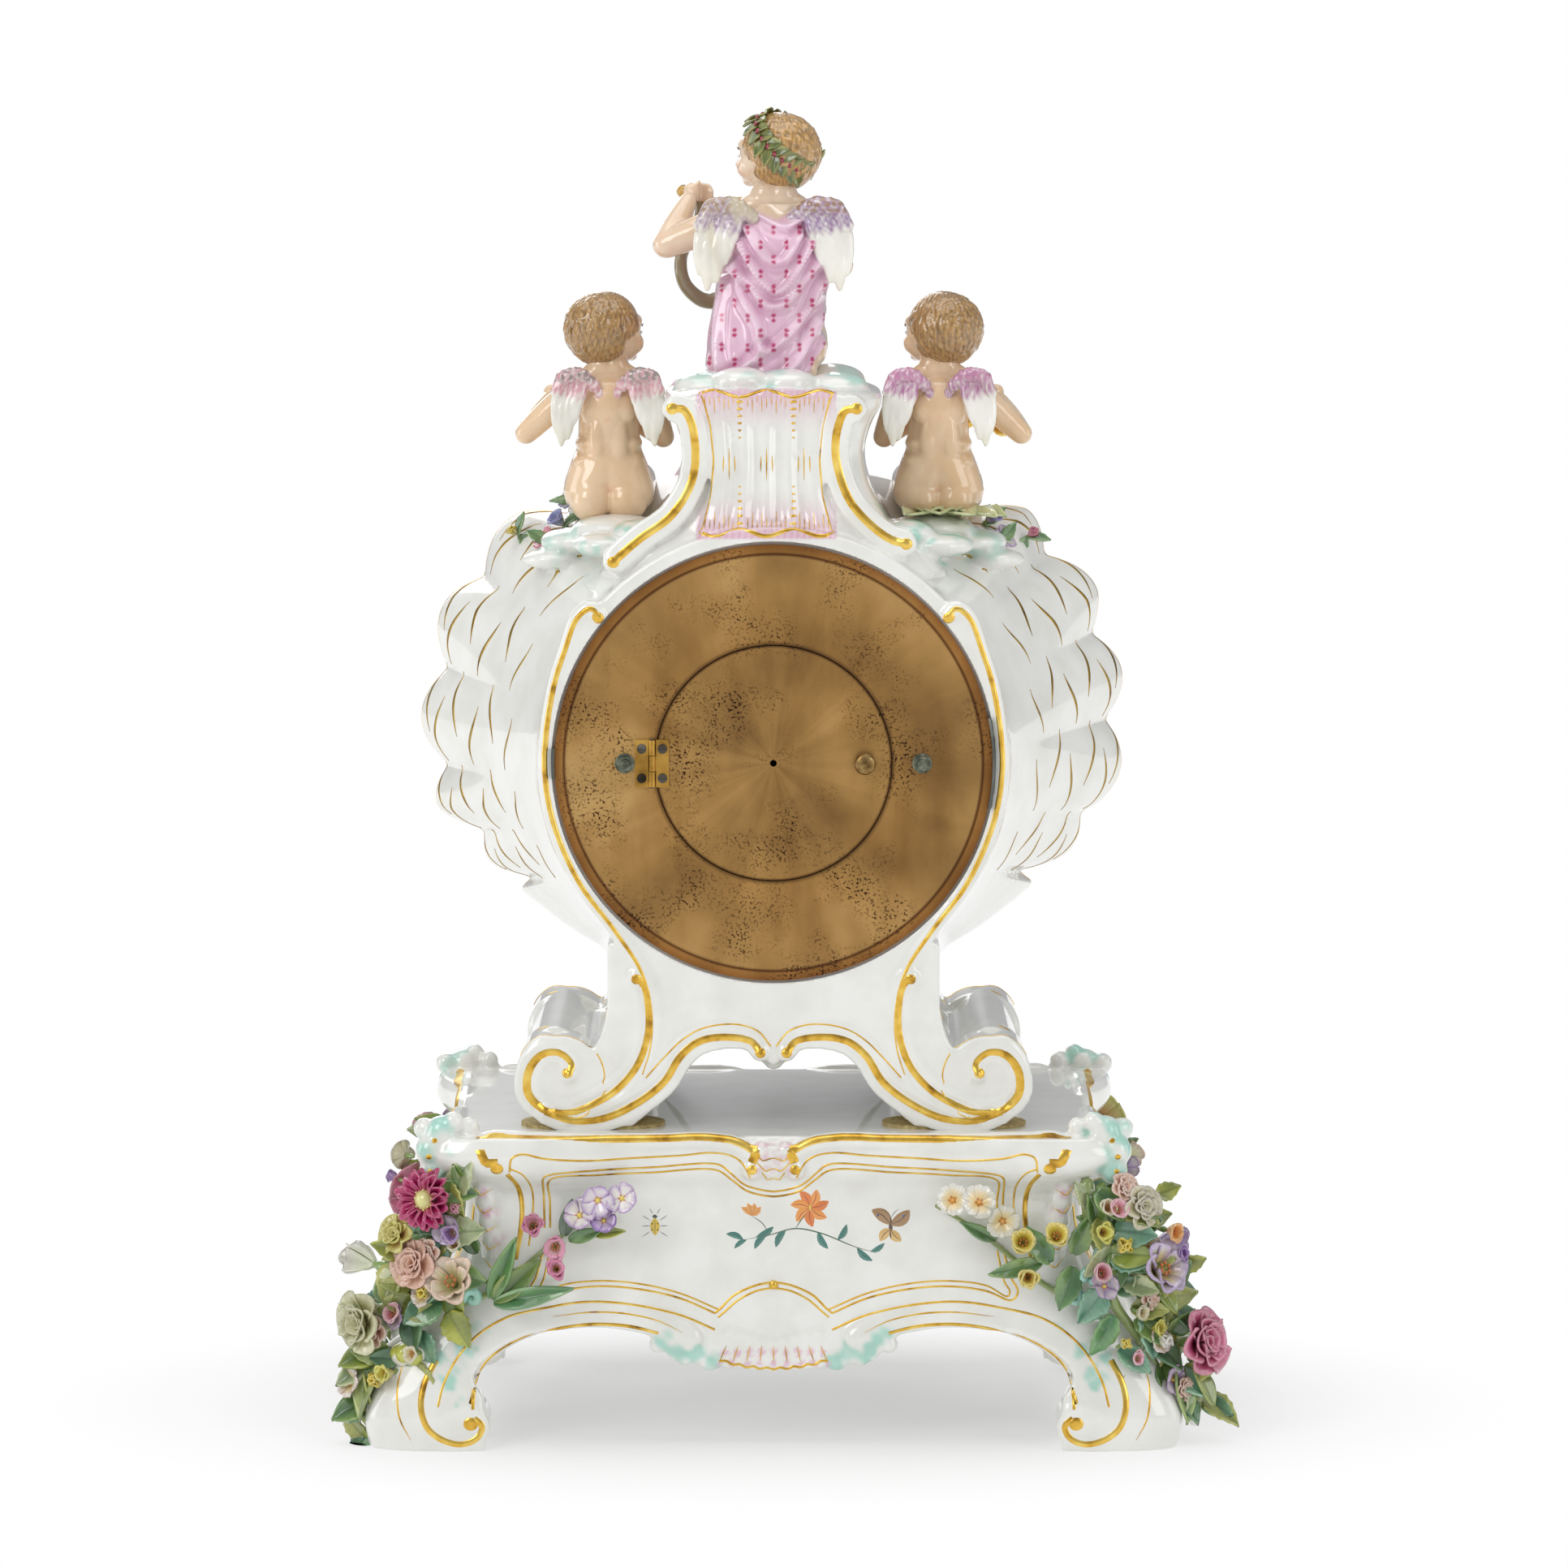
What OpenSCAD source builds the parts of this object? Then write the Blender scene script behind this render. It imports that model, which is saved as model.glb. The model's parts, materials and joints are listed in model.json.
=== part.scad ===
// Porcelain mantel clock on a porcelain stand. Millimetres, +Z up, dial towards -Y, brass back towards +Y.
// The origin is on the table, at the centre of the stand.

/* [Stand] */
// Height of the stand from the table to its top
stand_h = 139; // [120:1:160]
// Half width of the stand between its corner pilasters' tops
stand_half_w = 148; // [140:1:156]
// Half depth of the stand
stand_half_d = 100; // [96:1:106]
// Wall of the stand's hollow shell
stand_wall = 8; // [6:0.5:10]
// Height of the arches between the stand's feet
stand_arch_h = 53; // [44:1:60]
// Radius of the raised scroll edges
scroll_edge_r = 3.4; // [2.6:0.2:4.2]
// Thickness of the wax beds under the case's feet
bed_t = 1.5; // [1:0.25:3]

/* [Case] */
// Height of the drum's axis above the case's feet
drum_h = 162; // [158:1:170]
// Radius of the case's rim around the brass back plate
back_rim_r = 104; // [102:0.5:107]
// Radius of the lobed shell rim
shell_rim_r = 163; // [154:1:170]
// Depth of the notches between the lobes
lobe_d = 10; // [6:0.5:14]
// Half depth of the case over its feet
case_half_d = 82; // [80:1:88]
// Distance of the lobed rim in front of the drum's middle
shell_rim_y = 35; // [28:1:42]
// Distance of the dial boss's face in front of the drum's middle
boss_y = 72; // [70:1:75]
// Radius of the dial boss
boss_r = 82; // [81:0.5:86]
// Wall of the case's porcelain
case_wall = 8; // [6:0.5:9]
// Half width over the case's lower scrolls
foot_half_w = 114; // [110:1:118]
// Height of the case's legs up to the waist
leg_h = 62; // [58:1:66]
// Height of the cartouche neck's top above the drum's axis
neck_top = 164; // [160:1:170]
// Half width of the cartouche neck at its top
neck_half_w = 48; // [44:1:52]

/* [Figures] */
// Sitting height of the top putto
top_putto_h = 120; // [112:1:124]
// Sitting height of each side putto
side_putto_h = 101; // [94:1:106]
// Distance of the side putti from the middle
side_putto_x = 74; // [70:1:78]

/* [Flowers] */
// Radius of a large applied flower
flower_r = 15; // [12:0.5:17]
// Length of an applied leaf
leaf_l = 26; // [20:1:30]

/* [Brass back] */
// Radius of the brass back plate
plate_r = 96.5; // [92:0.5:97]
// Thickness of the brass back plate
plate_t = 2.4; // [2:0.1:3]
// Radius of the inner door
door_r = 52; // [48:0.5:54]
// Radius of the door's knob
knob_r = 4.8; // [4:0.2:6]
// Height of the butt hinge
hinge_h = 21; // [16:1:26]
// Width of one hinge leaf
hinge_leaf_w = 7.4; // [6.4:0.2:9]
// Radius of the tie rods
tie_rod_r = 2; // [1.6:0.1:2.2]
// Distance of each tie rod from the drum's axis
tie_rod_x = 65.5; // [65.2:0.1:65.6]

/* [Dial and bezel] */
// Radius of the enamel dial
dial_r = 57.5; // [52:0.5:58]
// Outer radius of the bezel
bezel_r = 78; // [76:0.5:79]
// Inner radius of the bezel door's ring
bezel_in_r = 60; // [59:0.5:62]
// Length of the minute hand
minute_hand_l = 47; // [40:1:50]
// Length of the hour hand
hour_hand_l = 31; // [26:1:34]

/* [Movement] */
// Radius of the movement's plates
mov_r = 48; // [47.6:0.1:48.4]
// Thickness of the movement's plates
mov_t = 2; // [1.6:0.1:2.4]
// Space between the movement's plates
mov_gap = 34; // [33.5:0.1:35]
// Length of the pendulum from its bend to the bob's centre
pendulum_l = 112; // [104:1:114]
// Radius of the pendulum bob
bob_r = 13; // [10:0.5:14]
// Radius of the bell
bell_r = 29; // [27:0.5:30]

/* [Hidden] */

// Overrun of every cut
cut = 1;
// Running clearance of a shaft in its hole
run = 0.05;
// Gap between parts that pass each other
gap = 0.3;

// Heights that the pieces share
case_z = stand_h + bed_t;
drum_z = case_z + drum_h;

// Shared small functions
function polar(r, a) = [r * cos(a), r * sin(a)];
function total(v, i = 0) = i == len(v) ? [0, 0, 0] : v[i] + total(v, i + 1);
function centre(v) = total(v) / len(v);
function arc(c, r, a0, a1, n) = [for (i = [0 : n]) c + polar(r, a0 + (a1 - a0) * i / n)];
function hump(a, at, width) = exp(-pow((a - at) / width, 2));

// Solid through rings of points, closed at both ends with a fan round the ring's centre
module loft(rings) {
    n = len(rings[0]);
    m = len(rings);
    points = concat([for (r = rings) each r], [centre(rings[0]), centre(rings[m - 1])]);
    polyhedron(points = points, faces = concat(
        [for (i = [0 : m - 2], j = [0 : n - 1]) [i * n + j, (i + 1) * n + j, i * n + (j + 1) % n]],
        [for (i = [0 : m - 2], j = [0 : n - 1])
            [i * n + (j + 1) % n, (i + 1) * n + j, (i + 1) * n + (j + 1) % n]],
        [for (j = [0 : n - 1]) [m * n, j, (j + 1) % n]],
        [for (j = [0 : n - 1]) [m * n + 1, (m - 1) * n + (j + 1) % n, (m - 1) * n + j]]));
}

// Turns a child's Z towards the dial and puts it on the drum's axis system at depth y
module at(x, z, y) {
    translate([x, y, drum_z + z]) rotate([90, 0, 0]) children();
}

// Round bar between two points of the clock, r0 and r1 at its ends
module bar(p, q, r0, r1, fn = 8) {
    hull() {
        translate(p) sphere(r = r0, $fn = fn);
        translate(q) sphere(r = r1, $fn = fn);
    }
}

// Bars along a list of points, with one radius
module bars(points, r, fn = 6) {
    for (i = [0 : len(points) - 2]) bar(points[i], points[i + 1], r, r, fn);
}

// Disc along Y from depth y0 to the more forward depth y1
module disc(r, y0, y1, x = 0, z = 0) {
    at(x, z, y0) cylinder(r = r, h = y0 - y1, $fn = 96);
}

// Ring along Y from depth y0 to the more forward depth y1
module ring(r_out, r_in, y0, y1, x = 0, z = 0) {
    difference() {
        disc(r_out, y0, y1, x, z);
        disc(r_in, y0 + cut, y1 - cut, x, z);
    }
}

// Stand: shares of height, half width and half depth, corner reach in x and y
stand_shares = [
    [0, 0.9, 0.99, 0.46, 0.2], [0.1, 0.91, 0.99, 0.46, 0.2], [0.26, 0.91, 0.975, 0.37, 0.17],
    [0.42, 0.9, 0.96, 0.25, 0.13], [0.58, 0.885, 0.95, 0.15, 0.11], [0.74, 0.875, 0.94, 0.12, 0.1],
    [0.83, 0.885, 0.95, 0.13, 0.11], [0.88, 0.94, 0.985, 0.17, 0.16], [0.94, 0.965, 1, 0.18, 0.18],
    [1, 0.955, 0.985, 0.17, 0.17]];
// Sides of the stand's rings of points
stand_sides = 48;
// Squareness of the stand's plan
stand_power = 6;
// Half angle of a corner pilaster, in degrees
corner_half_angle = 15;

function plan_share(a) = pow(pow(abs(cos(a)), stand_power) + pow(abs(sin(a)), stand_power), -1 / stand_power);
function corner_share(a) = hump((a + 360) % 90, 45, corner_half_angle);
function stand_point(a, s, inset) = [
    (stand_half_w * s[1] - inset) * plan_share(a) * cos(a) * (1 + s[3] * corner_share(a)),
    (stand_half_d * s[2] - inset) * plan_share(a) * sin(a) * (1 + s[4] * corner_share(a)),
    stand_h * s[0]];
function stand_ring(s, inset) = [for (j = [0 : stand_sides - 1]) stand_point(j * 360 / stand_sides, s, inset)];

// Arch under a side of the stand: share of half span, share of arch height
arch_shares = [
    [1, -0.1], [1, 0.46], [1.04, 0.6], [1, 0.76], [0.87, 0.94], [0.7, 1], [0.58, 1], [0.46, 0.95],
    [0.4, 0.92], [0.35, 0.71], [0.3, 0.76], [0.26, 0.82], [0.19, 0.67], [0.09, 0.64], [0, 0.62]];
// Clear half span between the feet at the back and front, and at the sides
arch_half_w = stand_half_w * 0.86;
arch_half_d = stand_half_d * 0.72;

module arch_cut(half_span, depth) {
    half = [for (s = arch_shares) [s[0] * half_span, s[1] * stand_arch_h]];
    rotate([90, 0, 0]) linear_extrude(depth, center = true)
        polygon(concat(half, [for (i = [len(half) - 2 : -1 : 0]) [-half[i][0], half[i][1]]]));
}

// Scroll edge of the stand's top: share of half width, rise as a share of the edge's radius
edge_shares = [[0.9, -4.4], [0.84, -5.6], [0.81, -3.6], [0.84, -0.9], [0.6, -1.3], [0.22, -0.9],
    [0.11, -3], [0.15, -4.6]];

module stand_scrolls() {
    for (sx = [-1, 1], sy = [-1, 1]) {
        bars([for (s = edge_shares) [sx * s[0] * stand_half_w, sy * stand_half_d * 0.985,
            stand_h + s[1] * scroll_edge_r]], scroll_edge_r);
        // Rolled inner end of a foot
        hull() for (dy = [0.8, 1.12])
            translate([sx * arch_half_w * 1.07, sy * stand_half_d * dy, scroll_edge_r * 3.2])
                rotate([90, 0, 0]) cylinder(r = scroll_edge_r * 3.2, h = scroll_edge_r, center = true, $fn = 12);
    }
    // Shell drop at the middle of the front and back top edges
    for (sy = [-1, 1]) hull() {
        translate([0, sy * stand_half_d * 0.96, stand_h - scroll_edge_r]) sphere(r = scroll_edge_r * 1.9, $fn = 8);
        translate([0, sy * stand_half_d * 0.955, stand_h - scroll_edge_r * 4.5])
            sphere(r = scroll_edge_r * 1.3, $fn = 8);
    }
}

module stand() {
    color("ivory") intersection() {
        union() {
            difference() {
                loft([for (s = stand_shares) stand_ring(s, 0)]);
                loft([for (s = [stand_shares[0] - [0.05, 0, 0, 0, 0], stand_shares[3], stand_shares[6],
                    stand_shares[9] - [stand_wall / stand_h, 0, 0, 0, 0]]) stand_ring(s, stand_wall)]);
                arch_cut(arch_half_w, 4 * stand_half_d);
                rotate([0, 0, 90]) arch_cut(arch_half_d, 4 * stand_half_w);
            }
            stand_scrolls();
        }
        translate([-2 * stand_half_w, -2 * stand_half_d, 0])
            cube([4 * stand_half_w, 4 * stand_half_d, stand_h]);
    }
}

// Case: shares of the way from back rim to shell rim, of the flare and of the lobes
flare_shares = [[0, 0, 0], [0.06, 0.01, 0], [0.24, 0.13, 0.15], [0.45, 0.33, 0.35], [0.65, 0.56, 0.6],
    [0.82, 0.79, 0.85], [0.93, 0.93, 1], [1, 1, 1]];
// Front dish: shares of the way from shell rim to boss in depth, in radius, and of the lobes
dish_shares = [[0.14, 0.03, 1], [0.18, 0.14, 0.7], [0.22, 0.38, 0.3], [0.42, 0.68, 0], [0.78, 0.9, 0], [1, 1, 0]];
// Shell rim's radius by height angle
rim_shares = [[-90, 0.7], [-62, 0.74], [-48, 0.77], [-38, 0.79], [-28, 0.845], [-20, 0.9], [-12, 0.965],
    [0, 0.99], [24, 1], [42, 0.955], [52, 0.865], [62, 0.8], [75, 0.77], [90, 0.76]];
// Angles of the notches between the lobes, on the side of +X and on the side of -X
left_notches = [48, 29, 12, -5, -18, -31, -46];
right_notches = [50, 34, 18, 3, -14, -29, -46];
// Steps round the drum, outside and inside
drum_steps = 54;
cavity_steps = 28;

function lobe_at(a, notches, i = 0) = i >= len(notches) - 1 || a > notches[0] ? 0
    : a >= notches[i + 1] ? 1 - sin(180 * (a - notches[i + 1]) / (notches[i] - notches[i + 1]))
    : lobe_at(a, notches, i + 1);
function height_angle(a) = asin(sin(a));
function rim_at(a) = shell_rim_r * lookup(height_angle(a), rim_shares);
function notch_at(a) = lobe_d * lobe_at(height_angle(a), cos(a) > 0 ? left_notches : right_notches);
function drum_point(a, r, y) = [r * cos(a), y, drum_z + r * sin(a)];
function flare_y(s) = case_half_d - (case_half_d + shell_rim_y) * s[0];
function flare_r(a, s) = back_rim_r + (rim_at(a) - back_rim_r) * s[1] - notch_at(a) * s[2];
function dish_y(s) = -shell_rim_y - (boss_y - shell_rim_y) * s[0];
function dish_r(a, s) = rim_at(a) + (boss_r - rim_at(a)) * s[1] - notch_at(a) * s[2];
function around(steps) = [for (j = [0 : steps - 1]) j * 360 / steps];

module drum_solid() {
    loft(concat(
        [for (s = flare_shares) [for (a = around(drum_steps)) drum_point(a, flare_r(a, s), flare_y(s))]],
        [for (s = dish_shares) [for (a = around(drum_steps)) drum_point(a, dish_r(a, s), dish_y(s))]]));
}

// Hollow of the drum
plate_ledge = 2.5;
bore_r = plate_r - plate_ledge;
bezel_seat_w = 8;
aperture_r = bezel_r - bezel_seat_w;
function hollow_r(a, s) = bore_r + max(0, rim_at(a) - lobe_d - case_wall - bore_r) * s[1];
module drum_hollow() {
    loft(concat(
        [for (s = [flare_shares[1], flare_shares[3], flare_shares[5], flare_shares[7]])
            [for (a = around(cavity_steps)) drum_point(a, hollow_r(a, s), flare_y(s))]],
        [[for (a = around(cavity_steps)) drum_point(a, bore_r, -shell_rim_y - case_wall / 2)]]));
}

// Case leg in the plane of the back: share of half width, share of leg height
leg_shares = [
    [0.645, 1.3], [0.645, 0.86], [0.66, 0.72], [0.685, 0.6], [0.72, 0.53], [0.76, 0.52], [0.8, 0.58], [0.84, 0.64],
    [0.9, 0.655], [0.955, 0.59], [0.99, 0.48], [1, 0.36], [0.985, 0.22], [0.93, 0.09], [0.86, 0], [0.55, 0],
    [0.485, 0.1], [0.42, 0.26], [0.36, 0.41], [0.3, 0.52], [0.23, 0.59], [0.16, 0.61], [0.09, 0.6],
    [0.05, 0.54], [0.02, 0.46], [0, 0.44]];

module leg_profile() {
    half = [for (s = leg_shares) [s[0] * foot_half_w, s[1] * leg_h]];
    polygon(concat(half, [for (i = [len(half) - 2 : -1 : 0]) [-half[i][0], half[i][1]]]));
}

// Depth of the scroll faces at the front and back of the legs
scroll_face_d = case_half_d * 0.42;
// Recess of the leg's side between its scroll faces
side_recess = 3;
// Eye of a leg's scroll
eye_x = foot_half_w * 0.83;
eye_z = leg_h * 0.37;

module case_legs() {
    translate([0, 0, case_z]) rotate([90, 0, 0]) {
        for (side = [-1, 1]) translate([0, 0, side * (case_half_d - scroll_face_d / 2)])
            linear_extrude(scroll_face_d, center = true) leg_profile();
        linear_extrude(2 * (case_half_d - scroll_face_d / 2), center = true)
            offset(delta = -side_recess) leg_profile();
    }
}

// Slope of the front apron, from above its scrolls back to the boss
module apron_slope() {
    translate([-foot_half_w, 0, case_z]) rotate([90, 0, 90]) linear_extrude(2 * foot_half_w)
        polygon([[-case_half_d, leg_h * 0.75], [-0.9 * boss_y, leg_h * 1.4], [-2 * case_half_d, leg_h * 1.4],
            [-2 * case_half_d, leg_h * 0.75]]);
}

// Groove of a leg scroll, cut into its face
groove_steps = 10;
module scroll_groove() {
    r = leg_h * 0.24;
    w = leg_h * 0.045;
    turn = [for (i = [0 : groove_steps]) [200 + 430 * i / groove_steps, r * (1 - 0.63 * i / groove_steps)]];
    polygon(concat([for (t = turn) polar(t[1], t[0])],
        [for (i = [groove_steps : -1 : 0]) polar(turn[i][1] - w, turn[i][0])]));
}

module scroll_grooves() {
    depth = case_wall * 0.3;
    for (side = [-1, 1], sx = [0, 1]) mirror([sx, 0, 0])
        translate([eye_x, side * case_half_d, case_z + eye_z]) rotate([90, 0, 0])
            linear_extrude(2 * depth, center = true) scroll_groove();
}

// Neck: shares of the height from axis to top, half width, back depth and front depth
neck_shares = [[0.5, 1.62, 0.975, -0.55], [0.56, 1.4, 0.97, -0.55], [0.61, 1.16, 0.93, -0.52],
    [0.68, 1, 0.89, -0.48], [0.76, 0.88, 0.87, -0.44], [0.84, 0.85, 0.87, -0.42], [0.91, 0.92, 0.89, -0.42],
    [0.96, 1, 0.95, -0.44], [0.985, 0.98, 0.96, -0.44], [1, 0.84, 0.9, -0.4]];
neck_steps = 20;
neck_power = 5;
function box_share(a) = pow(pow(abs(cos(a)), neck_power) + pow(abs(sin(a)), neck_power), -1 / neck_power);
function neck_ring(s) = let(mid = (s[2] + s[3]) * case_half_d / 2, half = (s[2] - s[3]) * case_half_d / 2)
    [for (a = around(neck_steps)) [neck_half_w * s[1] * box_share(a) * cos(a),
        mid + half * box_share(a) * sin(a), drum_z + neck_top * s[0]]];

// Cloud on the neck: shares of half width and half depth, rise and radius by half width
cloud_shares = [[-0.55, 0.6, 0.02, 0.28], [0.1, 0.66, 0.03, 0.26], [0.62, 0.5, 0.02, 0.27], [-0.5, 0.05, 0.04, 0.3],
    [0.45, 0, 0.04, 0.3], [0.05, -0.28, 0, 0.28]];
// Neck's C-scrolls: shares of half width and neck height, radius by half width
volute_shares = [[0.86, 0.945, 0.17], [0.79, 0.86, 0.11], [0.8, 0.74, 0.11], [0.98, 0.62, 0.12], [1.25, 0.545, 0.12],
    [1.48, 0.54, 0.15]];

module case_mouldings() {
    for (s = cloud_shares) hull() {
        translate([s[0] * neck_half_w, s[1] * case_half_d, drum_z + neck_top + s[2] * neck_half_w])
            sphere(r = s[3] * neck_half_w, $fn = 8);
        translate([s[0] * neck_half_w * 0.7, s[1] * case_half_d * 0.7, drum_z + neck_top * 0.95])
            sphere(r = s[3] * neck_half_w, $fn = 8);
    }
    for (sx = [-1, 1]) bars([for (s = volute_shares) [sx * s[0] * neck_half_w,
        case_half_d * 0.93 - s[2] * neck_half_w * 0.2, drum_z + s[1] * neck_top]], neck_half_w * 0.1, 8);
}

// Seat of the back plate, with room for the shims
shim_t = 1.1;
seat_r = plate_r + shim_t + gap;
plate_proud = 0.5;
plate_y = case_half_d + plate_proud;
plate_in_y = plate_y - plate_t;

module case_body() {
    color("ivory") difference() {
        difference() {
            union() {
                drum_solid();
                difference() {
                    case_legs();
                    apron_slope();
                }
                loft([for (s = neck_shares) neck_ring(s)]);
                case_mouldings();
            }
            drum_hollow();
            scroll_grooves();
        }
        disc(bore_r, plate_in_y + cut, plate_in_y - case_half_d * 0.3);
        // Pocket that the pendulum's bob swings in
        disc(bob_r * 1.25 + bob_room, pendulum_y + bob_t, pendulum_y - bob_t, 0, bob_z);
        disc(seat_r, case_half_d + cut, plate_in_y);
        disc(aperture_r, -shell_rim_y + cut, -boss_y - cut);
    }
}

module foot_beds() {
    color("khaki") for (sx = [-1, 1], sy = [-1, 1]) {
        x0 = foot_half_w * 0.56;
        x1 = foot_half_w * 0.85;
        r = scroll_face_d * 0.45;
        translate([sx * (x0 + x1) / 2, sy * (case_half_d - scroll_face_d * 0.5), stand_h]) linear_extrude(bed_t) {
            square([x1 - x0, 2 * r], center = true);
            for (side = [-1, 1]) translate([side * (x1 - x0) / 2, 0]) circle(r = r, $fn = 48);
        }
    }
}

// Limbs of a putto as bars: start, radius, end, radius, as shares of the sitting height.
// +X of a figure is towards the outside of the clock.
trunk_shares = [
    [[0, 0.02, 0.53], 0.13, [0, -0.01, 0.3], 0.14], [[0, -0.01, 0.3], 0.14, [0.08, 0.02, 0.13], 0.125],
    [[0, -0.01, 0.3], 0.14, [-0.08, 0.02, 0.13], 0.125], [[-0.15, 0.02, 0.6], 0.06, [0.15, 0.02, 0.6], 0.06],
    [[0, 0.01, 0.58], 0.07, [0, -0.01, 0.74], 0.06], [[0.08, 0, 0.12], 0.115, [0.13, -0.46, 0.14], 0.08],
    [[-0.08, 0, 0.12], 0.115, [-0.12, -0.46, 0.15], 0.08], [[0.13, -0.46, 0.14], 0.07, [0.12, -0.53, -0.17], 0.04],
    [[-0.12, -0.46, 0.15], 0.07, [-0.1, -0.54, -0.14], 0.04], [[0.12, -0.52, -0.19], 0.04, [0.13, -0.62, -0.22], 0.033],
    [[-0.1, -0.53, -0.16], 0.04, [-0.1, -0.63, -0.18], 0.033]];
// Head: skull, face and hair as shares of the sitting height
head_r_share = 0.125;
hair_r_share = 0.135;
head_share = [0, -0.03, 0.835];

top_arm_shares = [
    [[0.16, 0.01, 0.6], 0.056, [0.4, 0, 0.5], 0.052], [[0.4, 0, 0.5], 0.05, [0.32, -0.12, 0.66], 0.036],
    [[0.32, -0.12, 0.66], 0.036, [0.28, -0.17, 0.68], 0.03], [[-0.17, 0.01, 0.59], 0.056, [-0.25, -0.12, 0.42], 0.05],
    [[-0.25, -0.12, 0.42], 0.048, [-0.02, -0.3, 0.46], 0.036]];
side_arm_shares = [
    [[0.16, 0.01, 0.58], 0.056, [0.37, -0.02, 0.38], 0.05], [[0.37, -0.02, 0.38], 0.048, [0.28, -0.22, 0.52], 0.036],
    [[-0.16, 0.01, 0.58], 0.056, [-0.24, -0.12, 0.36], 0.05], [[-0.24, -0.12, 0.36], 0.048, [0.02, -0.3, 0.5], 0.036]];

module limbs(table, h) {
    for (s = table) bar(s[0] * h, s[2] * h, s[1] * h, s[3] * h, max(s[1], s[3]) > 0.075 ? 7 : 5);
}

// Head with a cap of hair, face and cheeks, turned by an angle about Z
module putto_head(h, turn) {
    translate(head_share * h) rotate([0, 0, turn]) {
        sphere(r = head_r_share * h, $fn = 8);
        bar([0, -0.035, -0.05] * h, [0, -0.065, -0.02] * h, 0.08 * h, 0.075 * h, 8);
        bar([0, 0.03, 0.03] * h, [0, 0.04, -0.03] * h, hair_r_share * h, 0.115 * h, 8);
        // Nose
        bar([0, -0.13, -0.015] * h, [0, -0.14, -0.04] * h, 0.012 * h, 0.016 * h, 5);
    }
}

module putto(h, arms, turn) {
    limbs(trunk_shares, h);
    limbs(arms, h);
    putto_head(h, turn);
}

// Feathers of one wing: root, root radius, tip, tip radius
wing_shares = [
    [[0.05, 0.13, 0.58], 0.035, [0.16, 0.2, 0.62], 0.045], [[0.16, 0.2, 0.62], 0.045, [0.25, 0.23, 0.6], 0.04],
    [[0.25, 0.23, 0.6], 0.038, [0.28, 0.25, 0.34], 0.016], [[0.2, 0.22, 0.6], 0.042, [0.24, 0.24, 0.36], 0.018],
    [[0.15, 0.2, 0.6], 0.042, [0.2, 0.22, 0.42], 0.02]];

module wings(h, spread) {
    for (sx = [0, 1]) mirror([sx, 0, 0]) scale([spread, 0.55, 1]) translate([0, 0.1 * h, 0])
        limbs(wing_shares, h);
}

// Places of the figures
top_seat = [0, 0.18 * case_half_d, drum_z + neck_top + 0.04 * neck_half_w];
side_seat_z = drum_z + shell_rim_r * 0.63;
module on_top() {
    translate(top_seat) children();
}
module on_side(sx) {
    translate([sx * side_putto_x, 0.1 * case_half_d, side_seat_z]) mirror([sx < 0 ? 1 : 0, 0, 0]) children();
}

module top_putto() {
    color("bisque") on_top() putto(top_putto_h, top_arm_shares, 60);
}
module top_putto_wings() {
    color("lavender") on_top() wings(top_putto_h, 1);
}
module left_putto() {
    color("bisque") on_side(1) putto(side_putto_h, side_arm_shares, -55);
}
module left_putto_wings() {
    color("lavender") on_side(1) wings(side_putto_h, 0.84);
}
module right_putto() {
    color("bisque") on_side(-1) putto(side_putto_h, side_arm_shares, -55);
}
module right_putto_wings() {
    color("lavender") on_side(-1) wings(side_putto_h, 0.84);
}

// Drapery of the top putto: share of height, half width, half depth, x shift, y shift
drape_shares = [
    [-0.02, 0.2, 0.17, -0.02, 0.04], [0.02, 0.26, 0.2, 0, 0.05], [0.12, 0.26, 0.2, 0.01, 0.05],
    [0.26, 0.22, 0.19, 0.01, 0.04], [0.4, 0.205, 0.18, -0.01, 0.04], [0.53, 0.2, 0.17, -0.02, 0.04],
    [0.6, 0.19, 0.13, -0.02, 0.03], [0.655, 0.13, 0.09, -0.02, 0.03]];
drape_steps = 27;
drape_folds = 9;
drape_fold_share = 0.012;

module top_putto_drapery() {
    color("plum") on_top() loft([for (s = drape_shares)
        [for (a = around(drape_steps))
            let(fold = top_putto_h * drape_fold_share * cos(drape_folds * a + 220 * s[0]) * (1 - s[0]))
            [top_putto_h * (s[3] + s[1] * cos(a)) + fold * cos(a),
                top_putto_h * (s[4] + s[2] * sin(a)) + fold * sin(a), top_putto_h * s[0]]]]);
}

// Lyre: two horns, a foot, a yoke and strings, as shares of the sitting height
lyre_shares = [[0.1, 0.06], [0.19, 0.14], [0.2, 0.24], [0.14, 0.34], [0.12, 0.42], [0.16, 0.48]];
module top_putto_lyre() {
    h = top_putto_h;
    color("sienna") on_top() translate([0.16, -0.24, 0.22] * h) rotate([0, 0, 20]) {
        for (sx = [-1, 1]) bars([for (s = lyre_shares) [sx * s[0], 0, s[1]] * h], 0.022 * h, 5);
        bar([-0.15, 0, 0.44] * h, [0.15, 0, 0.44] * h, 0.014 * h, 0.014 * h, 5);
        bar([-0.1, 0, 0.06] * h, [0.1, 0, 0.06] * h, 0.034 * h, 0.034 * h, 6);
        for (x = [-0.04, 0, 0.04]) translate([x, 0, 0.06] * h) cylinder(r = 0.005 * h, h = 0.38 * h, $fn = 5);
    }
}

module left_putto_flute() {
    h = side_putto_h;
    color("saddlebrown") on_side(1) hull() {
        translate([-0.1, -0.2, 0.76] * h) sphere(r = 0.02 * h, $fn = 8);
        translate([0.3, -0.26, 0.44] * h) sphere(r = 0.024 * h, $fn = 8);
    }
}

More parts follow.
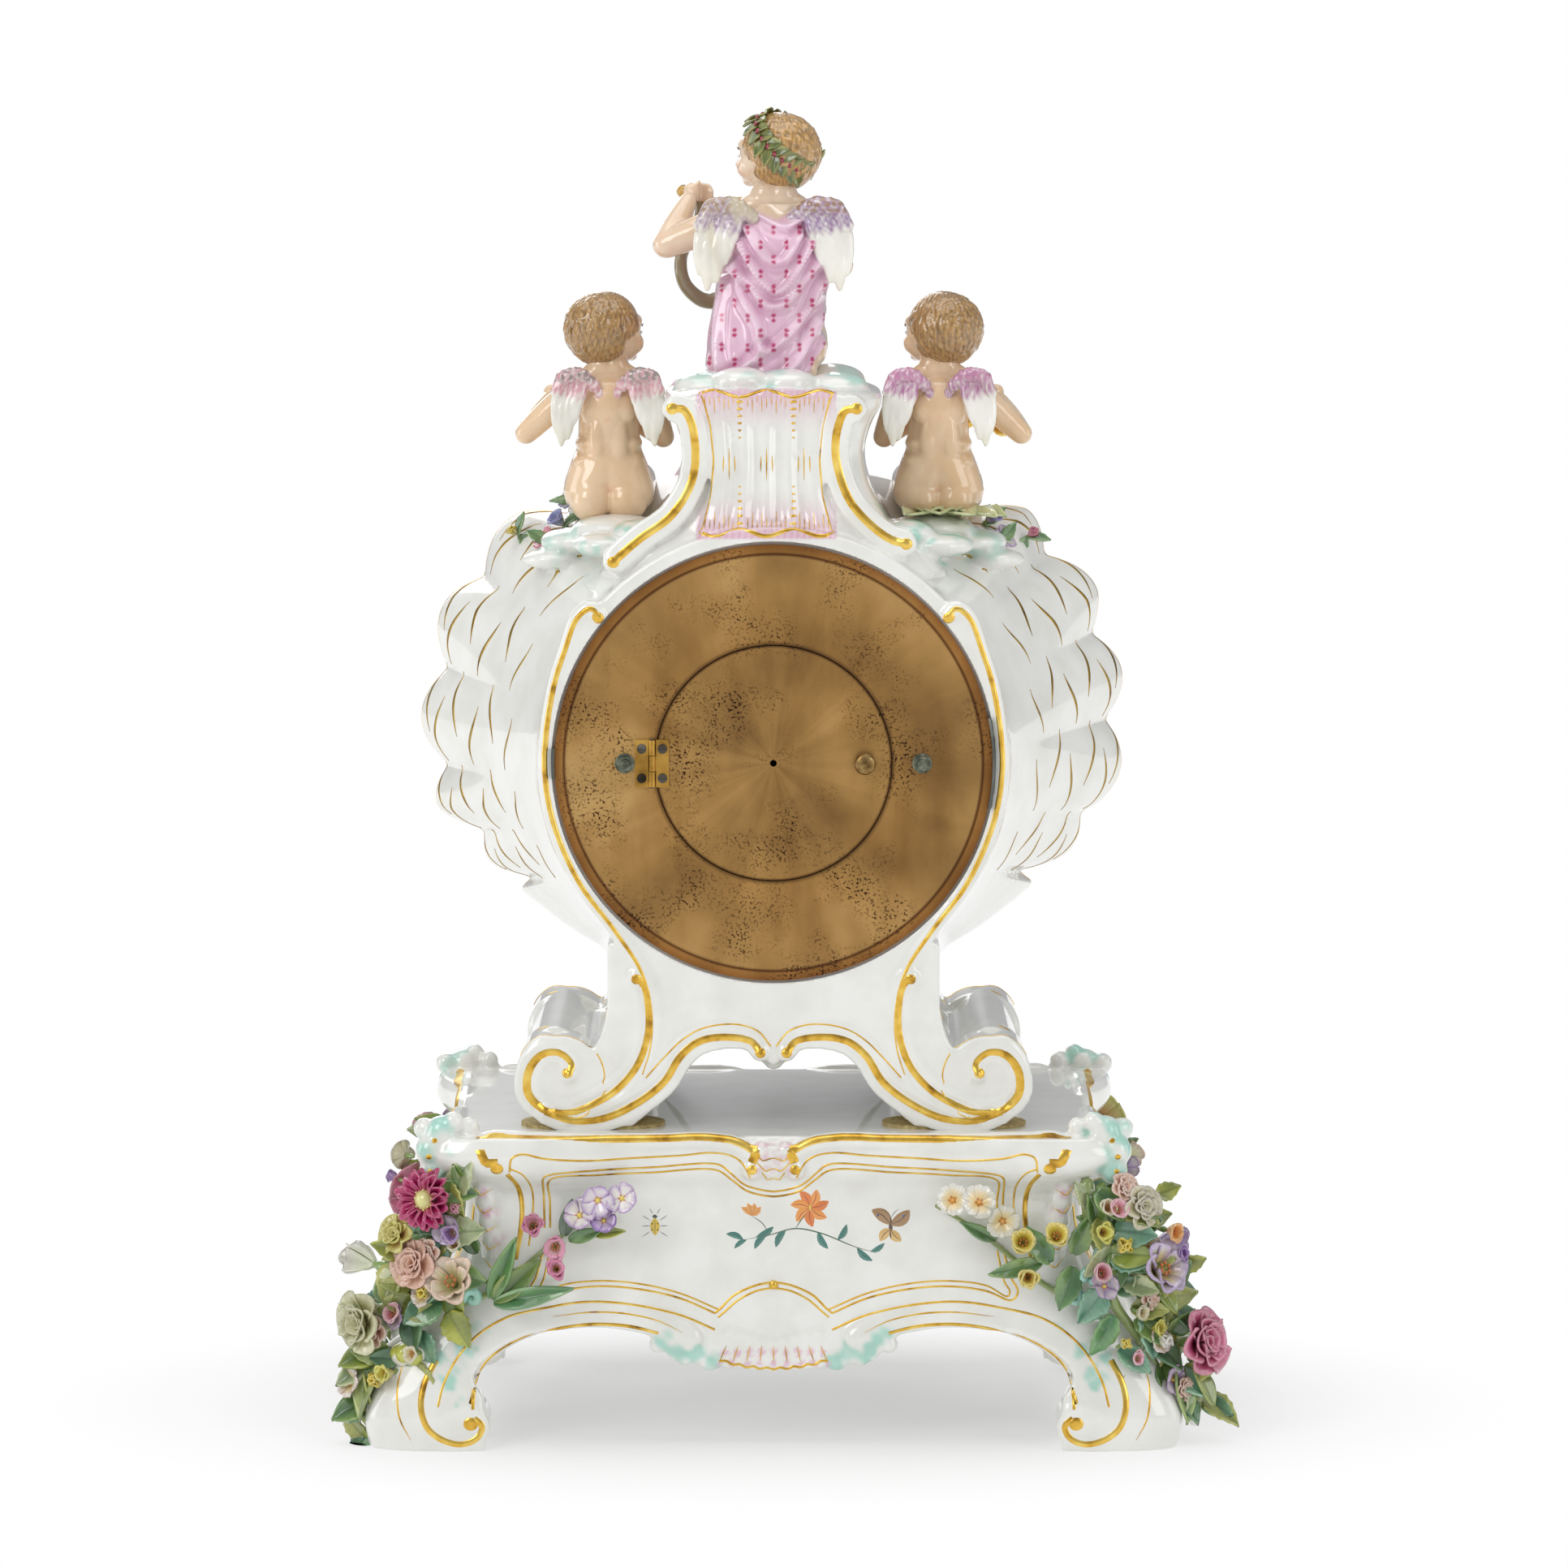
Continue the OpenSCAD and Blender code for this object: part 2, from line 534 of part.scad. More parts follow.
// Curled horn: middle of each ring by angle, radius growing to the bell
horn_rings = 9;
module right_putto_horn() {
    h = side_putto_h;
    color("goldenrod") on_side(-1) translate([0.1, -0.26, 0.5] * h) {
        for (i = [0 : horn_rings - 1]) let(a = 40 * i, b = 40 * (i + 1))
            bar([0.1 * cos(a), -0.016 * i, 0.1 * sin(a)] * h, [0.1 * cos(b), -0.016 * (i + 1), 0.1 * sin(b)] * h,
                (0.012 + 0.0016 * i) * h, (0.012 + 0.0016 * (i + 1)) * h, 5);
        hull() {
            translate([0.1, -0.144, 0] * h) sphere(r = 0.027 * h, $fn = 8);
            translate([0.2, -0.15, -0.1] * h) rotate([0, 135, 0]) cylinder(r = 0.055 * h, h = 0.01 * h, $fn = 14);
        }
    }
}

// Rings of a flower from stem to heart: shares of radius and height, depth of the petal notches
corolla_shares = [[0.14, -0.9, 0], [0.8, -0.04, 0.1], [1, 0.2, 0.26], [0.25, 0.08, 0]];

// Points a child's Z along a direction
module facing(d) {
    rotate([0, acos(d[2] / norm(d)), atan2(d[1], d[0])]) children();
}

// Flower with round petals and a raised heart
module flower(p, d, r, petals = 5) {
    steps = 2 * petals;
    translate(p) facing(d) loft([for (s = corolla_shares) [for (a = around(steps))
        let(q = r * s[0] * (1 - s[2] * (1 - abs(cos(petals * a / 2))))) [q * cos(a), q * sin(a), r * s[1]]]]);
}

// Thin five-sided stalk from p to q
module stalk(p, q, r) {
    translate(p) facing(q - p) cylinder(r = r, h = norm(q - p), $fn = 5);
}

// Leaf with a raised midrib, lying along d from p
leaf_outline_shares = [[0, 0.06], [0.4, 0.23], [0.78, 0.15], [1, 0.01]];
module leaf(p, d, l, roll = 0) {
    t = l * 0.05;
    translate(p) facing(d) rotate([0, 0, roll]) loft([for (s = leaf_outline_shares)
        [[l * s[1], 0, l * s[0]], [0, t * (1 + s[1]), l * s[0]], [-l * s[1], 0, l * s[0]], [0, -t, l * s[0]]]]);
}

// Garland down one corner of the stand, drawn for the corner +X +Y: place by the stand's sizes, direction,
// radius as a share of a large flower, petals
garland_shares = [
    [[1.085, 1.02, 0.8], [0.6, 0.8, 0.3], 1, 6], [[1.2, 0.98, 0.66], [0.9, 0.5, 0.3], 0.75, 5],
    [[1.01, 1.04, 0.7], [0.3, 1, 0.2], 0.6, 5], [[1.13, 1.08, 0.55], [0.5, 0.9, 0.2], 0.8, 5],
    [[1.02, 1.16, 0.45], [0.2, 1, 0.2], 0.95, 5], [[1.25, 0.96, 0.46], [0.9, 0.5, 0.2], 0.8, 5],
    [[1.285, 0.93, 0.27], [0.8, 0.7, 0.2], 0.9, 5], [[1.19, 1.12, 0.26], [0.6, 0.8, 0.2], 0.8, 6]];
spray_shares = [
    [[0.62, 1.01, 0.77], [0.1, 1, 0.3], 0.45, 5], [[0.53, 1.01, 0.81], [-0.1, 1, 0.4], 0.45, 5],
    [[0.76, 1.02, 0.72], [0.1, 1, 0.2], 0.42, 5], [[0.7, 1.02, 0.56], [-0.2, 1, 0.1], 0.42, 5]];
// Leaves: place, direction, length as a share of a leaf, roll
leaf_shares = [
    [[1.1, 1.02, 0.62], [0.8, 0.6, 0.5], 1, 20], [[1.05, 1.1, 0.4], [-0.2, 0.6, -0.8], 1.1, 70],
    [[1.14, 1.1, 0.38], [0.5, 0.7, -0.5], 1.1, 40], [[1.2, 1, 0.16], [0.1, 0.6, -0.9], 1, 50],
    [[1.16, 1.02, 0.2], [0.6, 0.5, -0.9], 1.1, 80], [[0.96, 1.04, 0.44], [-0.9, 0.3, 0.1], 1.5, 90],
    [[1.22, 0.98, 0.36], [1, 0.3, -0.2], 1, 20], [[1.03, 1.02, 0.8], [-0.3, 0.5, 0.9], 0.7, 30]];
spray_leaf_shares = [[[0.98, 1.02, 0.5], [-0.9, 0.3, 0.5], 1.4, 80], [[0.86, 1, 0.62], [-0.6, 0.3, 0.8], 0.9, 80],
    [[0.66, 1, 0.66], [-0.8, 0.3, 0.3], 0.8, 80]];
// Stem that carries a garland down the corner and one that carries its spray over the panel
stem_shares = [[0.93, 0.93, 0.86], [0.97, 0.96, 0.7], [1.05, 0.99, 0.52], [1.13, 1.01, 0.3], [1.17, 0.99, 0.07]];
spray_stem_shares = [[1.02, 0.98, 0.48], [0.8, 0.965, 0.56], [0.54, 0.965, 0.78]];

function stand_place(s) = [s[0] * stand_half_w, s[1] * stand_half_d, s[2] * stand_h];

module garland(with_spray) {
    bars([for (s = stem_shares) stand_place(s)], flower_r * 0.42);
    for (s = garland_shares) {
        stalk(stand_place(s[0]) - s[1] * flower_r * 0.4 * s[2], stand_place([1.06, 0.96, s[0][2] * 0.9]),
            flower_r * 0.2);
        flower(stand_place(s[0]), s[1], flower_r * s[2], s[3]);
    }
    for (s = leaf_shares) leaf(stand_place(s[0]), s[1], leaf_l * s[2], s[3]);
    if (with_spray) {
        bars([for (s = spray_stem_shares) stand_place(s)], flower_r * 0.14, 5);
        for (s = spray_shares) flower(stand_place(s[0]), s[1], flower_r * s[2], s[3]);
        for (s = spray_leaf_shares) leaf(stand_place(s[0]), s[1], leaf_l * s[2], s[3]);
    }
}

module garland_back_left() {
    color("hotpink") garland(true);
}
module garland_back_right() {
    color("orchid") mirror([1, 0, 0]) garland(true);
}
module garland_front_left() {
    color("salmon") mirror([0, 1, 0]) garland(false);
}
module garland_front_right() {
    color("khaki") mirror([1, 0, 0]) mirror([0, 1, 0]) garland(false);
}

// Flowers on the shell beside the side putti: angle above the horizontal, share of the way to the shell rim,
// radius share, petals
shoulder_shares = [[46, 0.8, 0.5, 5], [42, 0.7, 0.45, 5], [50, 0.9, 0.45, 5], [39, 0.84, 0.35, 5]];
flare_lookup = [for (s = flare_shares) [s[0], s[1]]];
module shoulder_flowers() {
    color("cornflowerblue") for (sx = [0, 1]) mirror([sx, 0, 0]) for (s = shoulder_shares) {
        r = back_rim_r + (rim_at(s[0]) - back_rim_r) * lookup(s[1], flare_lookup) - lobe_d * 0.5;
        y = flare_y([s[1]]);
        place = drum_point(s[0], r + flower_r * 0.6 * s[2], y);
        up = [cos(s[0]), 0.5, sin(s[0])];
        flower(place, up, flower_r * s[2], s[3]);
        stalk(place - up * flower_r * 0.3 * s[2], drum_point(s[0], r - case_wall, y), flower_r * 0.2);
    }
}

// Brass back
door_x = door_r * 1.028;
hinge_axis_out = 1.6;
hinge_axis_y = plate_y + hinge_axis_out;
hinge_leaf_t = 1.1;
hinge_barrel_r = 1.5;
hinge_pin_r = 0.7;
hinge_screw_r = 1.1;
hinge_screw_head_r = 2.1;
hinge_screw_z = hinge_h * 0.31;
hinge_screw_dx = hinge_leaf_w * 0.62;
stop_ring_t = 1.2;
stop_ring_w = 3.5;
door_gap = 0.4;
door_y = plate_y;
door_t = plate_t - door_gap / 2;
door_in_y = plate_y - door_t;
door_hole_r = 1.5;
knob_x = -door_r * 0.775;
knob_shank_r = 1.6;

module back_plate() {
    color("peru") difference() {
        disc(plate_r, plate_y, plate_in_y);
        disc(door_r + door_gap, plate_y + cut, plate_in_y - cut);
        for (sx = [-1, 1]) disc(tie_rod_r + run, plate_y + cut, plate_in_y - cut, sx * tie_rod_x);
        for (sz = [-1, 1])
            disc(hinge_screw_r, plate_y + cut, plate_in_y - cut, door_x + hinge_screw_dx, sz * hinge_screw_z);
    }
}
module door_stop_ring() {
    color("peru") ring(door_r + stop_ring_w, door_r - stop_ring_w, plate_in_y, plate_in_y - stop_ring_t);
}
module back_door() {
    color("peru") difference() {
        disc(door_r, door_y, door_in_y);
        disc(door_hole_r, door_y + cut, door_in_y - cut);
        disc(knob_shank_r, door_y + cut, door_in_y - cut, knob_x);
        for (sz = [-1, 1])
            disc(hinge_screw_r, door_y + cut, door_in_y - cut, door_x - hinge_screw_dx, sz * hinge_screw_z);
    }
}
// Turned knob with a shank riveted through the door
module door_knob() {
    neck_r = knob_shank_r * 1.3;
    color("gold") at(knob_x, 0, door_y) mirror([0, 0, 1]) rotate_extrude($fn = 48) polygon(concat(
        [[0, -door_t], [knob_shank_r, -door_t], [knob_shank_r, 0], [neck_r * 1.4, 0], [neck_r * 1.4, knob_r * 0.15],
            [neck_r, knob_r * 0.3]],
        [for (t = [0 : 6]) [knob_r * cos(-30 + 20 * t), knob_r * (0.85 + 0.5 * sin(-30 + 20 * t))]],
        [[0, knob_r * 1.35]]));
}

// Hinge knuckle from z0 to z1
module knuckle(x, y, z0, z1, r) {
    translate([x, y, drum_z + z0]) cylinder(r = r, h = z1 - z0, $fn = 32);
}
knuckle_h = hinge_h / 3;
module hinge_leaf(side, z_list) {
    difference() {
        union() {
            translate([door_x + (side > 0 ? 0 : -hinge_leaf_w), plate_y, drum_z - hinge_h / 2])
                cube([hinge_leaf_w, hinge_leaf_t, hinge_h]);
            for (z = z_list) knuckle(door_x, hinge_axis_y, z + gap / 2, z + knuckle_h - gap / 2, hinge_barrel_r);
        }
        // Room for the other leaf's knuckles
        for (z = [-hinge_h / 2, -knuckle_h / 2, knuckle_h / 2]) if (len(search(z, z_list)) == 0)
            knuckle(door_x, hinge_axis_y, z - gap / 2, z + knuckle_h + gap / 2, hinge_barrel_r + gap);
        knuckle(door_x, hinge_axis_y, -hinge_h, hinge_h, hinge_pin_r + run);
        for (sz = [-1, 1]) disc(hinge_screw_r, plate_y + hinge_leaf_t + cut, plate_y - cut,
            door_x + side * hinge_screw_dx, sz * hinge_screw_z);
    }
}
module hinge_plate_leaf() {
    color("gold") hinge_leaf(1, [-hinge_h / 2, knuckle_h / 2]);
}
module hinge_door_leaf() {
    color("gold") hinge_leaf(-1, [-knuckle_h / 2]);
}
module hinge_pin() {
    color("gray") {
        knuckle(door_x, hinge_axis_y, -hinge_h / 2, hinge_h / 2, hinge_pin_r);
        for (z = [-hinge_h / 2 - gap, hinge_h / 2]) knuckle(door_x, hinge_axis_y, z, z + gap, hinge_barrel_r * 0.8);
    }
}
// Slotted screw with its head on the face at depth y
module slotted_screw(x, z, y, head_r, shank_r, length) {
    head_t = head_r * 0.4;
    difference() {
        union() {
            disc(head_r, y + head_t, y, x, z);
            disc(shank_r, y + head_t / 2, y - length, x, z);
        }
        at(x, z, y + head_t) cube([3 * head_r, head_r * 0.3, head_t], center = true);
    }
}
module hinge_plate_screws() {
    color("dimgray") for (sz = [-1, 1]) slotted_screw(door_x + hinge_screw_dx, sz * hinge_screw_z,
        plate_y + hinge_leaf_t, hinge_screw_head_r, hinge_screw_r, plate_t + hinge_leaf_t);
}
module hinge_door_screws() {
    color("dimgray") for (sz = [-1, 1]) slotted_screw(door_x - hinge_screw_dx, sz * hinge_screw_z,
        plate_y + hinge_leaf_t, hinge_screw_head_r, hinge_screw_r, door_t + hinge_leaf_t);
}

// Tie rods from the bezel ring to the back plate, each with a washer and a nut
nut_r = 3.5;
nut_t = 2.4;
washer_r = 4.4;
washer_t = 0.6;
rod_end = 1.4;
rod_depth = 2;
module tie_rods() {
    color("darkgoldenrod") for (sx = [-1, 1]) {
        disc(tie_rod_r, plate_y + washer_t + nut_t + rod_end, -boss_y - rod_depth, sx * tie_rod_x);
        difference() {
            union() {
                disc(washer_r, plate_y + washer_t, plate_y, sx * tie_rod_x);
                at(sx * tie_rod_x, 0, plate_y + washer_t + nut_t) cylinder(r = nut_r, h = nut_t, $fn = 6);
            }
            disc(tie_rod_r, plate_y + 2 * nut_t, plate_y - cut, sx * tie_rod_x);
        }
    }
}
// Strips wedged between the plate's edge and the porcelain, standing proud of both
shim_proud = 3.6;
shim_back = 2;
left_shim_half = 4;
right_shim_half = 12;
module shim(side, half) {
    at(0, 0, plate_y + shim_proud) rotate([0, 0, (side > 0 ? 0 : 180) - half])
        rotate_extrude(angle = 2 * half, $fn = 96)
            translate([plate_r, 0]) square([shim_t, shim_proud + shim_back]);
}
module edge_shims() {
    color("slategray") {
        shim(1, left_shim_half);
        shim(-1, right_shim_half);
    }
}

// Front: bezel ring, movement ring, glazed door
bezel_flange_t = 3.2;
bezel_flange_y = -boss_y - bezel_flange_t;
spigot_t = 1.6;
spigot_out_r = aperture_r - gap;
dial_t = 1.6;
dial_y = -boss_y - bezel_flange_t + dial_t * 0.6;
mov_set_back = 10;
mov_front_y = -boss_y + mov_set_back;
mov_ring_t = 1.6;
bezel_door_y = bezel_flange_y - gap;
bezel_door_t = 5;
glass_t = 1.8;
glass_seat_w = 3;
glass_edge_r = bezel_in_r + glass_seat_w;
bezel_axis_out = 2.2;
bezel_axis_x = bezel_r + bezel_axis_out;
bezel_axis_y = bezel_door_y + gap / 2;
bezel_barrel_r = 1.9;
bezel_pin_r = 0.8;
bezel_barrel_h = 16;
ear_root = 3;
ear_t = 2;
tab_r = 3;
mov_seat_w = 1;

module bezel_barrel(z0, z1) {
    knuckle(bezel_axis_x, bezel_axis_y, z0, z1, bezel_barrel_r);
}
module bezel_ear(y0, y1, z0, z1) {
    translate([bezel_r - ear_root, y1, drum_z + z0]) cube([bezel_axis_out + ear_root, y0 - y1, z1 - z0]);
}
third_h = bezel_barrel_h / 3;

module bezel_ring() {
    color("goldenrod") difference() {
        union() {
            ring(bezel_r, dial_r + gap, -boss_y, bezel_flange_y);
            ring(spigot_out_r, spigot_out_r - spigot_t, mov_front_y + mov_t, -boss_y - bezel_flange_t / 2);
            for (sz = [-1, 1]) {
                z0 = sz > 0 ? third_h / 2 + gap / 2 : -bezel_barrel_h / 2;
                bezel_barrel(z0, z0 + third_h - gap / 2);
                bezel_ear(bezel_flange_y + ear_t, bezel_flange_y, z0, z0 + third_h - gap / 2);
            }
        }
        knuckle(bezel_axis_x, bezel_axis_y, -bezel_barrel_h, bezel_barrel_h, bezel_pin_r + run);
        bezel_gap_cut(-third_h / 2 - gap / 2, third_h / 2 + gap / 2);
        for (sx = [-1, 1]) disc(tie_rod_r, -boss_y + cut, -boss_y - rod_depth, sx * tie_rod_x);
    }
}
module bezel_gap_cut(z0, z1) {
    knuckle(bezel_axis_x, bezel_axis_y, z0, z1, bezel_barrel_r + gap);
}
module movement_ring() {
    color("goldenrod") difference() {
        ring(spigot_out_r, mov_r - mov_seat_w, mov_front_y + mov_t + mov_ring_t, mov_front_y + mov_t);
        for (sx = [-1, 1])
            disc(tie_rod_r + run, mov_front_y + mov_t + mov_ring_t + cut, mov_front_y, sx * tie_rod_x);
    }
}
bezel_lip = 1.2;
bezel_cove = (bezel_r - bezel_in_r) / 18;
module bezel_door() {
    color("gold") difference() {
        union() {
            at(0, 0, bezel_door_y) rotate_extrude($fn = 96) polygon([[glass_edge_r + gap / 3, 0], [bezel_r, 0],
                [bezel_r, bezel_door_t * 0.35], [bezel_r - 2 * bezel_cove, bezel_door_t * 0.55],
                [bezel_r - 5 * bezel_cove, bezel_door_t * 0.65],
                [bezel_r - 8 * bezel_cove, bezel_door_t * 0.9], [bezel_in_r + 5 * bezel_cove, bezel_door_t],
                [bezel_in_r, bezel_door_t * 0.9],
                [bezel_in_r, bezel_door_t * 0.9 - bezel_lip], [glass_edge_r + gap / 3, bezel_door_t * 0.9 - bezel_lip]]);
            bezel_barrel(-third_h / 2 + gap / 2, third_h / 2 - gap / 2);
            bezel_ear(bezel_door_y, bezel_door_y - ear_t, -third_h / 2 + gap / 2, third_h / 2 - gap / 2);
            // Thumb tab
            at(-bezel_r - tab_r / 3, 0, bezel_door_y) cylinder(r = tab_r, h = bezel_door_t * 0.35, $fn = 32);
        }
        knuckle(bezel_axis_x, bezel_axis_y, -bezel_barrel_h, bezel_barrel_h, bezel_pin_r + run);
        for (sz = [-1, 1]) bezel_gap_cut(sz * third_h - third_h / 2 - gap / 2, sz * third_h + third_h / 2 + gap / 2);
    }
}
// Domed glass with a flat rim behind the bezel's lip
glass_y = bezel_door_y - bezel_door_t * 0.9 + bezel_lip;
glass_rise = 8;
dome_base_r = bezel_in_r - gap;
dome_r = (dome_base_r * dome_base_r + glass_rise * glass_rise) / (2 * glass_rise);
function dome_z(x) = sqrt(dome_r * dome_r - x * x) - dome_r + glass_rise;
module bezel_glass() {
    inner_r = dome_base_r - glass_t;
    color("lightcyan") at(0, 0, glass_y + glass_t) rotate_extrude($fn = 96) polygon(concat(
        [for (i = [0 : 10]) [dome_base_r * i / 10, glass_t + dome_z(dome_base_r * i / 10)]],
        [[glass_edge_r, glass_t], [glass_edge_r, 0], [inner_r, 0]],
        [for (i = [10 : -1 : 0]) [inner_r * i / 10, dome_z(inner_r * i / 10)]]));
}
module bezel_hinge_pin() {
    color("gray") knuckle(bezel_axis_x, bezel_axis_y, -bezel_barrel_h / 2, bezel_barrel_h / 2, bezel_pin_r);
}

// Places in the movement, from the drum's axis: x, z
tooth_m = mov_r / 48;
barrel_at = [22, -11.8] * tooth_m;
third_at = [13, 10.95] * tooth_m;
escape_at = [0, 17.6] * tooth_m;
anchor_at = [0, 30.6] * tooth_m;
minute_wheel_at = [0, -12] * tooth_m;
strike_at = [-22, -11.8] * tooth_m;
pin_wheel_at = [-17, 12.65] * tooth_m;
fly_at = [-27.3, 18.6] * tooth_m;
hammer_at = [-35.5, 14] * tooth_m;
bell_post_at = [36.5, -10] * tooth_m;
// Teeth and modules of the wheels and pinions
great_teeth = 84;
centre_pinion_teeth = 12;
great_m = 0.52 * tooth_m;
centre_teeth = 84;
centre_m = 17 * tooth_m * 2 / (84 + 6);
third_teeth = 76;
third_m = norm(third_at - escape_at) * 2 / (76 + 6);
pinion_teeth = 6;
escape_teeth = 30;
escape_r = 9 * tooth_m;
cannon_teeth = 12;
minute_teeth = 36;
minute_m = 12 * tooth_m * 2 / (12 + 36);
minute_pinion_teeth = 10;
hour_teeth = 40;
hour_m = 12 * tooth_m * 2 / (10 + 40);
pin_teeth = 60;
pin_m = norm(pin_wheel_at - fly_at) * 2 / (60 + 6);
ratchet_teeth = 18;
ratchet_r = 6 * tooth_m;

// Depths of the movement's layers
mov_rear_y = mov_front_y + mov_t + mov_gap + mov_t;
inner_front_y = mov_front_y + mov_t;
inner_rear_y = inner_front_y + mov_gap;
function layer(share) = inner_front_y + share * mov_gap;

wheel_t = 1.3;
arbor_r = 1.1;
pivot_r = 0.5;
// Arbor of a six-leaf pinion, thinner than the pinion's root
pinion_arbor_r = 0.6;
barrel_r = 17.2 * tooth_m;
barrel_wall = 1.2;

// Outline of a toothed wheel: a tooth's middle stands at the angle phase
function tooth(a, p, r, add, ded, thick) = [polar(r - ded, a - thick * p * 0.6), polar(r + add, a - thick * p * 0.25),
    polar(r + add, a + thick * p * 0.25), polar(r - ded, a + thick * p * 0.6)];
function gear_outline(n, m, phase, add, ded, thick) =
    [for (i = [0 : n - 1]) each tooth(phase + i * 360 / n, 360 / n, n * m / 2, add * m, ded * m, thick)];
// Shares of addendum, dedendum and tooth thickness
wheel_tooth_share = [0.95, 1.25, 0.4];
pinion_tooth_share = [0.62, 1.35, 0.36];

module wheel(n, m, phase, y, t) {
    at(0, 0, y) linear_extrude(t)
        polygon(gear_outline(n, m, phase, wheel_tooth_share[0], wheel_tooth_share[1], wheel_tooth_share[2]));
}
module pinion(n, m, phase, y, t) {
    at(0, 0, y) linear_extrude(t)
        polygon(gear_outline(n, m, phase, pinion_tooth_share[0], pinion_tooth_share[1], pinion_tooth_share[2]));
}
// Spokes left between the windows of a wheel
module windows(r_out, r_in, y, t, spokes) {
    for (i = [0 : spokes - 1]) at(0, 0, y + cut) rotate([0, 0, i * 360 / spokes]) linear_extrude(t + 2 * cut)
        polygon(concat(arc([0, 0], r_out, 8, 360 / spokes - 8, 8), arc([0, 0], r_in, 360 / spokes - 22, 22, 3)));
}
module crossed_wheel(n, m, phase, y, t, spokes = 5) {
    r = n * m / 2;
    difference() {
        wheel(n, m, phase, y, t);
        windows(r * 0.84, r * 0.3, y, t, spokes);
    }
}
// Arbor with pivots in both plates
module arbor(r = arbor_r) {
    disc(r, inner_rear_y - gap, inner_front_y + gap);
    disc(pivot_r, mov_rear_y, mov_front_y);
}
function towards(a, b) = atan2(b[1] - a[1], b[0] - a[0]);
module placed(p) {
    translate([p[0], 0, p[1]]) children();
}

// Centre arbor: its pinion meets the great wheel, its wheel drives the third pinion
great_y = layer(0.69);
great_t = 1.8;
centre_y = layer(0.85);
third_y = layer(0.95);
escape_y = layer(0.55);
centre_r = 1.5;
centre_proud = 4.2;
cannon_end_y = dial_y - dial_t - centre_proud;
pinion_over = 1;
leaf_over = 0.6;
module centre_arbor() {
    color("gold") {
        pinion(centre_pinion_teeth, great_m, towards([0, 0], barrel_at) + 180 / centre_pinion_teeth,
            great_y + pinion_over, great_t + 2 * pinion_over);
        crossed_wheel(centre_teeth, centre_m, towards([0, 0], third_at), centre_y, wheel_t);
        disc(centre_r, inner_rear_y - gap, cannon_end_y);
        disc(pivot_r, mov_rear_y, inner_rear_y - 2 * gap);
    }
}
module third_arbor() {
    color("gold") placed(third_at) {
        pinion(pinion_teeth, centre_m, towards(third_at, [0, 0]) + 180 / pinion_teeth, centre_y + leaf_over,
            wheel_t + 2 * leaf_over);
        crossed_wheel(third_teeth, third_m, towards(third_at, escape_at), third_y, wheel_t);
        arbor(pinion_arbor_r);
    }
}
// Escape wheel with pointed, undercut teeth
module escape_arbor() {
    p = 360 / escape_teeth;
    root = escape_r * 0.84;
    color("gold") placed(escape_at) {
        pinion(pinion_teeth, third_m, towards(escape_at, third_at) + 180 / pinion_teeth, third_y + leaf_over,
            wheel_t + 2 * leaf_over);
        difference() {
            at(0, 0, escape_y) linear_extrude(wheel_t) polygon([for (i = [0 : escape_teeth - 1])
                each [polar(root, i * p), polar(escape_r, i * p + p * 0.06), polar(escape_r, i * p + p * 0.16),
                    polar(root, i * p + p * 0.55)]]);
            windows(root * 0.84, root * 0.34, escape_y, wheel_t, 4);
        }
        arbor(pinion_arbor_r);
    }
}

// Cock on the rear plate: carries the anchor's rear pivot and the pendulum's suspension
cock_t = 1.8;
cock_h = 9;
cock_half_w = 14;
cock_foot_w = 4;
cock_stand = 4.2;
cock_y = mov_rear_y + cock_stand;
pendulum_clear = 3;
pendulum_y = cock_y + cock_t + pendulum_clear;
stud_w = 5;
stud_rise = 1.5;
strip_w = 3;
strip_t = 0.4;
module back_cock() {
    z = drum_z + anchor_at[1];
    color("gold") difference() {
        union() {
            translate([-cock_half_w, cock_y, z - cock_h / 2]) cube([2 * cock_half_w, cock_t, cock_h]);
            for (x = [-cock_half_w, cock_half_w - cock_foot_w]) translate([x, mov_rear_y, z - cock_h / 2])
                cube([cock_foot_w, cock_y - mov_rear_y + cock_t / 2, cock_h]);
            // Stud with the fixed end of the suspension strip
            translate([-stud_w / 2, cock_y + cock_t / 2, z + stud_rise])
                cube([stud_w, pendulum_y + strip_w / 2 - cock_y - cock_t / 2, cock_h / 2 - stud_rise]);
            translate([-strip_t / 2, pendulum_y - strip_w / 2, z + gap]) cube([strip_t, strip_w, 2 * stud_rise]);
        }
        disc(pivot_r + run, cock_y + cock_t + cut, cock_y - cut, 0, anchor_at[1]);
    }
}

// Anchor, its pallets just clear of the wheel, with its arbor and crutch
pallet_gap = 1;
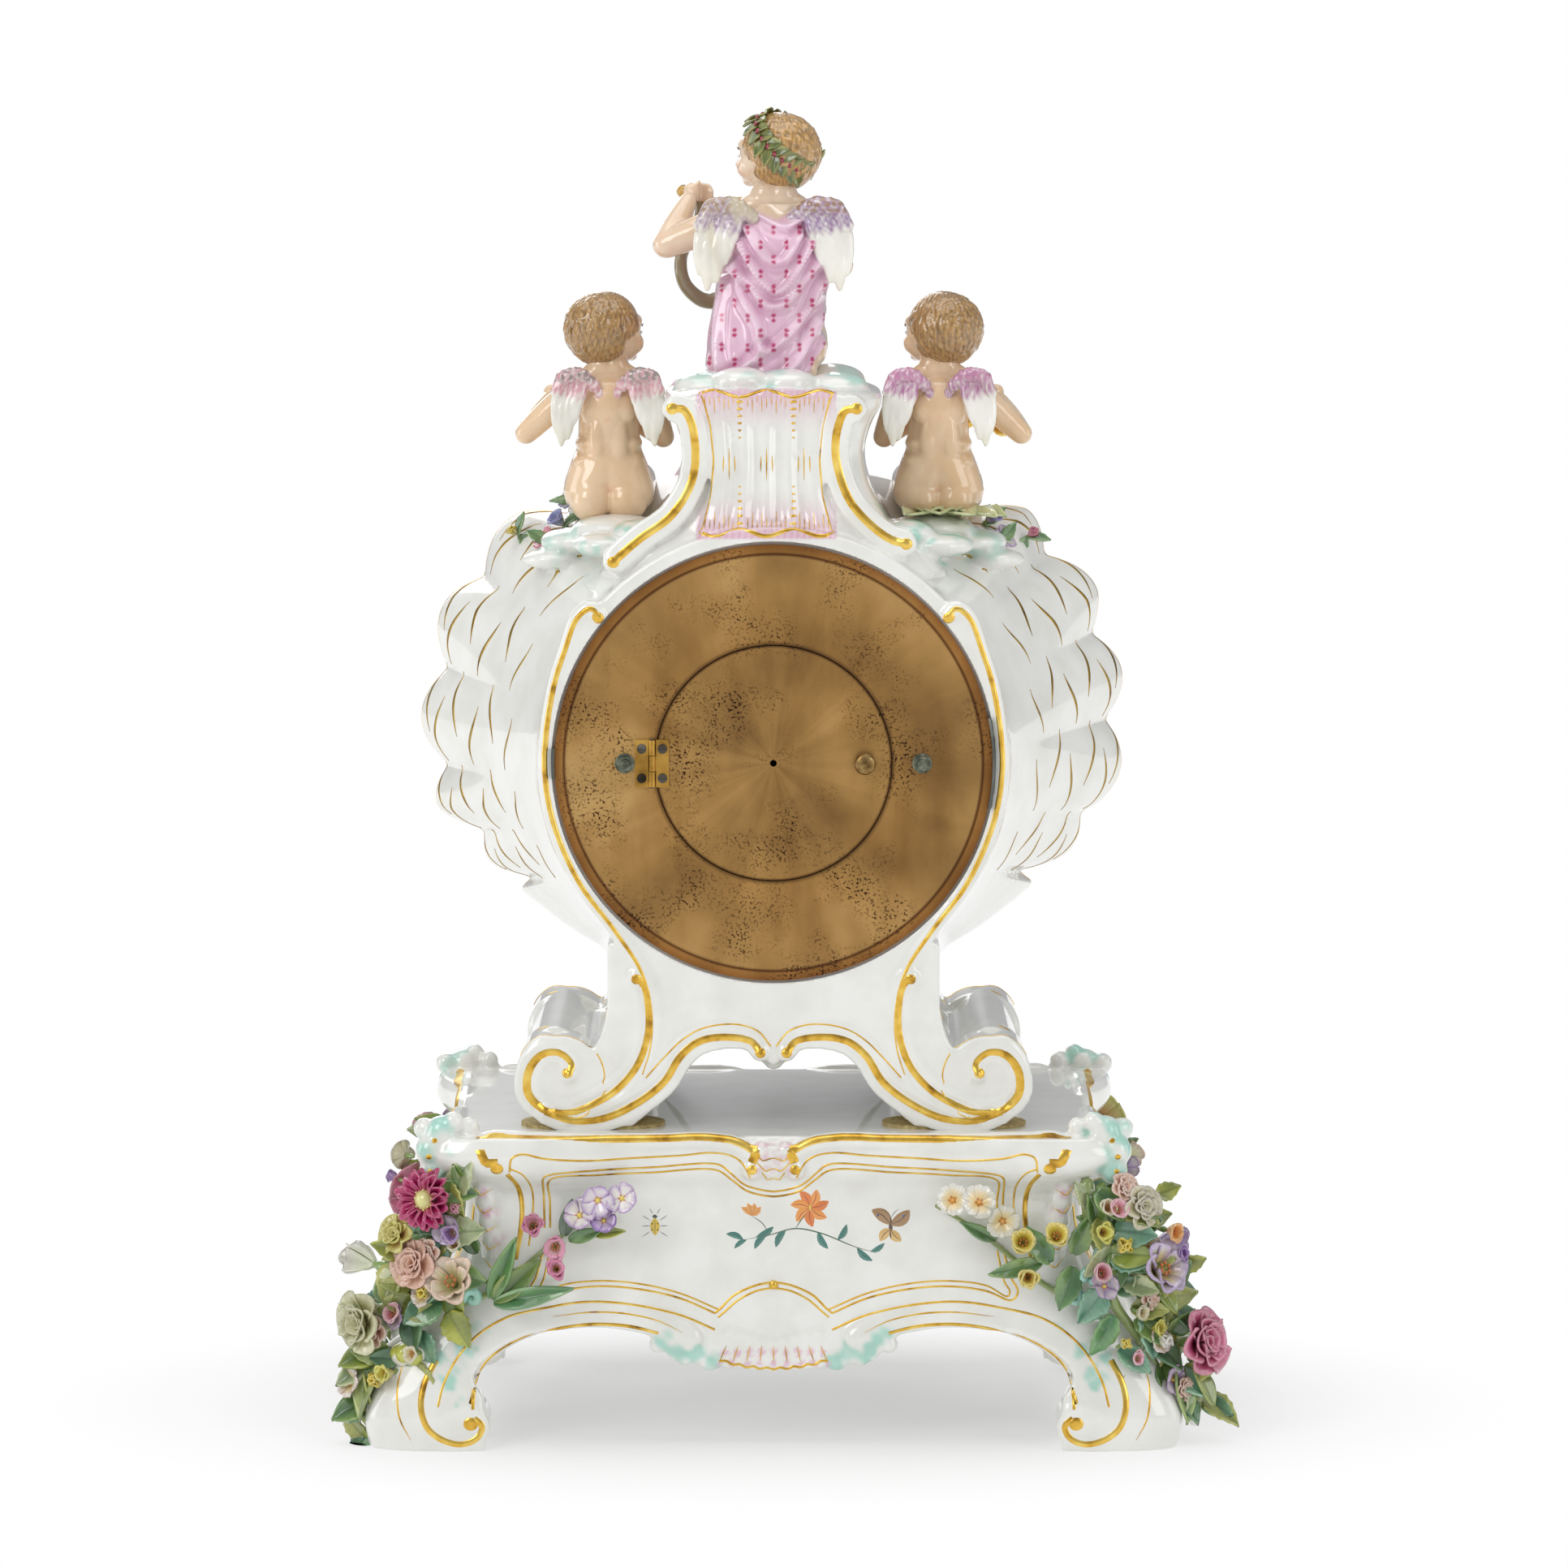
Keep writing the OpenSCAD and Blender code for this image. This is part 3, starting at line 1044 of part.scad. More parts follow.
// Outline of half the anchor from its middle, by the pallet's place: shares of its x and z
anchor_shares = [[0.7, -0.07], [1.22, 0.55], [1.27, 1], [1.07, 1.05], [1, 0.95], [1.02, 0.6], [0.6, 0.14]];
anchor_t = wheel_t * 1.3;
crutch_l = 26 * tooth_m;
crutch_t = 1;
fork_t = 0.8;
fork_h = 2.4;
rod_r = 0.8;
module anchor() {
    r = escape_r + pallet_gap;
    nib = [r * sin(62), escape_at[1] - anchor_at[1] + r * cos(62)];
    crutch_y = (mov_rear_y + cock_y + crutch_t) / 2;
    fork_x = rod_r + gap;
    color("steelblue") placed(anchor_at) {
        at(0, 0, escape_y + (anchor_t - wheel_t) / 2) linear_extrude(anchor_t) for (sx = [-1, 1])
            polygon(concat([[0, 2 * arbor_r]], [for (s = anchor_shares) [sx * s[0] * nib[0], s[1] * nib[1]]],
                [[0, -1.6 * arbor_r]]));
        disc(arbor_r, cock_y - gap, inner_front_y + gap);
        disc(pivot_r, cock_y + cock_t, mov_front_y);
        // Crutch: blade, and a fork round the pendulum's rod
        at(0, 0, crutch_y) linear_extrude(crutch_t)
            polygon([[-1.6, 1.6] * crutch_t, [1.6, 1.6] * crutch_t, [crutch_t, -crutch_l], [-crutch_t, -crutch_l]]);
        translate([-fork_x - fork_t, crutch_y - crutch_t, drum_z - crutch_l])
            cube([2 * (fork_x + fork_t), fork_t, fork_h]);
        for (x = [-fork_x - fork_t, fork_x]) translate([x, crutch_y - crutch_t, drum_z - crutch_l])
            cube([fork_t, pendulum_y + 2 * rod_r - crutch_y + crutch_t, fork_h]);
    }
}

// Pendulum: suspension strip below its bend, hook block, rod and lens-shaped bob
bob_t = 8;
bob_room = 5;
bob_z = anchor_at[1] - pendulum_l;
block_w = 5;
block_t = 2.4;
block_h = 4;
// Bob's outline from its flat rim to its face: shares of its half thickness
bob_shares = [0.25, 0.45, 0.62, 0.77, 0.89, 0.96];
module pendulum_rod() {
    z = drum_z + anchor_at[1];
    rod_end_z = drum_z + bob_z - bob_r * 1.25;
    color("gold") {
        translate([-strip_t / 2, pendulum_y - strip_w / 2, z - block_h - gap]) cube([strip_t, strip_w, block_h]);
        translate([-block_w / 2, pendulum_y - block_t / 2, z - 2 * block_h]) cube([block_w, block_t, block_h]);
        translate([0, pendulum_y, rod_end_z]) cylinder(r = rod_r, h = z - block_h * 1.5 - rod_end_z, $fn = 24);
        // Rating nut
        translate([0, pendulum_y, rod_end_z + bob_r * 0.05]) cylinder(r = rod_r * 3, h = bob_r * 0.16, $fn = 32);
    }
}
module pendulum_bob() {
    half = [for (s = bob_shares) [bob_r * sqrt(1 - s * s), bob_t / 2 * s]];
    color("gold") difference() {
        at(0, bob_z, pendulum_y + bob_t / 2) translate([0, 0, bob_t / 2]) rotate_extrude($fn = 64)
            polygon(concat([[0, -half[5][1]]], [for (i = [5 : -1 : 0]) [half[i][0], -half[i][1]]], half, [[0, half[5][1]]]));
        translate([0, pendulum_y, drum_z + bob_z - 2 * bob_r]) cylinder(r = rod_r, h = 4 * bob_r, $fn = 24);
    }
}

// Spring barrel: drum, cap and great wheel, running on its winding arbor
winding_r = 2.2;
cap_t = 1;
barrel_end = 2.5;
barrel_front_y = inner_front_y + barrel_end;
spring_turns = 7;
spring_t = 0.5;
module mainspring(p, y_back) {
    r0 = winding_r * 2;
    r1 = barrel_r - barrel_wall - spring_t;
    steps = 16 * spring_turns;
    path = [for (i = [0 : steps]) [r0 + (r1 - r0) * i / steps, 22.5 * i]];
    placed(p) at(0, 0, y_back - gap) linear_extrude(y_back - barrel_front_y - cap_t - 2 * gap) polygon(concat(
        [for (s = path) polar(s[0], s[1])], [for (i = [steps : -1 : 0]) polar(path[i][0] + spring_t, path[i][1])]));
}
module spring_barrel(p, y, phase) {
    placed(p) difference() {
        union() {
            ring(barrel_r, barrel_r - barrel_wall, y - great_t + cut / 2, barrel_front_y);
            disc(barrel_r, barrel_front_y + cap_t, barrel_front_y);
            wheel(great_teeth, great_m, phase, y, great_t);
        }
        disc(winding_r + run, y + cut, barrel_front_y - cut);
    }
}
module going_barrel() {
    color("gold") spring_barrel(barrel_at, great_y, towards(barrel_at, [0, 0]));
}
module going_mainspring() {
    color("steelblue") mainspring(barrel_at, great_y - great_t);
}
square_w = 3;
square_proud = 0.6;
square_end_y = dial_y - dial_t - square_proud;
ratchet_y = mov_front_y - gap;
ratchet_t = 1.6;
module winding_arbor(p, phase) {
    placed(p) {
        disc(winding_r, inner_rear_y - gap, ratchet_y - ratchet_t);
        disc(winding_r * 0.6, mov_rear_y, inner_rear_y - 2 * gap);
        at(0, 0, ratchet_y) linear_extrude(-square_end_y + ratchet_y) square(square_w, center = true);
        at(0, 0, ratchet_y) linear_extrude(ratchet_t) polygon([for (i = [0 : ratchet_teeth - 1])
            each [polar(ratchet_r * 0.86, phase + i * 360 / ratchet_teeth + 1),
                polar(ratchet_r, phase + i * 360 / ratchet_teeth + 2)]]);
    }
}
module going_arbor() {
    color("gray") winding_arbor(barrel_at, 0);
}
module strike_arbor() {
    color("gray") winding_arbor(strike_at, 0);
}

// Strike: barrel with the count wheel on a pipe behind the rear plate
strike_y = layer(0.6);
count_r = 15 * tooth_m;
count_t = 1.2;
count_gap = 0.5;
count_y = mov_rear_y + count_gap + count_t;
pipe_r = winding_r * 1.45;
notch_angles = [0, 14, 34, 60, 90, 124, 162, 204, 250, 300, 346];
module strike_barrel() {
    color("gold") {
        difference() {
            union() {
                spring_barrel(strike_at, strike_y, towards(strike_at, pin_wheel_at));
                placed(strike_at) disc(pipe_r, count_y, strike_y - great_t / 2);
                placed(strike_at) difference() {
                    disc(count_r, count_y, count_y - count_t);
                    for (a = notch_angles) at(0, 0, count_y + cut) rotate([0, 0, a])
                        translate([count_r * 0.88, -count_r * 0.05, 0])
                            cube([count_r * 0.2, count_r * 0.1, count_t + 2 * cut]);
                    windows(count_r * 0.72, count_r * 0.4, count_y, count_t, 4);
                }
            }
            placed(strike_at) disc(winding_r + run, count_y + cut, barrel_front_y - cut);
        }
        mainspring(strike_at, strike_y - great_t);
    }
}
pin_y = layer(0.95);
pin_l = 1.5;
pin_circle_r = 8.4 * tooth_m;
module pin_wheel() {
    color("gold") placed(pin_wheel_at) {
        pinion(centre_pinion_teeth, great_m, towards(pin_wheel_at, strike_at) + 180 / centre_pinion_teeth,
            strike_y + pinion_over, great_t + 2 * pinion_over);
        crossed_wheel(pin_teeth, pin_m, towards(pin_wheel_at, fly_at), pin_y, wheel_t, 4);
        for (i = [0 : 7]) disc(pivot_r, pin_y - wheel_t / 2, pin_y - wheel_t - pin_l,
            pin_circle_r * cos(45 * i), pin_circle_r * sin(45 * i));
        arbor();
    }
}
fly_r = 5.5 * tooth_m;
module fly() {
    color("gold") placed(fly_at) {
        pinion(pinion_teeth, pin_m, towards(fly_at, pin_wheel_at) + 180 / pinion_teeth, pin_y + leaf_over,
            wheel_t + 2 * leaf_over);
        translate([-fly_r, layer(0.12), drum_z - strip_t / 2]) cube([2 * fly_r, mov_gap * 0.3, strip_t]);
        arbor(pinion_arbor_r);
    }
}
// Hammer: tail near the pins, arm and head beside the bell
bell_y = pendulum_y + pendulum_clear;
bell_h = 18;
bell_t = 1.5;
hammer_y = bell_y + bell_h * 0.35;
hammer_head_r = 3;
hammer_head_half = 4;
hammer_arm_t = 2;
hammer_rest = 0.9;
hammer_head_at = [-bell_r - hammer_head_r - hammer_rest, -5 * tooth_m];
module hammer() {
    tail = norm(hammer_at - pin_wheel_at) - pin_circle_r - pivot_r - 2 * gap;
    dir = towards(hammer_at, pin_wheel_at);
    half_t = hammer_arm_t / 2;
    color("gray") {
        placed(hammer_at) {
            disc(arbor_r, hammer_y + hammer_arm_t, inner_front_y + gap);
            disc(pivot_r, hammer_y, mov_front_y);
            at(0, 0, pin_y - wheel_t - gap) rotate([0, 0, dir]) translate([0, -hammer_arm_t / 2])
                cube([tail, hammer_arm_t, hammer_arm_t / 2]);
        }
        hull() {
            disc(hammer_arm_t, hammer_y + half_t, hammer_y - half_t, hammer_at[0], hammer_at[1]);
            disc(half_t, hammer_y + half_t, hammer_y - half_t, hammer_head_at[0], hammer_head_at[1]);
        }
        disc(hammer_head_r, hammer_y + hammer_head_half, hammer_y - hammer_head_half, hammer_head_at[0],
            hammer_head_at[1]);
    }
}
// Bell, open towards the plate, on a post and arm
arm_t = 1.6;
arm_w = 6;
bell_hole_r = bell_r * 0.12;
bell_steps = 8;
bell_post_r = 2.2;
module bell() {
    top_y = bell_y + bell_h;
    crown = bell_r - bell_hole_r;
    color("silver") {
        at(0, 0, top_y) rotate_extrude($fn = 72) polygon(concat(
            [for (i = [0 : bell_steps]) let(a = 90 * i / bell_steps) [bell_hole_r + crown * sin(a), bell_h * (1 - cos(a))]],
            [for (i = [bell_steps : -1 : 0]) let(a = 90 * i / bell_steps)
                [bell_hole_r + (crown - bell_t) * sin(a), bell_t + (bell_h - bell_t) * (1 - cos(a))]]));
        disc(bell_post_r, top_y + arm_t / 2, mov_rear_y, bell_post_at[0], bell_post_at[1]);
        // Arm, and the screw and nut that hold the bell on it
        at(0, 0, top_y + arm_t) linear_extrude(arm_t) rotate([0, 0, towards([0, 0], bell_post_at)]) {
            translate([0, -arm_w / 2]) square([norm(bell_post_at), arm_w]);
            for (x = [0, norm(bell_post_at)]) translate([x, 0]) circle(r = arm_w / 2, $fn = 48);
        }
        disc(bell_hole_r * 1.1, top_y + arm_t / 2, top_y - 2 * bell_t);
        disc(bell_hole_r * 1.7, top_y - bell_t * 0.8, top_y - 3 * bell_t);
    }
}

// Plates and pillars
pillar_r = 2.6;
pillar_at = [[0, -43], [42, 12], [-37, 23], [23.5, 36.5], [-23.5, 36.5]];
module pivot_holes(y0, y1) {
    for (p = [third_at, escape_at, pin_wheel_at, fly_at, hammer_at]) disc(pivot_r + run, y0 + cut, y1 - cut, p[0], p[1]);
}
module front_plate() {
    color("gold") difference() {
        union() {
            disc(mov_r, mov_front_y + mov_t, mov_front_y);
            // Stud that the minute wheel turns on
            disc(arbor_r, mov_front_y + mov_t, hour_y - 1.5 * motion_t, minute_wheel_at[0], minute_wheel_at[1]);
        }
        pivot_holes(mov_front_y + mov_t, mov_front_y);
        disc(pivot_r + run, mov_front_y + mov_t + cut, mov_front_y - cut, anchor_at[0], anchor_at[1]);
        disc(centre_r + run, mov_front_y + mov_t + cut, mov_front_y - cut);
        for (p = [barrel_at, strike_at]) disc(winding_r + run, mov_front_y + mov_t + cut, mov_front_y - cut, p[0], p[1]);
    }
}
module rear_plate() {
    color("gold") difference() {
        disc(mov_r, mov_rear_y, inner_rear_y);
        pivot_holes(mov_rear_y, inner_rear_y);
        disc(pivot_r + run, mov_rear_y + cut, inner_rear_y - cut);
        disc(arbor_r * 1.6, mov_rear_y + cut, inner_rear_y - cut, anchor_at[0], anchor_at[1]);
        disc(arbor_r + run, mov_rear_y + cut, inner_rear_y - cut, hammer_at[0], hammer_at[1]);
        disc(winding_r * 0.6 + run, mov_rear_y + cut, inner_rear_y - cut, barrel_at[0], barrel_at[1]);
        disc(pipe_r + run, mov_rear_y + cut, inner_rear_y - cut, strike_at[0], strike_at[1]);
    }
}
module plate_pillars() {
    color("gold") for (p = pillar_at * tooth_m) placed(p) at(0, 0, inner_rear_y) rotate_extrude($fn = 32)
        polygon([[0, 0], [pillar_r, 0], [pillar_r, mov_gap * 0.1], [pillar_r * 0.6, mov_gap * 0.16],
            [pillar_r * 0.6, mov_gap * 0.45], [pillar_r * 0.9, mov_gap * 0.5], [pillar_r * 0.6, mov_gap * 0.55],
            [pillar_r * 0.6, mov_gap * 0.84], [pillar_r, mov_gap * 0.9], [pillar_r, mov_gap], [0, mov_gap]]);
}
// Clicks, lifted just clear of the ratchet teeth
click_pivot_r = 1.6;
click_r = 1.4;
click_tip_r = 0.5;
module winding_clicks() {
    color("steelblue") for (sx = [-1, 1]) {
        p = [sx * barrel_at[0], barrel_at[1]];
        a = [sx * 8.5, 9.5] * tooth_m;
        tip = ratchet_r + 2 * gap;
        placed(p) {
            disc(click_pivot_r, mov_front_y, ratchet_y - ratchet_t - gap, a[0], a[1]);
            hull() {
                disc(click_r, ratchet_y, ratchet_y - ratchet_t, a[0], a[1]);
                disc(click_tip_r, ratchet_y, ratchet_y - ratchet_t, sx * tip * sin(10),
                    tip * cos(10) + click_tip_r);
            }
        }
    }
}

// Motion work
cannon_r = 1.95;
hour_bore_r = 2;
hour_pipe_r = 2.7;
motion_gap = 1;
motion_y = mov_front_y - motion_gap;
hour_step = 2.7;
hour_y = motion_y - hour_step;
motion_t = 1.3;
hand_clear = 1;
hour_hand_y = dial_y - dial_t - hand_clear;
hand_step = 1.7;
minute_hand_y = hour_hand_y - hand_step;
cannon_over = 0.2;
hand_t = 0.7;
module cannon_pinion() {
    color("gold") difference() {
        union() {
            pinion(cannon_teeth, minute_m, towards([0, 0], minute_wheel_at) + 180 / cannon_teeth,
                motion_y + cannon_over, motion_t + 2 * cannon_over);
            disc(cannon_r, motion_y, minute_hand_y - hand_t);
        }
        disc(centre_r + run / 2, motion_y + cut, minute_hand_y - hand_t - cut);
    }
}
module minute_wheel() {
    color("gold") placed(minute_wheel_at) difference() {
        union() {
            wheel(minute_teeth, minute_m, towards(minute_wheel_at, [0, 0]), motion_y, motion_t);
            pinion(minute_pinion_teeth, hour_m, towards(minute_wheel_at, [0, 0]) + 180 / minute_pinion_teeth,
                motion_y - motion_t + cut / 2, motion_y + cut / 2 - hour_y + 2 * cannon_over);
        }
        disc(arbor_r + run, motion_y + cut, hour_y - 3 * motion_t);
    }
}
module hour_wheel() {
    color("gold") difference() {
        union() {
            wheel(hour_teeth, hour_m, towards([0, 0], minute_wheel_at), hour_y, motion_t);
            disc(hour_pipe_r, hour_y, hour_hand_y - hand_t);
        }
        disc(hour_bore_r, hour_y + cut, hour_hand_y - hand_t - cut);
    }
}

// Enamel dial with its three feet, centre hole and winding holes
dial_foot_r = 1.2;
dial_foot_at = 35 * tooth_m;
module dial() {
    color("white") difference() {
        union() {
            at(0, 0, dial_y) rotate_extrude($fn = 96) polygon([[0, 0], [dial_r, 0], [dial_r, dial_t * 0.4],
                [dial_r * 0.97, dial_t * 0.8], [dial_r * 0.8, dial_t], [0, dial_t]]);
            for (a = [60, 180, 300])
                disc(dial_foot_r, mov_front_y, dial_y - dial_t / 2, dial_foot_at * cos(a), dial_foot_at * sin(a));
        }
        disc(hour_pipe_r * 1.4, dial_y + cut, dial_y - dial_t - cut);
        for (p = [barrel_at, strike_at]) disc(winding_r * 1.3, dial_y + cut, dial_y - dial_t - cut, p[0], p[1]);
    }
}

// Pierced hand along an angle from +X: half widths along its length as shares
hand_shares = [[0.06, 0.045], [0.42, 0.022], [0.5, 0.07], [0.6, 0.105], [0.72, 0.06], [0.78, 0.024], [0.92, 0.018],
    [1, 0.004]];
module hand(l, hub_r, angle, y, hole_r) {
    at(0, 0, y) rotate([0, 0, angle]) difference() {
        union() {
            linear_extrude(hand_t) polygon(concat([for (s = hand_shares) [l * s[0], l * s[1]]],
                [for (i = [len(hand_shares) - 1 : -1 : 0]) [l * hand_shares[i][0], -l * hand_shares[i][1]]]));
            cylinder(r = hub_r, h = hand_t, $fn = 48);
        }
        translate([0, 0, -cut]) cylinder(r = hole_r, h = hand_t + 2 * cut, $fn = 48);
        translate([l * 0.6, 0, -cut]) cylinder(r = l * 0.055, h = hand_t + 2 * cut, $fn = 32);
    }
}
hour_hand_angle = 90 - 30 * (10 + 9 / 60);
minute_hand_angle = 90 - 6 * 9;
module hour_hand() {
    color("goldenrod") hand(hour_hand_l, hour_pipe_r * 1.5, hour_hand_angle, hour_hand_y, hour_pipe_r);
}
module minute_hand() {
    color("goldenrod") hand(minute_hand_l, cannon_r * 1.8, minute_hand_angle, minute_hand_y, cannon_r);
}

stand();
case_body();
foot_beds();
top_putto();
top_putto_wings();
top_putto_drapery();
top_putto_lyre();
left_putto();
left_putto_wings();
left_putto_flute();
right_putto();
right_putto_wings();
right_putto_horn();
shoulder_flowers();
garland_back_left();
garland_back_right();
garland_front_left();
garland_front_right();
back_plate();
door_stop_ring();
back_door();
door_knob();
hinge_plate_leaf();
hinge_door_leaf();
hinge_pin();
hinge_plate_screws();
hinge_door_screws();
tie_rods();
edge_shims();
bezel_ring();
movement_ring();
bezel_door();
bezel_glass();
bezel_hinge_pin();
dial();
hour_hand();
minute_hand();
front_plate();
rear_plate();
plate_pillars();
going_barrel();
going_mainspring();
going_arbor();
centre_arbor();
third_arbor();
escape_arbor();
anchor();
back_cock();
pendulum_rod();
pendulum_bob();
cannon_pinion();
minute_wheel();
hour_wheel();
strike_barrel();
strike_arbor();
pin_wheel();
fly();
hammer();
bell();
winding_clicks();
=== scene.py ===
import json
import math
import bpy
import bmesh
import numpy as np
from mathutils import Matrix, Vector
from mathutils.bvhtree import BVHTree


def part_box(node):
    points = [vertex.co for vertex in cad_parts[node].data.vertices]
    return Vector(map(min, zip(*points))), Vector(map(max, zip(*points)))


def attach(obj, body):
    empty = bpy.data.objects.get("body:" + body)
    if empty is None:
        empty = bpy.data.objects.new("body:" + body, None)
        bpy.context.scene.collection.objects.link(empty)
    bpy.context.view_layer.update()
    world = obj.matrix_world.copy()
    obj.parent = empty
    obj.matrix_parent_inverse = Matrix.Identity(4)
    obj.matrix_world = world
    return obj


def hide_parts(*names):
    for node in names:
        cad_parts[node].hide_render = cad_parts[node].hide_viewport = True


# Porcelain mantel clock. Lengths are in millimetres until a mesh is made. +X is the photograph's left, +Y is
# the side that it shows, and Z is up. Points written (x, z) are drawn on a plane of one depth y.

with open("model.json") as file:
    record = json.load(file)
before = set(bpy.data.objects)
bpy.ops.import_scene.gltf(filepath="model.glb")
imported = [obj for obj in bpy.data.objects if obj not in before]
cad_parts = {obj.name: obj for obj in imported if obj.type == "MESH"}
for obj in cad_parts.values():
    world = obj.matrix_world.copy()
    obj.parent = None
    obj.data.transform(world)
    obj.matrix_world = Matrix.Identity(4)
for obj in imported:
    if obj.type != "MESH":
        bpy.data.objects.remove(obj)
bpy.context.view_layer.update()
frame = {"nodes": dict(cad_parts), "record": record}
MM = 0.001
CASE = "case"


def box_mm(node):
    """Lowest and highest corner of a CAD node in millimetres."""
    low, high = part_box(node)
    return np.array(low) / MM, np.array(high) / MM


plate_low, plate_high = box_mm("back_plate")
door_low, door_high = box_mm("back_door")
bed_low, bed_high = box_mm("foot_beds")
DRUM_Z = (plate_low[2] + plate_high[2]) / 2
PLATE_R = (plate_high[0] - plate_low[0]) / 2
PLATE_IN_Y = plate_low[1]
DOOR_R = (door_high[2] - door_low[2]) / 2
STAND_H = bed_low[2]
CASE_Z = bed_high[2]
BEZEL_R = box_mm("movement_ring")[1][0] + 0.3

# Colours as the eye sees them, 0 to 1
GLAZE = (0.925, 0.925, 0.905)
MINT = (0.63, 0.84, 0.78)
PINK = (0.87, 0.66, 0.76)
MAGENTA = (0.72, 0.10, 0.38)
TOP_SKIN = (0.95, 0.85, 0.75)
SIDE_SKIN = (0.93, 0.81, 0.67)
BLUSH = (0.85, 0.55, 0.46)
TOP_HAIR = (0.64, 0.49, 0.28)
SIDE_HAIR = (0.58, 0.44, 0.25)
GILT = (0.80, 0.62, 0.26)
GREEN = (0.30, 0.48, 0.28)
PALE_GREEN = (0.62, 0.74, 0.52)
YELLOW_GREEN = (0.74, 0.76, 0.28)
OLIVE = (0.45, 0.50, 0.20)
WHITE = (0.95, 0.94, 0.91)
CREAM = (0.93, 0.90, 0.74)
PEACH = (0.93, 0.78, 0.68)
LILAC = (0.70, 0.62, 0.80)
PURPLE = (0.50, 0.33, 0.60)
YELLOW = (0.93, 0.84, 0.35)

# Voxel sizes in which pieces are melted together
PORCELAIN_VOXEL = 1.1
BODY_VOXEL = 0.85
FINE_VOXEL = 0.62
# Planes outside the clock from which its back, front and sides are seen
FAR_Y = 130
FAR_X = 220
ALONG_X = (1, 0, 0)
ALONG_Y = (0, 1, 0)


def linear(colour):
    """Scene-linear value of a colour given as the eye sees it."""
    c = np.asarray(colour, float)
    return np.where(c <= 0.04045, c / 12.92, ((c + 0.055) / 1.055) ** 2.4)


def unit(v):
    v = np.asarray(v, float)
    return v / np.maximum(np.linalg.norm(v, axis=-1, keepdims=True), 1e-9)


def hump(x, at, width):
    return np.exp(-((x - at) / width) ** 2)


def circle(count):
    return np.linspace(0, 2 * math.pi, count, endpoint=False)


# Curves

def hermite(xs, ys, x):
    """Smooth curve through rows ys at places xs, read at x."""
    xs = np.asarray(xs, float)
    ys = np.asarray(ys, float)
    slopes = np.gradient(ys, xs, axis=0)
    i = np.clip(np.searchsorted(xs, x, side="right") - 1, 0, len(xs) - 2)
    h = xs[i + 1] - xs[i]
    t = (x - xs[i]) / h
    if ys.ndim > 1:
        t = t[:, None]
        h = h[:, None]
    a = (1 + 2 * t) * (1 - t) ** 2
    b = t * (1 - t) ** 2
    c = t * t * (3 - 2 * t)
    d = t * t * (t - 1)
    return a * ys[i] + b * h * slopes[i] + c * ys[i + 1] + d * h * slopes[i + 1]


def walk(path, count):
    """The same path with count points at equal steps."""
    path = np.asarray(path, float)
    s = np.r_[0, np.cumsum(np.linalg.norm(np.diff(path, axis=0), axis=1))]
    t = np.linspace(0, s[-1], count)
    return np.stack([np.interp(t, s, column) for column in path.T], axis=1)


def curve(points, count=60):
    """Smooth path through given points."""
    p = np.asarray(points, float)
    if len(p) == 2:
        return walk(p, count)
    t = np.r_[0, np.cumsum(np.sqrt(np.linalg.norm(np.diff(p, axis=0), axis=1)))]
    return walk(hermite(t, p, np.linspace(0, t[-1], 16 * len(p))), count)


def side_curve(points, sx, count):
    """Smooth path (x, z) on the left for sx 1, or its mirror image for -1."""
    return curve(np.array(points) * (sx, 1), count)


def on_plane(points, y):
    """Points (x, z) as points in space at depth y, one depth or one for each."""
    p = np.asarray(points, float)
    return np.stack(np.broadcast_arrays(p[:, 0], y, p[:, 1]), axis=1)


def across(points, x):
    """Points (y, z) as points in space on the plane of x."""
    p = np.asarray(points, float)
    return np.stack([np.full(len(p), float(x)), p[:, 0], p[:, 1]], axis=1)


def around(r, degrees, y):
    """Points at a radius about the drum's axis, at depth y."""
    t = np.radians(degrees)
    return np.stack(np.broadcast_arrays(r * np.cos(t), y, DRUM_Z + r * np.sin(t)), axis=-1)


def spiral(centre, r0, r1, a0, a1, count):
    """Points (x, z) of a spiral about a centre, angles in degrees."""
    t = np.linspace(0, 1, count)
    a = np.radians(a0 + (a1 - a0) * t)
    r = r0 + (r1 - r0) * t
    return np.stack([centre[0] + r * np.cos(a), centre[1] + r * np.sin(a)], axis=1)


def beside(path):
    """Directions square to a path (x, z) in its plane."""
    t = unit(np.gradient(path, axis=0))
    return np.stack([-t[:, 1], t[:, 0]], axis=1)


def spread(values, count):
    """Values at equal steps, read at count places."""
    return np.interp(np.linspace(0, 1, count), np.linspace(0, 1, len(values)), values)


# Solids, each a list of points and a list of faces

def grid_faces(rows, cols, closed):
    """Quads between rows of points; closed joins the last column to the first."""
    i = np.arange(rows - 1)[:, None] * cols
    j = np.arange(cols if closed else cols - 1)[None, :]
    k = (j + 1) % cols
    quads = np.stack([i + j, i + k, i + cols + k, i + cols + j], axis=-1)
    return quads.reshape(-1, 4).tolist()


def loft(rings):
    """Closed solid through rings of points."""
    rings = np.asarray(rings, float)
    m, n, _ = rings.shape
    faces = grid_faces(m, n, True)
    faces.append(list(range(n))[::-1])
    faces.append([(m - 1) * n + k for k in range(n)])
    return rings.reshape(-1, 3), faces


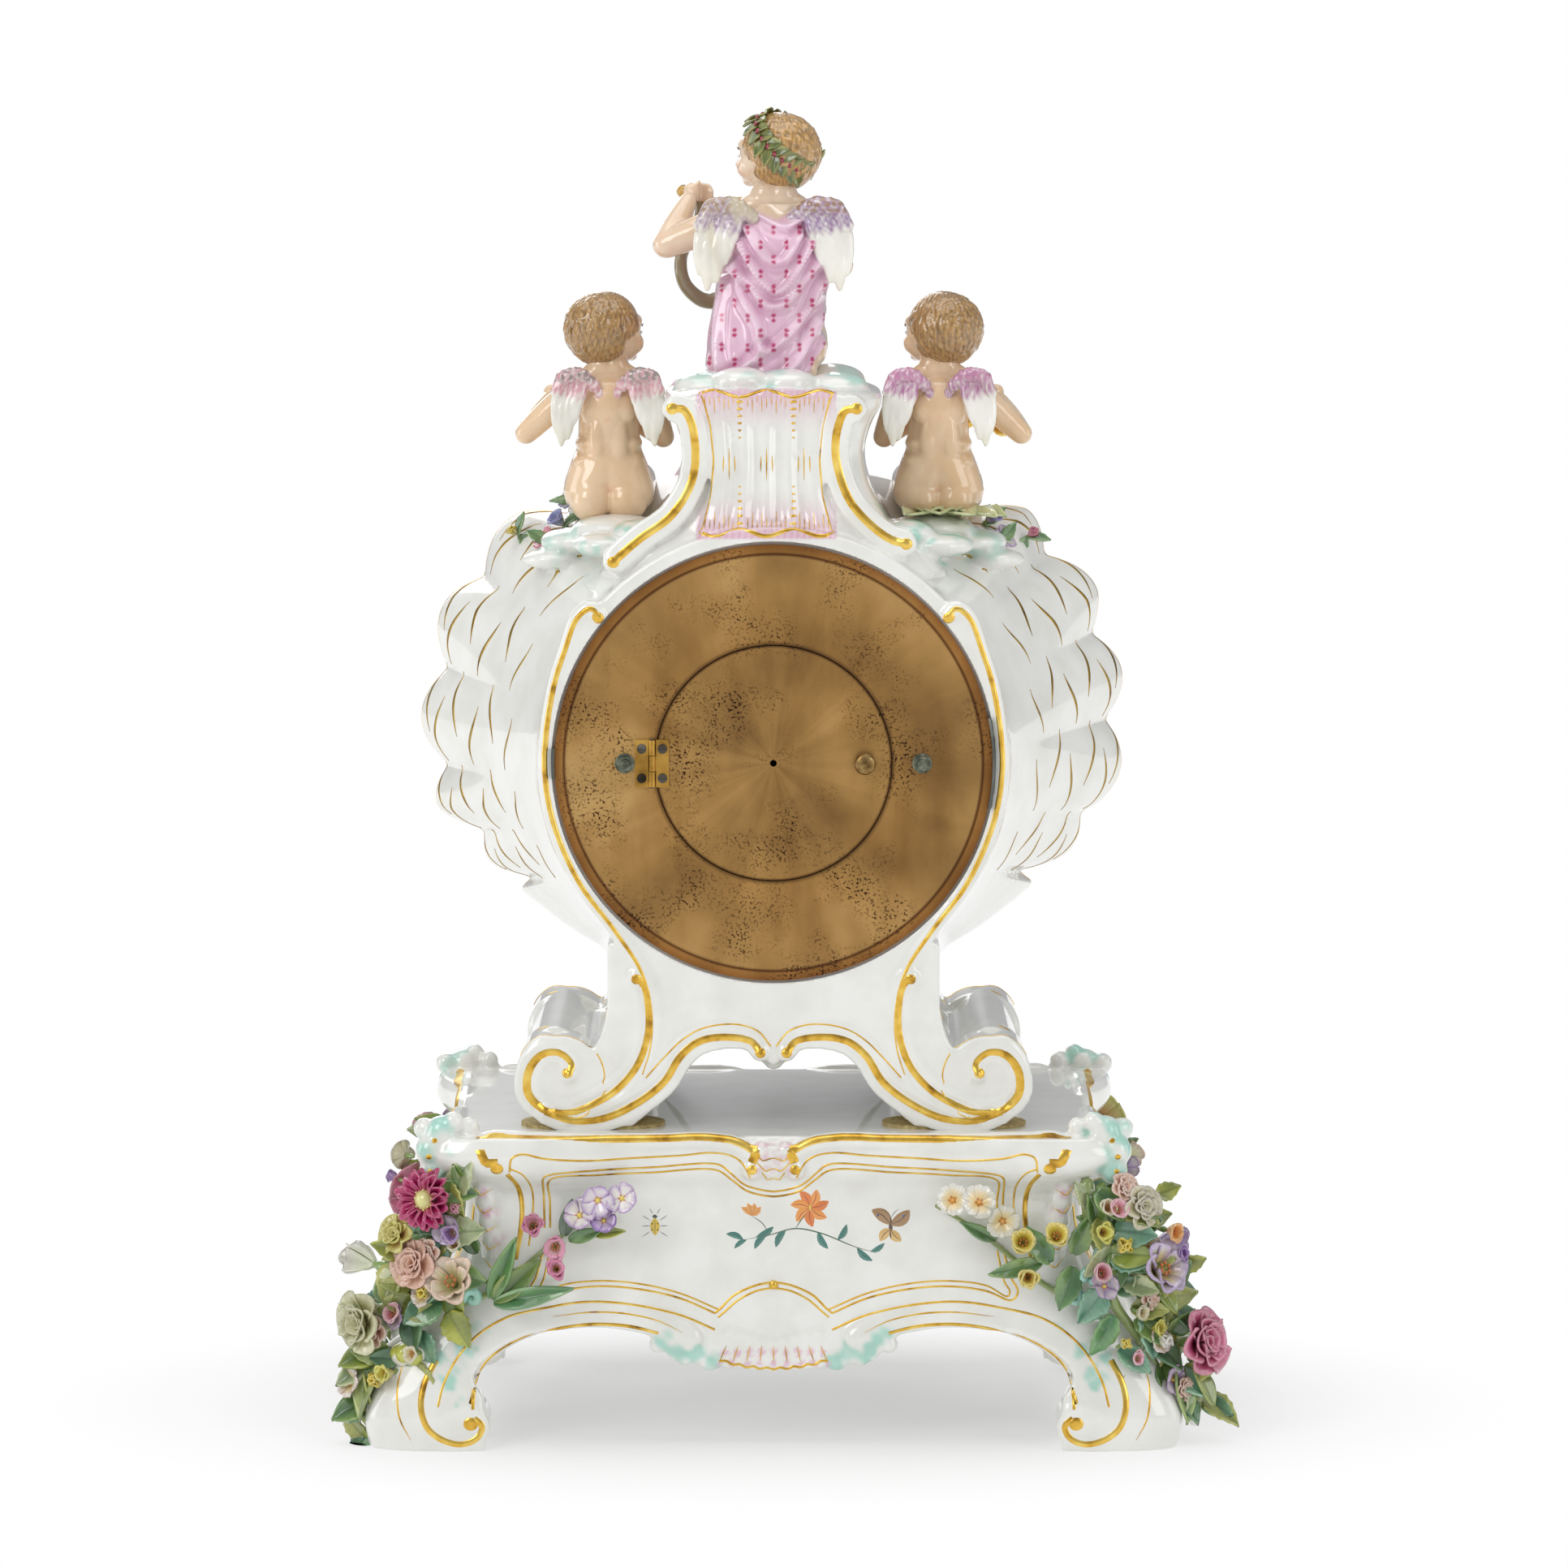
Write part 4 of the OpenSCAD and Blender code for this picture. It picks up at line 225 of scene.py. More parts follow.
def between(front, back):
    """Closed solid between two grids of points."""
    m, k, _ = front.shape
    n = m * k
    faces = grid_faces(m, k, False)
    faces += [[a + n for a in face[::-1]] for face in faces]
    rim = list(range(k)) + [r * k + k - 1 for r in range(1, m)]
    rim += [(m - 1) * k + c for c in range(k - 2, -1, -1)] + [r * k for r in range(m - 2, 0, -1)]
    faces += [[a, a + n, b + n, b] for a, b in zip(rim, rim[1:] + rim[:1])]
    return np.vstack([front.reshape(-1, 3), back.reshape(-1, 3)]), faces


def tube(path, radius, sides=12, flat=1.0, up=None):
    """Round or flattened bar along a path with rounded ends. up is the direction that flat squeezes."""
    path = np.asarray(path, float)
    r = np.broadcast_to(np.asarray(radius, float), (len(path),))
    t = unit(np.gradient(path, axis=0))
    steps = np.radians([80, 50, 25])
    head = path[0] - t[0] * (r[0] * np.sin(steps))[:, None]
    tail = path[-1] + t[-1] * (r[-1] * np.sin(steps[::-1]))[:, None]
    path = np.vstack([head, path, tail])
    t = np.vstack([np.repeat(t[:1], 3, 0), t, np.repeat(t[-1:], 3, 0)])
    r = np.r_[r[0] * np.cos(steps), r, r[-1] * np.cos(steps[::-1])]
    if up is None:
        side = np.empty_like(t)
        last = unit(np.cross(t[0], (0.13, 0.31, 0.94)))
        for k, along in enumerate(t):
            last = unit(last - along * np.dot(last, along))
            side[k] = last
    else:
        side = unit(np.cross(t, np.asarray(up, float)))
    top = np.cross(side, t)
    a = circle(sides)
    return loft(path[:, None, :] + side[:, None, :] * (r[:, None] * np.cos(a))[..., None]
                + top[:, None, :] * (flat * r[:, None] * np.sin(a))[..., None])


def ball(centre, radii, turn=0.0, sides=24):
    """Ellipsoid with one radius or three, turned about Z by degrees."""
    a = circle(sides)
    b = np.radians(np.linspace(-86, 86, sides // 2))
    p = np.stack([np.cos(b)[:, None] * np.cos(a), np.cos(b)[:, None] * np.sin(a),
                  np.repeat(np.sin(b)[:, None], sides, 1)], axis=-1) * np.asarray(radii, float)
    c, s = math.cos(math.radians(turn)), math.sin(math.radians(turn))
    p = p @ np.array([[c, s, 0], [-s, c, 0], [0, 0, 1]])
    return loft(p + np.asarray(centre, float))


def extrude_y(outline, y0, y1):
    """Prism of an outline (x, z) along Y."""
    return loft([on_plane(outline, y0), on_plane(outline, y1)])


def extrude_x(outline, x0, x1):
    """Prism of an outline (y, z) along X."""
    return loft([across(outline, x0), across(outline, x1)])


def cylinder_y(r, y0, y1, x=0.0, z=DRUM_Z, sides=160):
    """Cylinder along Y, on the drum's axis unless told otherwise."""
    a = circle(sides)
    return extrude_y(np.stack([x + r * np.cos(a), z + r * np.sin(a)], axis=1), y0, y1)


# Blender meshes

def as_object(name, solids):
    """One object from a list of solids in millimetres."""
    verts, faces, n = [], [], 0
    for v, f in solids:
        verts.append(np.asarray(v, float))
        faces += [[k + n for k in face] for face in f]
        n += len(v)
    mesh = bpy.data.meshes.new(name)
    mesh.from_pydata((np.vstack(verts) * MM).tolist(), [], faces)
    obj = bpy.data.objects.new(name, mesh)
    bpy.context.scene.collection.objects.link(obj)
    return outward(obj)


def outward(obj):
    """Turns every closed shell's faces outwards."""
    bm = bmesh.new()
    bm.from_mesh(obj.data)
    bmesh.ops.recalc_face_normals(bm, faces=bm.faces)
    bm.to_mesh(obj.data)
    bm.free()
    return obj


def smooth(obj):
    obj.data.polygons.foreach_set("use_smooth", np.ones(len(obj.data.polygons), bool))
    return obj


def settle(obj):
    """Turns an object's modifiers into its mesh."""
    mesh = bpy.data.meshes.new_from_object(obj.evaluated_get(bpy.context.evaluated_depsgraph_get()))
    old = obj.data
    obj.modifiers.clear()
    obj.data = mesh
    bpy.data.meshes.remove(old)


def carve(obj, cutters):
    """Cuts closed solids out of an object."""
    tools = [as_object("cutter", [c]) for c in cutters]
    for tool in tools:
        cut = obj.modifiers.new("cut", "BOOLEAN")
        cut.operation = "DIFFERENCE"
        cut.solver = "MANIFOLD"
        cut.object = tool
    settle(obj)
    for tool in tools:
        bpy.data.objects.remove(tool)


def merge(target, others):
    """Puts the meshes of others into target."""
    bm = bmesh.new()
    for o in [target] + others:
        bm.from_mesh(o.data)
    bm.to_mesh(target.data)
    bm.free()
    for o in others:
        bpy.data.objects.remove(o)


def fuse(obj, voxel, rounds):
    """Melts overlapping solids into one skin and rounds its edges."""
    remesh = obj.modifiers.new("fuse", "REMESH")
    remesh.mode = "VOXEL"
    remesh.voxel_size = voxel * MM
    soft = obj.modifiers.new("soft", "SMOOTH")
    soft.factor = 0.5
    soft.iterations = rounds
    settle(obj)
    smooth(obj)


def vectors_of(obj, key):
    values = np.empty(len(obj.data.vertices) * 3, np.float32)
    obj.data.vertices.foreach_get(key, values)
    return values.reshape(-1, 3).astype(float)


def points_of(obj):
    return vectors_of(obj, "co") / MM


def set_points(obj, points):
    obj.data.vertices.foreach_set("co", (points * MM).astype(np.float32).ravel())
    obj.data.update()


def swell(obj, heights):
    """Moves every vertex out along its normal."""
    set_points(obj, points_of(obj) + vectors_of(obj, "normal") * heights[:, None])


# Painting on vertices

def wave_noise(p, size, seed):
    """Soft noise of features of about one size, from turned sine waves."""
    r = np.random.default_rng(seed)
    out = np.zeros(len(p))
    for _ in range(7):
        d = unit(r.normal(size=3)) * 2 * math.pi / (size * r.uniform(0.7, 1.6))
        out += np.sin(p @ d + r.uniform(0, 6.28))
    return out / 3.0


def near(p, path):
    """Distance of every point from a path's nearest point."""
    best = np.full(len(p), 1e9)
    for q in path:
        best = np.minimum(best, ((p - q) ** 2).sum(1))
    return np.sqrt(best)


def put_paint(obj, colours):
    """Stores a scene-linear colour for every vertex."""
    data = obj.data.color_attributes.new("paint", "FLOAT_COLOR", "POINT")
    data.data.foreach_set("color", np.c_[colours, np.ones(len(colours))].astype(np.float32).ravel())


class Paint:
    """Colour of every vertex of an object, laid on in washes."""

    def __init__(self, obj, base):
        self.obj = obj
        self.p = points_of(obj)
        self.c = np.repeat(linear(base)[None, :], len(self.p), 0)

    def wash(self, mask, colour):
        mask = np.clip(mask, 0, 1)[:, None]
        self.c = self.c * (1 - mask) + linear(colour) * mask

    def stroke(self, path, radius, colour, strength=1.0, soft=0.5, rough=0.25, seed=1):
        """Brush stroke along a path, watery at its edge."""
        path = np.asarray(path, float)
        low, high = path.min(0) - radius * 1.5, path.max(0) + radius * 1.5
        pick = np.flatnonzero(((self.p > low) & (self.p < high)).all(1))
        if len(pick) == 0:
            return
        q = self.p[pick]
        d = near(q, path) / radius + rough * wave_noise(q, radius * 0.9, seed)
        mask = np.clip((1 - d) / soft, 0, 1)
        mask = (strength * mask * mask * (3 - 2 * mask))[:, None]
        self.c[pick] = self.c[pick] * (1 - mask) + linear(colour) * mask

    def put(self):
        put_paint(self.obj, self.c)


# Materials

class Material:
    """A material and the wiring of its nodes."""

    def __init__(self, name):
        self.material = bpy.data.materials.new(name)
        self.material.use_nodes = True
        self.nodes = self.material.node_tree.nodes
        self.links = self.material.node_tree.links
        self.shader = self.nodes["Principled BSDF"]

    def feed(self, node, inputs):
        """Gives each input of a node its value or the socket that feeds it."""
        for key, value in inputs.items():
            if isinstance(value, bpy.types.NodeSocket):
                self.links.new(value, node.inputs[key])
            else:
                node.inputs[key].default_value = value

    def node(self, kind, inputs, out=0, **settings):
        """Adds a node and gives back one of its outputs."""
        node = self.nodes.new("ShaderNode" + kind)
        for key, value in settings.items():
            setattr(node, key, value)
        self.feed(node, inputs)
        return node.outputs[out]

    def place(self, scale=(1, 1, 1), move=(0, 0, 0)):
        where = self.node("TexCoord", {}, "Object")
        return self.node("Mapping", {"Vector": where, "Scale": scale, "Location": move})

    def noise(self, scale, detail=3.0, stretch=(1, 1, 1)):
        inputs = {"Vector": self.place(stretch), "Scale": scale, "Detail": detail}
        return self.node("TexNoise", inputs, "Fac")

    def ramp(self, value, *stops):
        """Colour of a value, by stops of place and colour."""
        ramp = self.nodes.new("ShaderNodeValToRGB")
        while len(ramp.color_ramp.elements) < len(stops):
            ramp.color_ramp.elements.new(0.5)
        for element, (at, colour) in zip(ramp.color_ramp.elements, stops):
            element.position = at
            element.color = (*linear(colour), 1.0)
        self.feed(ramp, {"Fac": value})
        return ramp.outputs["Color"]

    def multiply(self, factor, a, b):
        inputs = {"Factor": factor, "A": a, "B": b}
        return self.node("Mix", inputs, "Result", data_type="RGBA", blend_type="MULTIPLY")

    def finish(self, height, strength, distance, **inputs):
        """Sets the shader's inputs, written with underscores, and its bump in metres."""
        self.feed(self.shader, {key.replace("_", " "): value for key, value in inputs.items()})
        bump = {"Strength": strength, "Distance": distance, "Height": height}
        self.feed(self.shader, {"Normal": self.node("Bump", bump)})
        return self.material


def painted_glaze(name, wobble, soil):
    """Glazed porcelain whose colour is painted on its vertices."""
    m = Material(name)
    soiled = (1 - soil, 1 - soil * 1.05, 1 - soil * 1.3)
    tone = m.ramp(m.noise(55.0, 6.0), (0.25, soiled), (0.62, (1, 1, 1)))
    paint = m.node("Attribute", {}, "Color", attribute_name="paint")
    return m.finish(m.noise(70.0, 2.0), wobble, 0.001, Base_Color=m.multiply(1.0, paint, tone),
                    Roughness=0.30, IOR=1.5, Coat_Weight=1.0, Coat_Roughness=0.05, Coat_IOR=1.5)


def gilding(name, depth=1.0):
    """Burnished gold paint, worn brown in places; a lower depth is darker."""
    m = Material(name)
    tones = np.array([(0.60, 0.43, 0.16), (0.88, 0.70, 0.28), (0.97, 0.84, 0.44)]) * depth
    tone = m.ramp(m.noise(120.0, 8.0), *zip((0.28, 0.44, 0.68), tones))
    return m.finish(m.noise(900.0), 0.12, 0.0004, Base_Color=tone, Metallic=0.9, Roughness=0.30)


def metal(name, dark, mid, light, roughness, scale=60.0, metallic=1.0):
    """Metal with a patina in three tones."""
    m = Material(name)
    tone = m.ramp(m.noise(scale, 8.0), (0.30, dark), (0.50, mid), (0.72, light))
    return m.finish(m.noise(1400.0), 0.05, 0.0004, Base_Color=tone, Metallic=metallic, Roughness=roughness)


def ring_shade(m, place):
    """Painted shade in the gap round the door's edge and in the groove near the plate's rim, by the distance
    from the axis.
    """
    reach = m.node("VectorMath", {0: place}, "Value", operation="LENGTH")
    share = m.node("Math", {0: reach, 1: PLATE_R * MM}, operation="DIVIDE")
    door = DOOR_R / PLATE_R
    return m.ramp(share, (0.0, (1, 1, 1)), (door - 0.012, (0.97, 0.96, 0.93)), (door, (0.42, 0.34, 0.24)),
                  (door + 0.022, (0.96, 0.94, 0.9)), (0.945, (1, 1, 1)), (0.957, (0.46, 0.31, 0.20)),
                  (0.967, (0.90, 0.83, 0.74)), (1.0, (0.80, 0.68, 0.56)))


def sheen_rays(m, place):
    """Rays of painted sheen on a turned face, darker between them."""
    turned = m.node("Mapping", {"Vector": place, "Rotation": (math.radians(90), 0, 0)})
    angle = m.node("TexGradient", {"Vector": turned}, "Fac", gradient_type="RADIAL")
    rays = m.node("TexNoise", {"W": angle, "Scale": 16.0, "Detail": 5.0}, "Fac", noise_dimensions="1D")
    return m.ramp(rays, (0.35, (0.88, 0.86, 0.84)), (0.65, (1, 1, 1)))


def aged_brass():
    """Turned brass gone brown and gold, with smears and fine specks, rings of painted shade and rays of
    painted sheen.
    """
    m = Material("aged_brass")
    tone = m.ramp(m.noise(22.0, 9.0), (0.30, (0.57, 0.43, 0.25)), (0.46, (0.68, 0.53, 0.31)),
                  (0.58, (0.74, 0.58, 0.35)), (0.75, (0.82, 0.67, 0.43)))
    smears = m.ramp(m.noise(30.0, 6.0, (2.2, 1.0, 0.5)), (0.30, (0.72, 0.64, 0.50)), (0.52, (1, 1, 1)))
    colour = m.multiply(0.35, tone, smears)
    specks = m.ramp(m.noise(900.0, 4.0), (0.38, (0.36, 0.27, 0.17)), (0.46, (1, 1, 1)))
    patches = m.ramp(m.noise(40.0, 5.0), (0.46, (0, 0, 0)), (0.66, (1, 1, 1)))
    colour = m.multiply(patches, colour, specks)
    centred = m.place(move=(0, 0, -DRUM_Z * MM))
    place = m.node("VectorMath", {0: centred, 1: (1, 0, 1)}, operation="MULTIPLY")
    # Painted shade round the door and in the groove near the rim
    colour = m.multiply(1.0, colour, ring_shade(m, place))
    # Rays of painted sheen
    colour = m.multiply(0.8, colour, sheen_rays(m, place))
    tangent = m.node("Tangent", {}, direction_type="RADIAL", axis="Y")
    return m.finish(m.noise(1100.0, 4.0), 0.10, 0.0005, Base_Color=colour, Metallic=0.75, Roughness=0.40,
                    Anisotropic=0.5, Tangent=tangent)


def wax():
    m = Material("wax_bed")
    tone = m.ramp(m.noise(400.0, 5.0), (0.3, (0.55, 0.46, 0.26)), (0.7, (0.80, 0.72, 0.50)))
    m.feed(m.shader, {"Base Color": tone, "Roughness": 0.7})
    return m.material


def glass():
    m = Material("crystal")
    m.feed(m.shader, {"Base Color": (0.97, 0.99, 0.99, 1), "Roughness": 0.02, "IOR": 1.45,
                      "Transmission Weight": 1.0})
    return m.material


def enamel():
    m = Material("enamel")
    tone = m.ramp(m.noise(30.0, 4.0), (0.3, (0.93, 0.92, 0.87)), (0.7, (0.96, 0.955, 0.92)))
    m.feed(m.shader, {"Base Color": tone, "Roughness": 0.12, "Coat Weight": 0.6})
    return m.material


PORCELAIN = painted_glaze("porcelain", 0.14, 0.05)
FIGURE = painted_glaze("bisque_figure", 0.06, 0.08)
FLOWERS = painted_glaze("applied_flowers", 0.10, 0.14)
CLOTH = painted_glaze("painted_cloth", 0.08, 0.06)
GOLD = gilding("gilding")
STROKE_GOLD = gilding("stroke_gilding", 0.72)
BRASS = aged_brass()


def finish_piece(obj, slot, material, *replaced):
    """Gives a piece its material and its body, and hides the CAD nodes it stands for."""
    obj.data.materials.clear()
    obj.data.materials.append(material)
    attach(obj, CASE)
    if replaced:
        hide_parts(*replaced)


class Gilder:
    """Lays gold lines and spots on a surface."""

    def __init__(self, obj):
        self.tree = BVHTree.FromObject(obj, bpy.context.evaluated_depsgraph_get())
        self.solids = []

    def hit(self, p, ray=None):
        """Place and normal on the surface, in millimetres, seen along ray or nearest."""
        place = None
        if ray is not None:
            r = Vector(ray).normalized()
            place, normal, _, _ = self.tree.ray_cast(Vector(p * MM) - r * 0.3, r)
        if place is None:
            place, normal, _, _ = self.tree.find_nearest(Vector(p * MM))
        return np.array(place) / MM, np.array(normal)

    def line(self, path, width, ray=None, lift=0.22, taper=False):
        """Gold line along a path, of one width or of several along it."""
        path = np.asarray(path, float)
        length = np.linalg.norm(np.diff(path, axis=0), axis=1).sum()
        path = walk(path, max(4, int(length / 1.3)))
        n = len(path)
        w = spread(np.atleast_1d(width), n)
        if taper:
            w = w * np.maximum(0.12, np.sin(np.linspace(0, math.pi, n)) ** 0.7)
        places, normals = map(np.array, zip(*[self.hit(p, ray) for p in path]))
        side = unit(np.cross(unit(np.gradient(places, axis=0)), normals))
        rows = []
        for k in (-1.0, -0.8, 0.0, 0.8, 1.0):
            height = lift * (1 - 0.8 * k * k) if abs(k) < 1 else -0.12
            hits = [self.hit(q) for q in places + side * (w * 0.5 * k)[:, None]]
            rows.append(np.array([a + b * height for a, b in hits]))
        self.solids.append((np.stack(rows, axis=1).reshape(-1, 3), grid_faces(n, 5, False)))

    def spot(self, centre, long, wide, angle, ray, lift=0.2):
        """Gold oval; angle in degrees from +X in the plane facing the ray."""
        place, normal = self.hit(np.asarray(centre, float), ray)
        level = unit(np.cross((0, 0, 1.0), normal)) if abs(normal[2]) < 0.95 else np.array((1.0, 0, 0))
        rise = np.cross(normal, level)
        c, s = math.cos(math.radians(angle)), math.sin(math.radians(angle))
        u, v = level * c + rise * s, rise * c - level * s
        t = circle(16)[:, None]
        rings = []
        for k, h in ((1.0, -0.12), (0.85, lift * 0.7), (0.4, lift)):
            q = place + k * (u * long * 0.5 * np.cos(t) + v * wide * 0.5 * np.sin(t))
            rings.append(np.array([a + b * h for a, b in (self.hit(x) for x in q)]))
        verts, faces = loft(rings)
        self.solids.append((verts, faces[:-2] + faces[-1:]))

    def finish(self, name, material=GOLD):
        finish_piece(smooth(as_object(name, self.solids)), "porcelain", material)


# Stand

STAND_HALF_W = 148.0
STAND_HALF_D = 100.0
STAND_WALL = 8.0
ARCH_H = 53.0
EDGE_R = 4.3
EDGE_Y = 98.5
PLAN_POWER = 6
# Gold lines are laid on this much wider than STAND_LINES says
LINE_GAIN = 1.3
# Share of height, share of half width, share of half depth, corner reach in x and in y
STAND_SHARES = np.array([
    [0, 0.90, 0.99, 0.46, 0.20], [0.10, 0.91, 0.99, 0.46, 0.20], [0.26, 0.91, 0.975, 0.37, 0.17],
    [0.42, 0.90, 0.96, 0.25, 0.13], [0.58, 0.885, 0.95, 0.15, 0.11], [0.74, 0.875, 0.94, 0.12, 0.10],
    [0.83, 0.885, 0.95, 0.13, 0.11], [0.88, 0.94, 0.985, 0.17, 0.16], [0.94, 0.965, 1.0, 0.18, 0.18],
    [1, 0.955, 0.985, 0.17, 0.17]])
ARCH_SHARES = np.array([
    [1.0, -0.1], [1.0, 0.3], [1.01, 0.46], [1.04, 0.60], [1.0, 0.76], [0.87, 0.94], [0.70, 1.0],
    [0.58, 1.0], [0.46, 0.95], [0.40, 0.92], [0.35, 0.71], [0.30, 0.76], [0.26, 0.82], [0.19, 0.67],
    [0.09, 0.64], [0, 0.62]])
# Bars of the top edge, aprons and the foot's scroll: (x, z) on the left half of the back, (y, z) on a side
TOP_BAR = [(121.5, 126.5), (127, 127), (130, 132), (126, 137), (112, 137), (80, 136.2), (50, 136.4),
           (28, 136.8), (15, 134.5), (8, 129), (9.5, 124.5)]
SIDE_BAR = [(86, 124.5), (91, 128), (91, 134), (84, 137), (60, 136.5), (30, 136.5), (14, 134.5), (8, 129),
            (10.5, 125)]
APRON = [(141, 15), (142, 24), (138, 34), (129, 44), (118, 51), (106, 56), (92, 59), (79, 60), (64, 58.5),
         (50, 54), (38, 48)]
SIDE_APRON = [(186, 84, 12), (180, 80, 30), (163, 74, 44), (142, 66, 54), (134, 52, 59), (132, 38, 60),
              (132, 24, 56), (132, 14, 49)]
FOOT_SCROLL = [(149, 40), (154, 30), (155.5, 20), (152.5, 10.5), (145.5, 5.2), (137, 3.6), (130.5, 6.5),
               (128.5, 11.5)]
# Balls melted into rocaille at the corners, x, y, z, radius, and into leaf scrolls below, x, z, radius
CORNER_BALLS = [(146, 99, 141, 7.5), (151, 101, 133, 7.0), (150, 101, 124, 6.2), (141, 101, 146, 4.6),
                (134, 98, 143, 4.5), (154, 96, 142, 5.0)]
LEAF_BALLS = [(47, 49, 5.2), (43, 43.5, 4.4), (51, 45, 3.8), (34, 41, 4.6), (28, 37.5, 4.2), (39, 38.5, 3.0)]
# Washes on one corner: path, radius, colour, strength
STAND_WASHES = [
    ([(147, 100, 143), (151, 101, 134), (150, 101, 122)], 10, MINT, 0.9),
    ([(148, 107, 42), (143, 106, 30), (140, 106, 20)], 5.0, MINT, 0.85),
    ([(128, 100, 55), (136, 103, 45), (140, 104, 34)], 5.5, MINT, 0.75),
    ([(172, 112, 44), (180, 114, 26), (182, 114, 12)], 8.5, MINT, 0.75),
    ([(100, 96, 57), (116, 97, 52)], 4.0, MINT, 0.45),
    ([(47, 97, 50), (43, 97, 43)], 6.5, MINT, 0.9),
    ([(34, 97, 41), (27, 97, 37)], 6.5, MINT, 0.85),
    ([(186, 80, 20), (176, 76, 34)], 6.0, MINT, 0.7),
    ([(128, 98, 118), (126, 97, 104), (124, 96, 92)], 5.0, PINK, 0.5)]
# Gold lines on the left half of back and front, (x, z): points, width, tapered or not
STAND_LINES = [
    ([(116, 124.5), (115, 130.8), (110.5, 132.6), (101, 130.5), (83, 129), (65, 129.6), (41, 130.6),
      (26, 131.8), (17.5, 130), (12.8, 126), (10.2, 121)], 0.8, False),
    ([(101, 98), (101.3, 112), (101.2, 121.6), (98.8, 122.8), (77, 124.5), (53, 125.4), (24, 126.4),
      (19.3, 122.8), (12.7, 116.8), (5, 114.2), (0, 113.5)], 0.8, False),
    ([(98.6, 98), (98.6, 110), (98.6, 120.2), (77, 122.2), (53, 123.0), (24.8, 123.8), (18.4, 119.2),
      (12, 114), (5, 111.8), (0, 111.2)], 0.8, False),
    ([(117, 123.5), (113.2, 118), (111, 108), (111.8, 95.5), (114, 84)], 1.9, False),
    ([(115.5, 126), (110.7, 123.6), (107.2, 118), (106, 110.5), (106.6, 102), (108, 90)], 0.7, False),
    ([(101, 90), (105, 76), (108, 70), (105.3, 66), (94, 70), (77, 71.8), (59.3, 70.2), (41.4, 66),
      (25.9, 59.3)], 0.8, False),
    ([(98.8, 88), (102, 74), (104.4, 70.2), (103.5, 67.6), (94, 72.4), (77, 74.2), (59.3, 72.6),
      (41.4, 68.2), (24.5, 61)], 0.7, False),
    ([(25.9, 59.3), (23.5, 61.3), (17.5, 67.2), (8, 71.6), (0, 73.2)], 0.9, False),
    ([(24.5, 57.5), (21.5, 60), (15.8, 65), (7.5, 69.2), (0, 70.6)], 0.8, False),
    ([(148, 20), (145.4, 30), (139.4, 41.3), (131, 50.6), (118, 58.5), (101, 62.6), (83, 65), (65, 63.8),
      (41.4, 58.6), (26, 52)], 0.9, False),
    ([(132.6, 19), (132, 26.5), (128.4, 36.5), (121, 43.5), (108, 50), (94, 53.6), (79.6, 55), (65, 54),
      (51, 50.8)], 1.3, False),
    ([(97.6, 58.8), (79.6, 60.4), (65, 59.4), (51, 56.4), (40.2, 51.4)], 0.7, True),
    (FOOT_SCROLL + [(132, 15)], 2.4, False),
    ([(163, 40), (166, 28), (165, 15), (160, 5)], 0.8, True)]
# Gold lines on one half of a side, (y, z): points, width
SIDE_LINES = [
    ([(100, 124.5), (91, 118), (88, 100), (84, 80)], 1.8),
    ([(78, 120), (50, 122), (22, 123), (12, 116), (0, 113)], 0.8),
    ([(78, 120), (77, 100), (80, 74), (60, 74), (40, 71), (22, 62), (12, 68), (0, 72)], 0.8),
    ([(75.5, 117.5), (50, 119.5), (23, 120.5), (12, 113.5), (0, 110.5)], 0.8),
    ([(75.5, 117.5), (75, 100), (77, 77), (60, 77), (40, 74), (21, 66)], 0.7),
    ([(84, 22), (78, 38), (66, 47), (52, 53), (38, 54.5), (24, 50)], 1.2),
    ([(92, 24), (86, 42), (74, 56), (58, 64), (38, 66), (22, 59)], 0.9)]
CORNERS = [(sx, sy) for sy in (1, -1) for sx in (1, -1)]


def stand_rings(shares, angles, inset):
    a = angles[None, :]
    plan = (np.abs(np.cos(a)) ** PLAN_POWER + np.abs(np.sin(a)) ** PLAN_POWER) ** (-1 / PLAN_POWER)
    corner = hump(np.degrees(a) % 90, 45, 15)
    s = shares[:, :, None]
    x = (STAND_HALF_W * s[:, 1] - inset) * plan * np.cos(a) * (1 + s[:, 3] * corner)
    y = (STAND_HALF_D * s[:, 2] - inset) * plan * np.sin(a) * (1 + s[:, 4] * corner)
    return np.stack([x, y, np.broadcast_to(STAND_H * s[:, 0], x.shape)], axis=-1)


def arch_outline(half_span):
    half = curve(ARCH_SHARES * (half_span, ARCH_H), 90)
    return np.vstack([half, half[-2::-1] * (-1, 1)])


def stand_shell():
    """Hollow plinth with an arch through both ways."""
    angles = circle(600)
    heights = np.linspace(0, 1, 90)
    shares = np.c_[heights, hermite(STAND_SHARES[:, 0], STAND_SHARES[:, 1:], heights)]
    body = as_object("stand_porcelain", [loft(stand_rings(shares, angles, 0))])
    inner = np.array([STAND_SHARES[0] - (0.05, 0, 0, 0, 0), STAND_SHARES[3], STAND_SHARES[6],
                      STAND_SHARES[9] - (STAND_WALL / STAND_H, 0, 0, 0, 0)])
    carve(body, [loft(stand_rings(inner, angles[::4], STAND_WALL)),
                 extrude_y(arch_outline(STAND_HALF_W * 0.86), -2 * STAND_HALF_D, 2 * STAND_HALF_D),
                 extrude_x(arch_outline(STAND_HALF_D * 0.72), -2 * STAND_HALF_W, 2 * STAND_HALF_W)])
    return body


def side_bar(sx, sy, count):
    """Bar along the top edge of one side, ending in a curl."""
    return curve([(sx * 142, sy * y, z) for y, z in SIDE_BAR], count)


